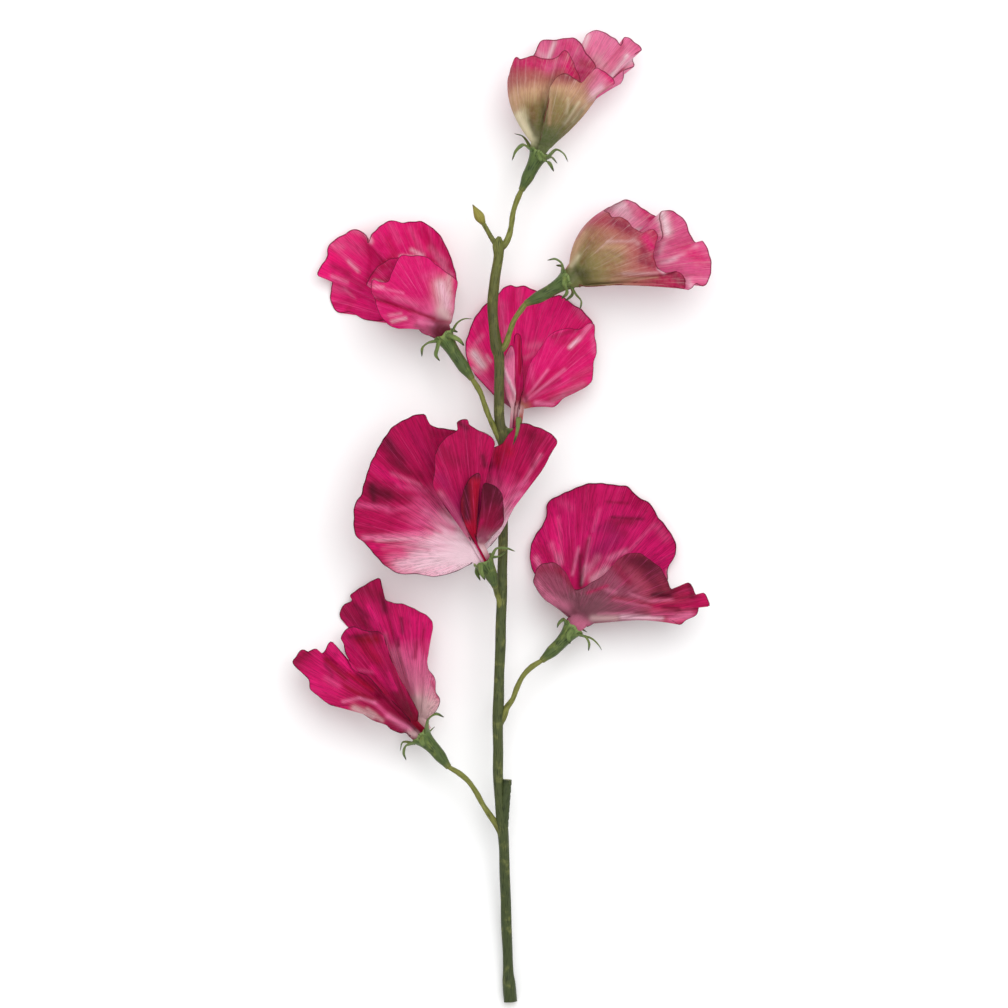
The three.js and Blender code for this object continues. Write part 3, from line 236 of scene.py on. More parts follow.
PETALS["top", "wing_right"] = dict(
    root=(0.5, 0.7, 1.5), curl=0, claw=3.2, forward=0.3,
    rim=[
        (0.5, 5.6, 6, 0.2), (1.2, 9.8, 9.8, 0.7), (2.4, 14.8, 12, 1.2), (2.8, 18.6, 13.2, 1.7),
        (4, 21, 13.9, 1.9), (6.7, 22.8, 14.4, 2.2), (9.4, 22, 13.2, 2.4), (12, 20.2, 11.5, 2.9),
        (14.3, 22.3, 11, 3.4), (16.4, 24.5, 10.1, 3.6), (19, 23.7, 7.2, 3.6),
        (22.2, 20.3, 3.1, 3.1, -1, 1), (18.1, 18.4, 0.5, 2.2, -0.4, 0.4), (16, 15, -0.7, 1.4),
        (12.4, 10.2, -1, 0.7), (8.2, 5.8, -0.7, 0.4), (4.7, 2.7, 0.5),
    ],
    stops=[
        ("green", 0), ("green", 0.16), ("olive", 0.3), ("khaki", 0.48), ("tan", 0.64),
        ("rose_brown", 0.8), ("pink", 1),
    ],
    touches=dict(
        khaki=[(4.5, 14.5, 5, 9.5, 1.8, 0.6)], rose_brown=[(3.5, 20.5, 8, 20.5, 1.2, 0.8)],
        dusk=[(6, 22, 9.5, 21.5, 1.2, 0.8)], light=[(15.5, 19, 19, 22, 1.8, 0.7)],
        hot=[(18.2, 24.2, 22, 20.4, 0.9, 0.9)], pale=[(15.5, 17, 18, 19, 1.1, 0.8)],
        cream_pink=[(14.4, 15.4, 16.2, 16.2, 0.9, 0.6)],
        cream=[
            (11.4, 14.4, 7, 8.2, 0.5, 0.6), (8.2, 15.4, 7.8, 11, 0.5, 0.4),
            (13.6, 14, 9.6, 8.8, 0.5, 0.4),
        ],
        olive=[(9.6, 13.2, 6.2, 7, 0.5, 0.6), (12.4, 12.2, 9.6, 8.2, 0.5, 0.6)],
        tan=[(3, 15.4, 2.6, 8.2, 0.7, 0.5)],
    ),
    folds=[
        (3.8, 4.4, 5.2, 17.6, 0.8, 0.4), (6, 6, 9.6, 15.4, 0.6, -0.4), (6.6, 6, 12.4, 14.6, 0.5, 0.4),
        (8.2, 6, 14.6, 14.6, 0.5, -0.35), (11.8, 17.6, 16.8, 23.4, 0.9, 0.6),
        (14, 16.2, 19, 22, 0.7, -0.5), (8.2, 20.4, 7.4, 15.4, 0.7, -0.3),
    ],
)
PETALS["top", "wing_left"] = dict(
    root=(0.5, 0.9, -1.5), curl=0, claw=1.4,
    rim=[
        (0.9, 8.6, -6.7, -1), (4.7, 17.1, -10.1, -1.9), (10.1, 27, -11.3, -2.9),
        (12.6, 32.6, -10.8, -3.4), (14.2, 35.7, -9.6, -3.6), (17, 36.5, -8.4, -3.6),
        (20.1, 35.4, -6.6, -3.6), (22.7, 33.5, -4.8, -3.6), (24.2, 32, -5.5, -3.6),
        (25.3, 34.5, -7.7, -3.1), (28.5, 32.8, -6, -2.9), (30.3, 30.5, -3.1, -2.9),
        (28.3, 29.2, -2.4, -2.9), (27.6, 27.4, -4.8, -2.6), (28.2, 25.8, -5.5, -2.4),
        (25, 24.3, -3.6, -2.4, -0.6, 0.6), (24.8, 21.7, -5.3, -2.2, -1, 1), (23.5, 20.2, -6, -1.9, -1, 1),
        (21.2, 20.9, -6, -1.9, -0.5, 0.5), (17, 16.3, -6.7, -1.7), (10.9, 9.8, -6.2, -1.2),
        (5.1, 4.1, -5, -0.5),
    ],
    stops=[("cream", 0), ("pink", 0.5), ("light", 0.8), ("light", 1)],
    touches=dict(
        cream_pink=[(17, 28, 19, 25.5, 1.8, 0.5)],
        # The second white stroke and the first pink one below lie on the ridge fold from 21.2, 22.6:
        # painted highlights.
        white_pink_and_highlight=[(14.2, 34.6, 13.2, 31.4, 0.9, 0.8), (21.2, 22.6, 26, 28.8, 0.7, 0.9)],
        pink=[(22.2, 24.2, 24.8, 27.8, 0.5, 0.4), (28, 33, 29.5, 30.5, 1.2, 0.7)],
        pale=[(25.5, 25.5, 27.5, 27.5, 1, 0.8)],
    ),
    folds=[
        (21.2, 22.6, 26, 28.8, 0.6, 0.7), (20.2, 25.2, 24.4, 31.4, 0.7, -0.5),
        (23.8, 22, 27, 27, 0.6, -0.4), (15.4, 28.8, 15, 34.4, 0.9, 0.4),
    ],
)

# %% The upper right bloom
BLOOMS["upper_right"] = dict(
    slot="petal_blush", branch_paint="branch",
    mouth=(20.4, 71.5, 14.5),
    branch=[(-1.2, 49, 15.2), (1, 51.4, 15.3), (2.2, 55, 15.6), (3.6, 58.8, 15.6), (5.6, 61.8, 15.2)],
    sleeve=[(7.4, 64, 15), (13.4, 67.1, 14.7)],
    sepals=[
        [(-1.6, 2, 1.4), (-2.4, 4.2, 1.6), (-4.4, 5.8, 0.8), (-6.8, 5.4, 0)],
        [(-0.8, 0.6, 2.8), (-1.6, -2, 4.2), (-1, -4.4, 4), (-2.6, -6.2, 3)],
        [(0.4, -2.4, 1.4), (1.6, -4.6, 1.4), (3.4, -7, 0.6), (3, -9.6, -0.4)],
        [(0, -2.4, -1.6), (0.8, -4.8, -3.2), (-1.4, -6.8, -4)],
        [(-1, 1.4, -2.6), (-2.2, 3.6, -4.6), (-4.2, 4, -6)],
    ],
)
PETALS["upper_right", "standard"] = dict(
    root=(0.2, 0.1, 0), curl=0.25, claw=3.8, flare=2.2, forward=0.6, frill=0.35,
    rim=[
        (2.7, -2, 5.5, 0.1), (4.8, -2.6, 6.5, 0.2), (10.9, -2.3, 7.2, 0.7), (17, -1.8, 7.7, 1.2),
        (21.6, -1.2, 7.7, 1.9), (26.2, -1.7, 8.6, 2.4), (30.8, -2.6, 8.4, 2.4), (34.4, -3.1, 7.2, 2.4),
        (34, 0.2, 6.2, 3.1), (32.3, 1.9, 6.5, 3.8), (29.3, 1.3, 8.4, 4.3), (26.6, 2.7, 10.1, 4.8),
        (24.9, 6.5, 10.8, 5.3), (25.6, 9.6, 11.3, 5.5), (26.1, 12.6, 10.6, 5.8), (24.9, 14.5, 10.3, 5.8),
        (21.6, 13.5, 10.6, 5.5), (19.1, 14.7, 9.8, 5), (17.4, 16.8, 9.1, 4.6), (15.5, 18, 8.4, 4.1),
        (12.9, 18.2, 6.5, 3.1, -1.4, 1.1), (11.7, 19.4, 4.3, 1.9, -2.3, 1.5),
        (10.3, 20.3, 0.7, 0.2, -2.8, 1.5), (12.4, 21.6, -4.1, -1.7, -2.3, 1.5),
        (14.7, 22.9, -6.5, -2.6, -1.2, 1.2), (17.1, 23.7, -7.4, -3.1, -0.3, 0.6), (19.5, 23, -8.2, -3.6),
        (21.4, 21.5, -9.1, -3.6), (23.7, 20, -9.6, -3.6), (25.9, 18.8, -8.9, -3.6),
        (27.3, 16.5, -8.2, -3.6), (27.7, 12.2, -7.7, -3.6), (27.7, 8, -7.2, -3.6), (25.4, 3.4, -7, -2.9),
        (18.6, 0, -6.5, -1.9), (9.4, -1.3, -6, -0.7),
    ],
    stops=[
        ("green", 0), ("olive", 0.12), ("khaki", 0.3), ("rose_brown", 0.6), ("rose", 0.8), ("crimson", 1),
    ],
    touches=dict(
        tan=[(0, 4.5, 4, 13.5, 1.2, 0.8), (10, 9, 16, 9, 1, 0.5), (12.6, -0.6, 26, 0.2, 0.5, 0.5)],
        # The dark brown stroke in the valley fold by the claw is painted shade; the cream stroke on the
        # ridge beside it is a painted highlight.
        cream=[(0.6, 3.8, 2.6, 6.6, 0.8, 0.6)], hollow_shade=[(3.6, 4.8, 5.8, 10.6, 0.8, 0.6)],
        # The dark green stroke at the foot is a painted shadow under the standard.
        dark_green_and_shadow=[(2, 2, 4.5, 1, 1.5, 0.5)], khaki=[(11, 6.5, 14, 6, 2.3, 0.7)],
        rose=[(7, 17.5, 12.5, 17, 2, 0.8)],
        dusk=[
            (13.5, 16.5, 17.5, 15, 1.6, 0.9), (16, 14.5, 19.5, 13.5, 1.7, 0.5),
            (21.5, 9, 22.5, 7, 1.5, 0.8), (21, 5, 24.5, 4, 1.2, 0.7), (30.5, 2, 33, -1.5, 1.2, 0.9),
        ],
        magenta=[(22.5, 12, 24.5, 9, 1.5, 0.9)],
        # Two of these strokes, at y 10.8 and y 1.2, lie on ridge folds: painted highlights.
        cream_pink=[
            (19, 11.2, 20.2, 10.2, 0.8, 0.4), (11.2, 10.8, 18, 10.8, 0.5, 0.4),
            (16, 1.2, 26, 1.4, 0.5, 0.4),
        ],
        # The pale stroke lies on the ridge fold from 26.4, 2.6: a painted highlight.
        pale=[(26.4, 2.6, 28, 1.4, 0.5, 0.7)], wine=[(33.6, 1.8, 34.2, -2.2, 0.5, 0.6)],
    ),
    back_stops=[("light", 0), ("light", 1)],
    back_touches=dict(
        tan=[(0, 4.5, 2, 12.5, 1.1, 0.9)], rose_brown=[(2, 12.5, 6.5, 18, 1, 0.9)],
        rose=[(6.6, 18, 10, 20, 0.8, 0.6)], pale=[(12.5, 22, 17.5, 19.5, 2.7, 0.9)],
        white_pink_and_highlight=[(13, 22.5, 16, 22.5, 1.3, 0.7), (20.2, 14.8, 23.6, 15, 0.6, 0.7)],
        pink=[(17.2, 23.6, 18.6, 22, 0.9, 0.6), (19.5, 20, 22.5, 18, 1.3, 0.7)],
        hot=[(21.5, 21.5, 24.5, 18, 1.1, 0.8), (24.5, 16, 27.5, 12.5, 1.2, 0.9)],
        magenta=[(24.6, 18, 27.4, 18, 0.9, 0.9)],
    ),
    turn=(0.56, 0.59),
    folds=[
        (0.6, 2.6, 5.8, 12.2, 0.7, 0.6), (3.2, 2.6, 7.2, 11.8, 0.7, -0.7),
        (6.6, 11.2, 8.2, 14.6, 0.7, 0.4), (7.2, 10.6, 16, 10.6, 0.7, 0.35),
        (11.2, 7.8, 16.6, 4.8, 0.5, -0.4), (16, 9.2, 22.6, 9.2, 0.9, -0.3),
        (14.2, 17, 19.2, 13.6, 0.9, 0.4), (21.2, 6.6, 24.4, 6.6, 0.5, 0.4),
        (20.6, 4.8, 25.4, 2.8, 0.7, -0.4), (5.8, 2.6, 26, 1.2, 0.5, 0.35),
        (6.6, 0.2, 29.4, 0.2, 0.5, -0.3), (26.4, 2.6, 28, 1.4, 0.5, 0.4), (13.2, 18.2, 18, 23, 0.6, 0.4),
        (16.6, 17, 21.2, 21.6, 0.5, -0.3), (20.6, 14.8, 25.4, 19, 0.5, 0.4),
        (2.6, 6.6, 3.2, 1.2, 0.6, -0.4),
    ],
)
PETALS["upper_right", "wing_right"] = dict(
    root=(0.4, 0.1, 0.4), curl=0.04, claw=3.0, frill=0.4,
    rim=[
        (7.1, 2.7, 1.4), (14.7, 5.7, 2.9), (22.4, 8, 4.8), (25.4, 10.3, 7.7, 0.7), (27.7, 11.9, 9.1, 0.5),
        (27.3, 15.3, 7.7), (27.2, 19.7, 5, -0.7), (29.3, 20.3, 3.6, -1), (31, 20.1, 2.9, -1.2),
        (33.1, 18.4, 4.1, -1.2), (34.8, 16.8, 5.3, -1.2), (35.6, 14, 4.3, -1.2), (36.8, 11.7, 2.6, -1.2),
        (38.2, 10.6, 1.9, -1.2), (39.6, 11.1, 2.9, -1.2), (41.2, 8.8, 4.8, -1.2), (42.1, 5.7, 6, -1.2),
        (42.3, 2.1, 5.3, -1.2), (41.7, -0.4, 4.1, -1.2), (40, -2.4, 4.8, -1.2), (37.8, -1.7, 6, -1.2),
        (36.5, -3.1, 5.5, -1.2), (35, -3.5, 4.8, -1.2), (34.7, -2.6, 4.1, -1.2), (34.7, -0.4, 3.6, -1.2),
        (31.6, 1.1, 1.4, -1.2), (25.4, 1.5, 0.5, -0.7), (14, 1, 0.2, -0.2),
    ],
    stops=[("olive", 0), ("rose_brown", 0.3), ("pink", 0.65), ("pink", 1)],
    touches=dict(
        # The white stroke and the first three pale strokes below lie on ridge folds: painted highlights.
        white_pink_and_highlight=[(27.5, 19, 29, 14, 1.8, 0.9)],
        light=[(26.5, 6.5, 29.5, 9, 1.3, 0.6), (34.5, 0, 40.5, -0.5, 1.2, 0.8)],
        pale=[
            (27, 7.8, 28, 10.6, 0.9, 0.5), (27.4, 4.6, 31.4, 5.8, 0.9, 0.5),
            (29.4, 4.8, 38, 9.6, 0.5, 0.5), (35.5, -1, 36.5, -3, 1, 0.6),
        ],
        hot=[(35.5, 8, 38.5, 6, 2, 0.7)], magenta=[(37.5, 6.5, 41.5, 4.5, 1.7, 0.5)],
    ),
    folds=[
        (28, 11.8, 27.6, 19.2, 0.7, 0.6), (29.4, 9.8, 30.6, 19.2, 0.7, -0.4),
        (28, 9.2, 34.6, 13.2, 0.7, -0.3), (27.6, 4.6, 38.8, 9.8, 0.5, 0.6),
        (30, 3.8, 40.8, 7.6, 0.5, -0.4), (34, 2.2, 41.8, 1.8, 0.5, 0.4),
        (34.6, 0.4, 41.8, 1.4, 0.5, -0.4), (26.6, 6.6, 27.4, 9.8, 0.5, 0.4),
        (36, -2.2, 35.6, 1.2, 0.6, 0.3),
    ],
)
PETALS["upper_right", "wing_left"] = dict(
    root=(0.4, 0.1, -0.5), curl=0.04, claw=2.4,
    rim=[
        (7.1, 3.1, -1.9, -0.2), (14, 8, -3.1, -0.7), (20.1, 12.6, -3.6, -1.2), (23.9, 14.9, -3.8, -1.4),
        (27.7, 13.4, -3.6, -1.4), (31.6, 9.6, -4.1, -1.4), (34.2, 5.7, -4.8, -1.2), (33.5, 2.7, -4.1, -1),
        (27.7, 1.9, -3.1, -0.7), (15.5, 1.1, -1.9, -0.4),
    ],
    stops=[("olive", 0), ("rose_brown", 0.5), ("pink", 0.8), ("hot", 1)],
    touches=dict(
        hot=[(24, 15, 26.5, 14, 1.7, 0.7)],
        light=[(24.5, 6.5, 26.5, 9, 1, 0.8), (27.5, 5, 31.5, 4, 1, 0.7)],
    ),
)

# %% The upper left bloom
BLOOMS["upper_left"] = dict(
    slot="petal_magenta", branch_paint="branch",
    mouth=(-17.9, 54.8, 14.2),
    branch=[(0.2, 21.5, 15), (-2, 26, 15.2), (-3.9, 30, 15.2), (-5.3, 33.8, 15.1), (-6.6, 37.4, 15)],
    sleeve=[(-9.2, 41.6, 14.8), (-13.2, 47.4, 14.3)],
    sepals=[
        [(2.4, 1.2, 0.4), (4.4, 3.2, 0.4), (6.6, 4.5, 0.4), (9, 4.5, 0)],
        [(1.8, -0.8, 2.4), (3.6, -1, 3.8), (5.2, -2, 3.6), (6.6, -3.6, 2.6)],
        [(-1.6, -2, 1.8), (-4, -2.6, 2.2), (-6, -4.2, 1.4), (-6.2, -6.8, 0)],
        [(-0.4, -2.6, 2), (-1.6, -4.4, 2.8), (-2, -6.4, 2), (-0.8, -8.2, 1)],
        [(1, 0.4, -2.8), (2.6, 1.2, -4.8), (4.6, 0.6, -6)],
    ],
)
PETALS["upper_left", "standard"] = dict(
    root=(-0.2, 0.6, -1), claw=2.6, frill=0.35,
    rim=[
        (2.7, 4.8, -1.2, 0.5), (3.5, 9.1, -1.7, 0.2), (4.2, 14.1, -2.4, -0.7), (4.1, 17.5, -3.6, -1.9),
        (2.8, 22.1, -5.3, -3.1), (1.1, 26.3, -6.5, -4.1), (-1.1, 30.1, -7.2, -4.8),
        (-3.6, 32.4, -7.9, -5.3), (-6.5, 33.9, -8.9, -5.5), (-9.7, 33.9, -10.3, -5.5),
        (-12.4, 33.5, -8.4, -5.3), (-14.9, 34.3, -6.5, -4.8), (-18.5, 32.6, -4.1, -4.3),
        (-21, 30.1, -1.7, -3.8), (-22.3, 27.6, -1.7, -3.8), (-22.7, 29.2, -6.5, -4.8),
        (-23.8, 30.5, -9.6, -5.5), (-26.3, 31.6, -10.3, -6), (-29.7, 30.1, -9.6, -6),
        (-33.8, 27.2, -10.3, -6), (-34.8, 25.5, -11.3, -6), (-34.5, 23.7, -10.1, -6),
        (-36.4, 20.8, -7.9, -6), (-37.5, 18.7, -7.2, -6), (-37.3, 17.5, -7.9, -6), (-33.8, 17, -10.3, -6),
        (-33.2, 15.4, -12, -6), (-33.9, 11.6, -13.2, -6), (-32.7, 7.9, -13.9, -6),
        (-31.4, 6.7, -13.9, -6), (-27.6, 6.7, -13.7, -5.5), (-24.2, 4.8, -14.4, -4.8),
        (-20.4, 4.1, -13.9, -4.3), (-16.2, 4.4, -12, -3.6), (-9.9, 2.7, -8.4, -1.9),
        (-4.4, 0.2, -4.3, -0.7),
    ],
    stops=[("maroon", 0), ("deep", 0.08), ("magenta", 0.22), ("hot", 0.5), ("vivid", 1)],
    touches=dict(
        # Thin strokes on ridge folds are painted highlights: the pink ones from -32.4, 25.8 and -9.8,
        # 31.8, the light one from -33.2, 17.4 and the pale one from -12.8, 23.4.
        pink=[
            (-31, 28.5, -25, 26, 2, 0.5), (-32.4, 25.8, -25.4, 19.8, 0.7, 0.6),
            (-15.8, 32.8, -13, 27.8, 0.8, 0.5), (-9.8, 31.8, -5.8, 24, 0.9, 0.6),
            (-33, 14, -30, 13.5, 1.5, 0.6),
        ],
        magenta=[(-29, 28, -26, 26, 1.3, 0.5)],
        light=[
            (-26.8, 31.2, -22.4, 29.8, 0.9, 0.6), (-34.6, 27.4, -30.2, 26.2, 0.9, 0.5),
            (-3.5, 26, 1, 21.5, 1.1, 0.6), (-1.6, 23, 3, 17.8, 0.7, 0.7), (0, 21.5, 2.5, 16.5, 1, 0.6),
            (-33.2, 17.4, -28.8, 15.8, 0.6, 0.8), (-29.4, 13.8, -26.2, 10.6, 0.5, 0.5),
        ],
        pale=[
            (-22.6, 30.2, -21.4, 27.8, 0.7, 0.8), (-28.4, 22, -25.4, 19, 0.5, 0.5),
            (-9.4, 25.4, -6, 23.8, 0.6, 0.8), (-12.8, 23.4, -6.4, 23.4, 0.5, 0.7),
        ],
        crimson_dark=[(-33, 20.5, -28.5, 18.5, 1.2, 0.6), (-28.5, 17.5, -24.5, 14.5, 1.3, 0.4)],
        # The thin crimson stroke from -32.2, 9 lies in a valley fold: painted shade.
        crimson=[
            (-20.5, 27, -20, 22.5, 2, 0.3), (-5, 31, -1, 26.5, 1.7, 0.4),
            (-32.2, 9, -27.2, 10.4, 0.9, 0.7),
        ],
        red=[
            (-16.5, 28.5, -14.5, 24.5, 1.2, 0.4), (-18, 21, -15, 23, 1.2, 0.6),
            (-6.4, 23, -2.4, 22, 0.5, 0.7), (-25.4, 10.6, -28.8, 7.6, 0.5, 0.6),
        ],
        red_dark=[(-21, 16.5, -17, 18.5, 1.7, 0.9)], vivid=[(-25, 9.5, -20, 6.5, 2, 0.9)],
    ),
    folds=[
        (-33.2, 25.8, -25.2, 19, 0.5, 0.35), (-34.2, 23.8, -25.8, 17.8, 0.5, -0.35),
        (-30.2, 26.2, -24.4, 20, 0.5, -0.3), (-26.8, 30.4, -22.4, 26.2, 0.7, 0.4),
        (-22.4, 29.4, -21.2, 23, 0.7, -0.5), (-33.2, 17.4, -25.4, 13.8, 0.6, 0.7),
        (-32.8, 18.4, -24.4, 15.8, 0.5, -0.4), (-29.2, 15.8, -25.8, 10.6, 0.5, -0.45),
        (-31.2, 8.6, -22.4, 11.8, 0.6, -0.4), (-12.6, 23.2, -5.8, 22.8, 0.5, 0.7),
        (-5.8, 22.8, 3.6, 16.8, 0.5, 0.5), (-9.8, 32.2, -5.4, 24, 0.5, 0.45),
        (-8, 32.2, -4, 24.8, 0.5, -0.45), (-11.8, 33.2, -9, 26.2, 0.6, -0.3),
        (-21.2, 21.4, -22.4, 15, 0.7, -0.9), (-17.8, 26.2, -13, 24, 0.8, -0.6),
        (-15.8, 29.2, -13, 24, 0.7, -0.5), (-19.8, 30.4, -19.2, 23, 0.8, 0.4),
        (-5, 32.2, -0.4, 22.8, 0.7, 0.4), (-3.4, 32.4, 1.6, 23, 0.6, -0.3),
        (-21.2, 7, -22.4, 11, 0.7, 0.3),
    ],
)
PETALS["upper_left", "wing_right"] = dict(
    root=(0.3, 0.3, 1.1), claw=3.0,
    rim=[
        (-2.3, -1.3, 2.9, 0.2), (-5.9, 0.2, 4.1, 0.7), (-8.2, 2.4, 5.3, 1.2), (-9.9, 2.1, 6.2, 1.7),
        (-12.5, 1.5, 7.2, 1.9), (-15.4, 2.2, 7.9, 2.4), (-17.8, 4.4, 8.4, 2.9), (-19.5, 7.4, 8.4, 3.4),
        (-20.3, 10.7, 7.7, 3.8), (-21.3, 13, 9.1, 4.3), (-20.8, 16, 9.6, 4.6), (-18.7, 15.4, 8.4, 4.6),
        (-17, 15.3, 7.7, 4.6), (-16, 16.2, 6.7, 4.6), (-14.4, 20, 5.8, 4.3), (-12.6, 23.2, 4.3, 4.1),
        (-9.7, 23.4, 3.4, 3.6), (-5.3, 23.2, 2.9, 3.1), (-1.9, 20.8, 2.4, 2.6), (1.5, 18.2, 1.7, 1.9),
        (4.4, 16.1, 0.5, 1), (3.9, 11.6, 0.5, 0.5), (3.5, 7.4, 0.5, 0.2), (2.8, 3.6, 0.7),
    ],
    stops=[("maroon", 0), ("maroon", 0.08), ("mauve", 0.15), ("pink", 0.3), ("magenta", 0.5), ("hot", 1)],
    touches=dict(
        cream_pink=[(-0.5, 14.5, 0.5, 7, 2.5, 0.9), (2, 17, 2, 11, 1, 0.7), (-0.5, 7, 2, 4.5, 1.3, 0.8)],
        pale=[
            (-0.5, 14.5, 1.5, 8.5, 1.3, 0.7), (-20.4, 14, -17.8, 13.8, 0.5, 0.5),
            (-15.8, 5.4, -12.4, 6, 0.5, 0.4),
        ],
        pink=[
            (-5.5, 17, -2.5, 18, 1.3, 0.4), (-18.4, 11.4, -7.8, 10, 0.9, 0.3),
            (-16.8, 5, -11, 5, 0.7, 0.4),
        ],
        # The first light stroke lies on a ridge fold: a painted highlight.
        light=[
            (-19.8, 13.8, -11.8, 12, 0.5, 0.5), (-13.8, 10.6, -7.8, 8.4, 0.9, 0.4),
            (-7, 3.6, -3, 3, 0.7, 0.7),
        ],
        # The dark red stroke lies in the valley fold from -20.2, 10.6: painted shade; the white stroke
        # lies on a ridge fold: a painted highlight.
        red_dark=[(-19.8, 10.4, -2.6, 4.6, 0.6, 0.8)], white_pink_and_highlight=[(-15, 3.6, -11, 4.6, 0.5, 0.5)],
        mauve=[(-7.8, 2.4, -2.6, -1.4, 0.9, 0.7)], dusk=[(-2.6, 4, 2, 3.6, 0.8, 0.7)],
    ),
    folds=[
        (-20.2, 10.6, -1.4, 4, 0.7, -0.9), (-20.2, 13, -5.8, 8.4, 0.9, 0.8),
        (-17.8, 8.4, -7.8, 5.4, 0.7, 0.4), (-15, 3.6, -7.8, 5.8, 0.5, 0.4),
        (-16.4, 5, -9, 7.2, 0.5, -0.35), (-13.8, 2.4, -7.8, 3.6, 0.5, -0.3),
        (-12.5, 22, -5.5, 11.5, 1.1, 0.4), (-9, 22, -3.6, 11.8, 0.8, -0.3),
        (-7, 3.6, -2.6, 0.6, 0.5, 0.4), (-4.4, 2.6, -1.6, -1.4, 0.5, -0.4),
        (-2.5, 18.5, 0.5, 3.5, 1.3, 0.4),
    ],
)
PETALS["upper_left", "wing_left"] = dict(
    root=(0, 0.5, 0.1), claw=2.2,
    rim=[
        (-3.6, 0.2, 0.2), (-9.5, 5.3, -2.4, 0.2), (-15.4, 10.7, -3.1, 0.5), (-20.4, 13.3, -2.4, 0.7),
        (-22.7, 14.9, -0.7, 0.7), (-22.1, 16.6, 0.7, 0.7), (-19.6, 20, 1, 0.7), (-16.2, 22.3, -0.5, 0.7),
        (-12.4, 22.9, -1.7, 0.5), (-7.8, 22.1, -2.4, 0.2), (-3.2, 18.3, -2.4), (-0.2, 13.3, -1.9),
        (1.5, 6.5, -1),
    ],
    stops=[("maroon", 0), ("crimson", 0.3), ("crimson", 0.7), ("magenta", 1)],
    touches=dict(
        red_dark=[(-20.4, 16, -17, 15.8, 0.9, 0.6), (-21, 18.5, -16.5, 21, 1.3, 0.6)],
        white_pink_and_highlight=[(-20.4, 15.8, -17.8, 15, 0.5, 0.8)], light=[(-22.4, 14.4, -20.4, 12.4, 0.7, 0.7)],
    ),
    folds=[(-21.2, 17, -14.4, 20.4, 0.8, -0.4)],
)

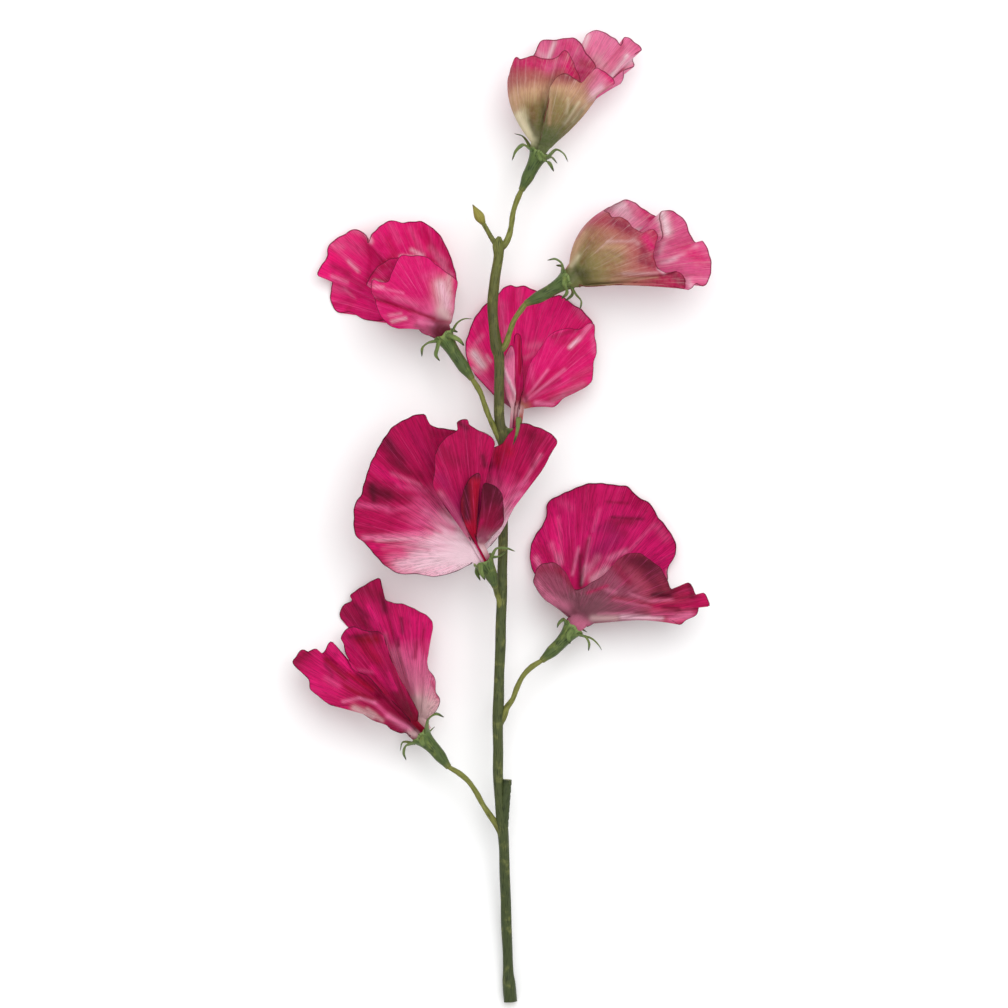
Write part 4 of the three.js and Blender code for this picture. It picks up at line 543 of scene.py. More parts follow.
# %% The rear bloom
BLOOMS["rear"] = dict(
    slot="petal_magenta", branch_paint="stem_olive",
    mouth=(4, 26.9, 10.8),
    branch=[(0.4, 6, 15), (0.8, 9.5, 14), (1.6, 13.4, 12)],
    sleeve=[(2.6, 16.6, 11.2), (3.4, 21.4, 10.8)],
    sepals=[
        [(1.2, 0.4, 2.8), (1, 2.6, 8), (0.9, 1.6, 12.6), (0.6, -1.4, 14.4), (-0.6, -5.4, 13.8)],
        [(-2.6, -0.6, -0.6), (-4.2, -1.8, -2), (-5.2, -4, -3)],
        [(2.7, -0.4, -0.6), (4.8, -1.2, -1.6), (6.2, -3.2, -2.4)],
        [(1, -0.6, -2.8), (1.8, -1.8, -4.8), (1.4, -4, -6)],
    ],
)
PETALS["rear", "standard"] = dict(
    root=(-0.2, 4.8, -1.2), claw=1.2,
    rim=[
        (-1.9, 6.4, -2.4), (-4, 7.7, -3.6, -0.2), (-6.4, 9.6, -5, -0.7), (-9.5, 12.9, -6, -1.7),
        (-12.6, 16.4, -5.5, -2.9), (-14.4, 20.1, -4.3, -3.8), (-15, 23.6, -3.6, -4.3),
        (-14.3, 27.4, -3.8, -4.8), (-12.6, 31.9, -4.8, -5.3), (-10.8, 34.9, -5.5, -5.5),
        (-8.8, 37, -6.5, -5.8), (-6.4, 39, -7.2, -5.5), (-4.6, 40.6, -6.5, -5.3), (-3.3, 42, -5.8, -5.3),
        (-1.5, 42.7, -6.5, -5.3), (0.3, 42.3, -7.9, -5.3), (2.8, 42.4, -8.6, -5.5), (5, 41.6, -7.9, -5.8),
        (7.4, 40.5, -7.2, -6), (10.5, 39.4, -7.9, -6), (13.6, 39.6, -9.1, -6), (16.5, 37.6, -9.6, -6),
        (19.6, 35.6, -8.9, -6), (21.9, 33.2, -7.9, -6), (23.5, 31.3, -8.9, -6), (23.2, 27.7, -10.3, -6),
        (23.8, 22.9, -10.8, -5.5), (22.7, 19.5, -10.8, -4.8), (22.2, 16, -10.3, -4.1),
        (20.8, 13.6, -9.6, -3.4), (17.7, 11.5, -8.9, -2.6), (13.9, 9.5, -7.9, -1.9),
        (10.5, 7.7, -6.7, -1.4), (6.7, 7.4, -5.3, -1), (3.6, 6.9, -3.6, -0.4), (1.9, 6, -2.6),
    ],
    stops=[("cream_pink", 0), ("mauve", 0.08), ("pink", 0.2), ("vivid", 0.4), ("vivid", 1)],
    touches=dict(
        white_pink_and_highlight=[(-12.5, 22, -10, 18.5, 1.6, 0.9)],
        pale=[(-12.8, 17.6, -10.6, 16.2, 0.7, 0.6), (-8.6, 21.4, -7.4, 19.8, 0.5, 0.6)],
        crimson=[
            (-7.6, 17.6, -7, 14.4, 1, 0.4), (-10.2, 31.8, -11.6, 28, 1, 0.4),
            (-1, 40.5, -1.5, 36, 1.3, 0.5), (6.6, 31.6, 6, 26.6, 1, 0.4), (2.8, 18, 3.4, 13, 1, 0.5),
        ],
        light=[
            (-12.2, 24.8, -10, 27.4, 0.8, 0.6), (-2.8, 30, -3.4, 26, 0.8, 0.6),
            (4.5, 24.5, 7.5, 24.5, 1.3, 0.5), (3, 20.8, 5.4, 22.2, 0.8, 0.5),
        ],
        pink=[
            (-10.5, 16.5, -7.5, 11, 1.3, 0.6), (-4, 37, -4, 30, 1.2, 0.6), (1.4, 41.4, 2, 34.8, 0.8, 0.5),
            (18.5, 36, 20.5, 33, 1.2, 0.8),
        ],
        magenta=[(1.5, 28.5, 4, 26, 1.2, 0.6)], pink_mauve=[(-2.4, 14.4, -1.2, 7.2, 0.8, 0.8)],
    ),
    folds=[
        (0.2, 41, 1, 30, 0.7, -0.5), (-1.8, 40, -2.4, 27.4, 0.8, 0.4), (4.6, 36.8, 6, 27.4, 0.7, -0.55),
        (7.2, 35.8, 6.6, 27.4, 0.6, 0.4), (11.2, 35.8, 10.2, 30, 0.5, 0.35),
        (9.2, 34.8, 8.6, 28.6, 0.5, -0.35), (-4.2, 36.4, -3.8, 27.4, 0.7, 0.4),
        (19, 36.4, 15.8, 31.2, 0.5, -0.4), (21, 34.2, 17.6, 30.2, 0.5, 0.3),
        (2.8, 34.2, 3.4, 27.4, 0.7, 0.3), (-9.6, 33.8, -7.6, 22.8, 0.8, -0.3),
        (-7, 16.2, -2.4, 9.8, 0.7, -0.3),
    ],
)
PETALS["rear", "wing_right"] = dict(
    root=(1.4, 5.2, 0.45), claw=1.1,
    rim=[
        (1.7, 8.4, 1.2), (2.8, 12.6, 1.9, 0.5), (3.7, 16.7, 2.4, 1.2), (4.7, 19.5, 2.6, 1.7),
        (6.7, 22.4, 2.4, 2.2), (8.4, 25, 1.9, 2.4), (10.5, 27.7, 1.2, 2.6), (12.9, 29.1, 0, 2.9),
        (15.7, 29.6, -1.2, 2.9), (19.3, 29.5, -2.9, 2.9), (22.2, 31.1, -4.8, 2.9), (23.8, 30.9, -6, 2.9),
        (23.8, 27.7, -4.8, 3.1), (24.5, 22.9, -3.6, 3.4), (23.5, 19.5, -2.4, 3.4),
        (23.3, 15.3, -1.7, 3.1), (22.2, 12.9, -1.2, 2.9), (18.8, 10.8, -0.7, 2.4), (14.6, 8.7, -0.5, 1.9),
        (11.4, 6, -0.5, 1.4), (8.4, 6.6, -0.7, 1), (5.7, 7, -0.5, 0.5), (3.3, 6.4, 0),
    ],
    stops=[("cream_pink", 0), ("rose_brown", 0.06), ("crimson", 0.14), ("hot", 0.4), ("hot", 1)],
    touches=dict(
        crimson_dark=[(11.2, 27, 18.4, 29.2, 0.7, 0.7), (6.5, 11, 13, 14, 1.1, 0.6)],
        crimson=[
            (12.5, 26, 16.5, 26, 1.6, 0.7), (13, 16.5, 17, 19, 1.3, 0.5), (17, 21, 20.5, 22, 2, 0.5),
        ],
        # The pale stroke and the first three light strokes lie on ridge folds: painted highlights.
        pale=[(16.4, 24, 19.2, 26.6, 0.6, 0.9)],
        light=[
            (19.2, 26.6, 22.8, 31, 0.7, 0.8), (2.8, 8.2, 9.6, 17, 0.5, 0.6),
            (3, 7.8, 14.8, 17.2, 0.5, 0.6), (6.2, 7.2, 11.2, 6.8, 0.8, 0.8),
        ],
        pink=[
            (23.2, 27.4, 23.8, 22.2, 0.8, 0.7), (4.4, 8.2, 17.6, 14.4, 0.5, 0.4),
            (4.6, 18.6, 5.4, 13, 0.7, 0.4),
        ],
        rose=[(11, 9, 21, 12.5, 1.4, 0.6), (17.5, 14.5, 22, 17, 1.4, 0.5)],
        pink_mauve=[(14.4, 9.8, 20.2, 12.8, 1, 0.4), (11.2, 7.8, 14.4, 9.4, 0.7, 0.6)],
        dusk=[(2, 11.8, 3.4, 7.8, 0.7, 0.8)],
    ),
    folds=[
        (16.4, 23.6, 22.8, 31, 0.6, 0.9), (14.8, 24.4, 19.2, 28.6, 0.7, -0.7),
        (17.4, 22.2, 23.6, 27.4, 0.6, -0.4), (2.8, 8.2, 9.8, 17.2, 0.5, 0.4),
        (3.4, 7.8, 15, 17.6, 0.5, 0.4), (3, 8.2, 12.4, 17.6, 0.5, -0.35),
        (4.6, 7.8, 19.2, 14.4, 0.5, -0.5), (6, 7.2, 22.2, 13.6, 0.6, 0.4),
        (11.2, 26.8, 18.4, 29.2, 0.5, 0.5), (3.4, 9.2, 6, 18.8, 0.5, 0.4),
        (4.6, 9.8, 7.6, 17.6, 0.5, -0.3),
    ],
)
PETALS["rear", "wing_left"] = dict(
    root=(-0.8, 5.2, 1.3), claw=1.0,
    rim=[
        (-2, 7.4, 1.4), (-2.8, 9.8, 1, 0.4), (-3.4, 14.3, 0.5, 1), (-3.7, 17.7, 0, 1.2),
        (-3.3, 20.8, -0.7, 1.4), (-2.2, 23.2, -1.2, 1.4), (-1.1, 24.6, -1.2, 1.2), (-0.4, 22.9, -0.5, 1),
        (-0.2, 17.7, 0.7, 0.7), (0, 12.6, 1.2, 0.4), (0.2, 8.1, 1.2),
    ],
    stops=[("cream_pink", 0), ("pink_mauve", 0.3), ("light", 0.7), ("light", 1)],
    touches=dict(
        mauve=[(-3.2, 20.8, -0.6, 22.2, 1, 0.4)],
        # Both base_pink strokes lie on the ridge fold from -3.4, 17.6: painted highlights.
        base_pink=[(-3.4, 17.6, -1.8, 13.6, 0.5, 0.7), (-1.8, 13.6, 0.6, 8.8, 0.5, 0.7)],
    ),
    folds=[(-3.4, 17.6, 0.6, 8.8, 0.5, 0.5), (-2.2, 13, -0.8, 7.2, 0.5, -0.4)],
)
PETALS["rear", "keel"] = dict(
    root=(0.2, 4.9, -0.35), claw=0.8,
    rim=[
        (0, 8.4, -1), (-0.2, 14.3, -1.7, -0.4), (-0.4, 21.2, -2.6, -0.7), (-0.3, 26.3, -3.4, -1),
        (0.2, 28.2, -3.6, -1), (1.1, 28.2, -3.6, -1), (1.7, 26.7, -3.1, -1), (2, 22.2, -2.4, -0.7),
        (2.3, 17, -1.9, -0.6), (2.5, 12.6, -1.7, -0.4), (1.5, 8.1, -1.1),
    ],
    stops=[("cream_pink", 0), ("rose", 0.15), ("magenta", 0.35), ("hot", 1)],
    touches=dict(
        # The red stroke lies in the valley fold: painted shade.
        red=[(1, 27.4, 1.4, 16.2, 0.7, 0.7)],
    ),
    folds=[(1, 26, 1.8, 9.8, 0.5, -0.4)],
)

# %% The centre bloom
BLOOMS["centre"] = dict(
    slot="petal_crimson", branch_paint="stem",
    mouth=(-5.9, -12.6, 24.5),
    branch=[(0, -28.5, 15.4), (-0.9, -25, 16.6), (-1.7, -22.6, 18.4)],
    sleeve=[(-2.1, -20.8, 20.4), (-3.6, -16.8, 23.2)],
    sepals=[
        [(2, 1, 1.4), (4.2, 3, 1.8), (7.2, 3.2, 1.2), (9.8, 2.2, 0.6)],
        [(2.4, 0.4, -1), (5.2, 0.8, -2.2), (7.6, 2.6, -3)],
        [(-0.6, -1.6, 2.6), (-0.4, -4, 3.8), (0.8, -6.4, 3)],
        [(-1.6, -1.6, -2.2), (-1.8, -4, -4), (-0.6, -6.6, -4.6)],
        [(-0.4, -1.2, -2.8), (-1.4, -3, -4.2), (-1, -5.4, -4.6)],
    ],
)
PETALS["centre", "standard"] = dict(
    root=(-1.1, 0.9, -1.4), claw=2.6, frill=0.3, pleats=0.09,
    rim=[
        (-3.2, -1.4, -1.4), (-6, -3, -1.9, -0.2), (-9.6, -4.4, -2.4, -0.7), (-14.2, -5.4, -2.9, -1.2),
        (-19.7, -4.6, -2.4, -1.7), (-25.3, -4.4, -1.9, -2.4), (-28.9, -2.2, -1.4, -2.9),
        (-32.2, 1.1, -1.2, -3.4), (-34.9, 4.4, -0.7, -3.8), (-37.7, 6.7, 0, -4.1),
        (-38.5, 11.3, 0.5, -4.3), (-37.9, 16.8, 0.5, -4.6), (-36.3, 19.1, 0, -4.8),
        (-34.8, 24.6, 0.5, -4.8), (-32.7, 30.1, 0.7, -4.8), (-29.4, 36, 0.2, -5), (-27.3, 38.9, -0.5, -5),
        (-23, 41.8, -1.7, -5), (-17.4, 43.3, -2.4, -5), (-16.6, 41.9, -3.1, -5), (-15.5, 40, -4.1, -5),
        (-11.5, 39, -5.5, -4.8), (-7.3, 38.1, -6.5, -4.3), (-3.2, 35.5, -7.2, -3.6),
        (0.9, 32.4, -6.7, -2.6), (3.7, 33.5, -5.5, -1.4), (6.1, 34.6, -4.3, -0.5), (8.3, 37.7, -3.6),
        (11, 40.4, -3.1, 0.2), (16.1, 39.6, -1.7, 0.5), (22.4, 35.5, 0.7, 0.7), (20.7, 31.7, 0.5, 1),
        (17, 25.3, -0.2, 1.2), (12.9, 21.1, -0.7, 1.2), (10.6, 17.4, -1, 1), (8.4, 13.3, -1.2, 0.7),
        (6.9, 10.1, -1.4, 0.5), (5.1, 7.1, -1.4, 0.2), (2.5, 3.9, -1.4),
    ],
    stops=[
        ("base_pink", 0), ("base_pink", 0.12), ("pale", 0.28), ("pink", 0.42), ("crimson", 0.6),
        ("crimson", 1),
    ],
    touches=dict(
        base_pink=[(-18.5, -1.5, -10, 3, 4.7, 0.9)],
        pale=[
            # The second pale stroke lies on the ridge fold from -5, 4.5 to -36, 6: a painted highlight.
            (-24, -1.5, -12.5, 4.5, 3, 0.8), (-31.6, 5.4, -18.6, 6.2, 0.6, 0.6),
            (-29.8, 3, -18.6, 4.8, 0.6, 0.3),
        ],
        pink_mauve=[(-27, 0.5, -21, 3, 1.5, 0.6), (-28.4, 4.2, -16, 2.6, 0.6, 0.5)],
        light=[
            (-35.4, 6.2, -15.2, 7.6, 0.8, 0.8), (-17, 14, -9, 9, 1.5, 0.7),
            (-27.2, 25.4, -18.6, 22, 0.6, 0.5), (6, 16, 11.2, 19.4, 0.9, 0.8),
            (17.6, 31, 12, 22, 0.6, 0.6),
        ],
        pink=[
            (-18.6, 11.6, -12.6, 8.2, 0.9, 0.5), (-38, 16.2, -28.4, 15.2, 0.8, 0.8),
            (-28.4, 14.2, -18.6, 16, 0.9, 0.5), (-28.5, 0, -23, 1, 1.1, 0.5),
            (-25.4, 22, -16.8, 20.2, 0.9, 0.6), (-22, 18.4, -16, 16.8, 0.7, 0.5),
            (8, 20.2, 13.2, 22.8, 0.9, 0.8),
        ],
        crimson=[(-37.5, 11.5, -24, 10, 2, 0.9), (0.5, 23, 5.5, 18.5, 1.5, 0.6)],
        crimson_dark=[
            (-37.5, 9.5, -30, 8, 1, 0.5), (-24, 27.5, -18.5, 24.5, 1.3, 0.7),
            (-28.5, 19.5, -22, 18, 1.5, 0.8), (-15, 37.5, -9, 37.5, 1.3, 0.6),
            (13.5, 38, 17.5, 35.5, 2.4, 0.8),
        ],
        hot=[(-32.5, 4, -24.5, 2.5, 1.5, 0.6), (-32.5, 27.5, -24, 22, 1.3, 0.7)],
        magenta=[(-25.4, 9.4, -15.2, 9, 0.9, 0.5), (3, 26, 8, 23.5, 1.7, 0.6)],
        blotch=[
            (-33, 20.5, -28.5, 19, 2.4, 1), (-28.5, 34.5, -24.5, 29.5, 2.2, 0.8),
            (-28, 29.5, -22, 25.5, 1.1, 0.6), (15, 37.4, 15, 28, 0.9, 0.5),
        ],
        wine=[(-33, 22, -32.5, 17.5, 1.1, 0.8), (-28.5, 36, -27, 32.5, 1.2, 0.5)],
        plum=[(-21, 37.5, -15, 29, 1.7, 0.3)],
        red=[(4.5, 36.5, 8, 32, 1.9, 0.8), (4, 32, 5, 29, 1.5, 0.8)], deep=[(0.5, 29.5, 2, 28, 1.5, 0.9)],
    ),
    folds=[
        (-5, 4.5, -36, 6, 1.1, 0.7), (-5.5, 6, -37.5, 11, 1, -0.6), (-6.5, 7.5, -38, 16.5, 1, 0.5),
        (-7.5, 9, -35, 20.5, 1.1, -0.7), (-8.5, 11, -33, 28, 1.1, 0.6), (-9, 12.5, -28.5, 35, 1.1, -0.7),
        (-11, 16, -24, 39, 1.1, 0.5), (-12.6, 22, -17.8, 39.2, 0.9, -0.5),
        (-5.6, 3.8, -31.6, 1.8, 0.9, -0.5), (-5.5, 2.5, -25.5, -1.5, 1, 0.5),
        (6.5, 13.5, 13.5, 38.5, 1.1, -0.7), (5.5, 16, 9, 36.5, 1, 0.5), (6.8, 13.4, 17.6, 34, 0.9, 0.5),
        (4.6, 22, 3.8, 33.2, 0.9, -0.7),
    ],
)
PETALS["centre", "wing_left"] = dict(
    root=(-1.8, 2.3, -0.45), claw=2.0, pleats=0.05,
    rim=[
        (-3.7, 6, 1), (-6, 9.2, 2.2, 0.2), (-10.3, 14.5, 3.6, 0.7), (-13.3, 19.1, 4.3, 1.2),
        (-14.7, 21.8, 4.8, 1.4), (-14.2, 26.9, 4.8, 1.9), (-13.9, 31.9, 4.1, 2.2),
        (-11.5, 35.7, 3.1, 2.2), (-9, 37.7, 2.4, 2.2), (-7.3, 38.7, 1.9, 2.2), (-7.5, 41, 1.2, 2.2),
        (-4.5, 41.7, 0.5, 1.9), (-3.9, 40, 0, 1.9), (-1.1, 38.5, -0.7, 1.7), (2.5, 36.6, -1.2, 1.4),
        (3.7, 34.2, -1.4, 1.2), (1.4, 33.2, -1.2, 1.2), (-0.6, 31.5, -0.5, 1.2), (-0.6, 29.2, 0.2, 1.2),
        (-0.2, 25.5, 0.7, 1), (0, 19.1, 1, 0.7), (-0.2, 12.6, 1, 0.5), (-0.7, 7.1, 1, 0.2),
    ],
    stops=[
        ("base_pink", 0), ("pale", 0.06), ("pink_mauve", 0.14), ("plum", 0.3), ("crimson", 0.55),
        ("crimson", 1),
    ],
    touches=dict(
        pink_mauve=[(-12.5, 19.5, -4, 8, 1, 0.6)],
        plum=[(-11, 17.5, -7.5, 12.5, 1.7, 0.5), (-12.5, 24.5, -11, 22, 1.7, 0.6)],
        crimson_dark=[(-12.5, 32.5, -8.5, 29, 2.2, 0.7), (-5.5, 37.5, -4, 28, 1, 0.4)],
        wine=[(-7, 40.8, -4.8, 39, 0.9, 0.9)], deep=[(0, 30.6, 0.8, 28, 0.9, 0.8)],
    ),
    folds=[
        (-4, 7.5, -6.5, 38.5, 1.1, 0.6), (-5, 9, -11, 35, 1.3, -0.35), (-3, 10.8, -3, 37.4, 0.9, -0.5),
        (-4, 9, -13.4, 22, 0.8, 0.3), (-5.6, 39.6, -6.2, 36.2, 0.7, -0.5),
    ],
)
PETALS["centre", "wing_right"] = dict(
    root=(-0.8, 2.8, 1.55), curl=0.03, claw=2.0, pleats=0.05,
    rim=[
        (-1.8, 6, 3.1), (-1.1, 10.8, 4.3, 0.7), (-0.2, 16.3, 5, 1.4), (-0.1, 20, 5.3, 1.7),
        (0.6, 22.5, 5, 1.9), (2.8, 22.2, 5.5, 2.2), (5.1, 20.7, 5, 2.2), (6.1, 17.7, 3.8, 1.9),
        (6.4, 13.5, 2.6, 1.4), (6.1, 10.3, 1.7, 0.7), (4.6, 8.5, 1.4, 0.4), (2.1, 6, 1.7),
    ],
    stops=[
        ("base_pink", 0), ("cream_pink", 0.08), ("mauve", 0.2), ("crimson_dark", 0.4), ("deep", 0.7),
        ("wine", 1),
    ],
    touches=dict(
        crimson_dark=[(1, 11.5, 4, 15, 1.5, 0.6)], mauve=[(-0.5, 5, 6, 9, 1.3, 0.8)],
        cream_pink=[(2, 6.4, 5.6, 8.6, 0.6, 0.3)], crimson=[(-2.2, 7.4, 0, 11.6, 0.6, 0.8)],
        red=[(-1.4, 18.4, -1.4, 13.4, 0.9, 0.7)],
    ),
    folds=[(-1.8, 5.6, 3, 19.4, 0.9, 0.5), (-1, 5.6, 5, 16, 0.8, -0.4), (-1.8, 7.4, 0.4, 22, 0.7, -0.3)],
)
PETALS["centre", "keel"] = dict(
    root=(-1.5, 3.2, 0.55), curl=0.03, claw=1.1, pleats=0.04,
    rim=[
        (-3.1, 6, 2.9), (-4.8, 9.4, 3.6, 0.4), (-6.2, 13.5, 4.3, 0.7), (-6.3, 16.8, 5.3, 1),
        (-5.6, 20.4, 6.2, 1.2), (-3.7, 24, 6.7, 1.2), (-1.4, 25.8, 6, 1), (-0.6, 24.6, 4.8, 0.5),
        (-1.1, 21.8, 4.3), (-3.7, 18.1, 4.1, -0.2), (-3.2, 15.4, 3.6, -0.2), (-2.9, 11.3, 3.1, -0.1),
        (-2.2, 7.1, 2.6),
    ],
    stops=[("crimson", 0), ("red", 0.2), ("red", 1)],
    touches=dict(
        wine=[(-5, 22, -4.5, 12.5, 1.7, 1)], deep=[(-4, 25, -1, 25, 1.3, 0.9)],
    ),
    folds=[(-2.6, 5.6, -4.4, 22.8, 0.8, -0.5), (-2.2, 5.6, -2.2, 22, 0.5, 0.5)],
)

# %% The lower right bloom
BLOOMS["lower_right"] = dict(
    slot="petal_crimson", branch_paint="branch",
    mouth=(21.8, -33, 11),
    branch=[
        (-1.2, -63, 14), (0.6, -59.8, 14.2), (1.4, -57.4, 14.2), (3.2, -54.8, 14), (4.4, -51.6, 13.8),
        (6.2, -48, 13.6), (8.6, -45.4, 13.3),
    ],
    sleeve=[(12.2, -43, 12.6), (17.4, -38.2, 11.4)],
    sepals=[
        [(-2, 1.4, 1.6), (-3.2, 2.2, 1.8), (-4.8, 1, 1), (-5.3, -0.4, 0)],
        [(-1, -1.2, 2.6), (-1.8, -2.8, 4.2), (-1.4, -5.2, 4.4)],
        [(1.6, -2, 1.6), (3.3, -3.2, 2), (4.4, -5, 1.4), (4.2, -7.4, 0.4)],
        [(2, -1.6, 0.2), (5, -3.6, 0), (7.2, -5.6, -0.8), (8.2, -7.2, -1.6)],
        [(0.4, 0.2, -2.9), (1.8, -0.6, -4.8), (3.8, -1.8, -5.6)],
    ],
)
PETALS["lower_right", "standard"] = dict(
    root=(0.2, 1.4, -0.7), claw=2.4, pleats=0.1,
    rim=[
        (-2.6, 5.3, -2.9, -0.2), (-6.8, 9.1, -4.8, -1), (-10.4, 13.3, -6.5, -1.9),
        (-12.4, 16.6, -7.2, -2.6), (-13.4, 20, -7.2, -3.4), (-13, 24.2, -7.2, -4.1),
        (-11.9, 27.2, -7.7, -4.8), (-9.6, 30.3, -8.4, -5.3), (-8.3, 33.9, -9.1, -5.8),
        (-8.2, 36.7, -9.6, -6), (-6.8, 38.3, -9.6, -6.2), (-2.6, 40.2, -9.6, -6.7),
        (1.6, 42.1, -10.3, -7), (6.3, 43.1, -11, -7.2), (11.7, 42.5, -10.3, -7.2),
        (15.7, 42.1, -9.6, -7.2), (18.6, 39.4, -9.1, -7), (23.1, 36.4, -8.4, -6.7),
        (25.3, 32.6, -8.2, -6.5), (28.1, 29.3, -7.7, -6.2), (30.2, 25.5, -6.7, -6),
        (30.6, 22.3, -6.5, -5.5), (29.6, 20, -7.7, -5.3), (28.2, 17.5, -8.4, -4.8),
        (28, 14.1, -8.4, -4.1), (25.2, 10.3, -7.7, -3.1), (18.4, 6.9, -6, -1.9), (10, 4.8, -4.3, -1),
        (4.1, 2.3, -2.6, -0.2),
    ],
    stops=[("crimson_dark", 0), ("crimson", 0.15), ("magenta", 0.4), ("magenta", 0.8), ("crimson", 1)],
    touches=dict(
        # Thin pale, light and pink strokes on ridge folds are painted highlights: those from 2.2, 12.6,
        # 3.4, 18, -0.6, 15.6, -5, 32.6, 5.6, 28.6 and 16.6, 22.8.
        pale=[
            (2.2, 12.6, 3.4, 18, 0.5, 0.8), (5.5, 14, 9.5, 17, 1.3, 0.6), (28, 16.8, 28.2, 14, 0.5, 0.4),
        ],
        light=[
            (3.4, 18, 4.6, 26.6, 0.5, 0.6), (2.8, 15.6, 4.8, 18, 0.9, 0.6),
            (-0.6, 15.6, 1.2, 23.4, 0.5, 0.7), (-5, 32.6, -3.8, 19.6, 0.5, 0.5),
            (-6.5, 24.5, -4.5, 19, 1, 0.8), (-11.6, 20.4, -10, 16.4, 0.9, 0.8),
            (10.4, 20.4, 15.4, 22.6, 0.9, 0.7), (8.8, 18, 12, 20.4, 0.9, 0.4),
        ],
        pink=[
            (5.6, 28.6, 7.6, 35.2, 0.5, 0.6), (-4, 37.5, -1, 35.5, 1.2, 0.3),
            (16.6, 22.8, 24, 30.6, 0.5, 0.6), (25, 30, 27.5, 26.5, 1.4, 0.4),
        ],
        # Both wine strokes and the dark crimson one from 9.6, 37.4 lie in valley folds: painted shade.
        wine=[(1.8, 12.2, 1.8, 21.2, 0.8, 0.8), (11.2, 32.8, 20.6, 32.2, 0.5, 0.8)],
        crimson_dark=[
            (2.2, 20.4, 4, 25.8, 0.9, 0.7), (-1, 17.2, -0.6, 22, 0.9, 0.4), (2.5, 37.5, 4, 32.5, 1, 0.4),
            (10.5, 31, 17.5, 31.5, 1.4, 0.8), (10.5, 29, 15, 28, 1.6, 0.7),
            (9.6, 37.4, 16.2, 37, 0.5, 0.8),
        ],
        crimson=[
            (-2.2, 20.4, -0.6, 25.8, 0.9, 0.7), (1, 29, 1.5, 35.5, 1.2, 0.6),
            (-11, 24.5, -7.5, 21, 1.2, 0.8), (4, 40, 5.5, 35.5, 2, 0.6),
        ],
        vivid=[(-6, 31.5, -5, 23.5, 1.8, 0.8)],
        plum=[(6.5, 22, 12, 26.5, 2.7, 0.8), (7, 29, 10.5, 30, 1.6, 0.6)],
        pink_mauve=[(4, 16.5, 7, 20.5, 1.2, 0.6)],
        hot=[(23.5, 23.5, 27, 20, 2, 0.7), (7.5, 42, 15, 41, 1.2, 0.6)],
    ),
    folds=[
        (9.6, 37.4, 16.2, 37, 0.5, -0.5), (9.6, 38.4, 16.6, 38, 0.5, 0.4),
        (11.2, 32.8, 20.8, 32.2, 0.5, -0.6), (11.2, 33.8, 19.8, 33.4, 0.5, 0.5),
        (1.8, 11.8, 1.6, 26.6, 0.9, -1.2), (2.8, 12.2, 5.6, 28.6, 0.7, 0.9),
        (5.6, 28.6, 8, 36.8, 0.6, 0.4), (-0.6, 15.2, 1.4, 24.2, 0.5, 0.7),
        (0.6, 23.4, 0.2, 35.2, 0.8, -0.4), (-4.6, 32.6, -3.8, 18.4, 0.8, 0.6),
        (-2.6, 33.6, -1.4, 18, 0.9, -0.6), (-7, 31.4, -5.8, 20, 0.8, -0.4),
        (-8.4, 29, -7.4, 19.6, 0.6, 0.4), (-10.4, 23.4, -8, 18.8, 0.6, -0.35),
        (16.6, 22.6, 24.4, 31, 0.7, 0.7), (19.8, 22.4, 27.2, 28.6, 0.8, -0.4),
        (9, 18, 17.5, 28, 1.2, 0.3), (13.4, 40.4, 15.8, 32.8, 0.7, 0.3),
        (16.6, 37.6, 18.6, 32.6, 0.5, -0.3), (24.4, 22, 28.4, 23.4, 0.6, 0.4),
    ],
)
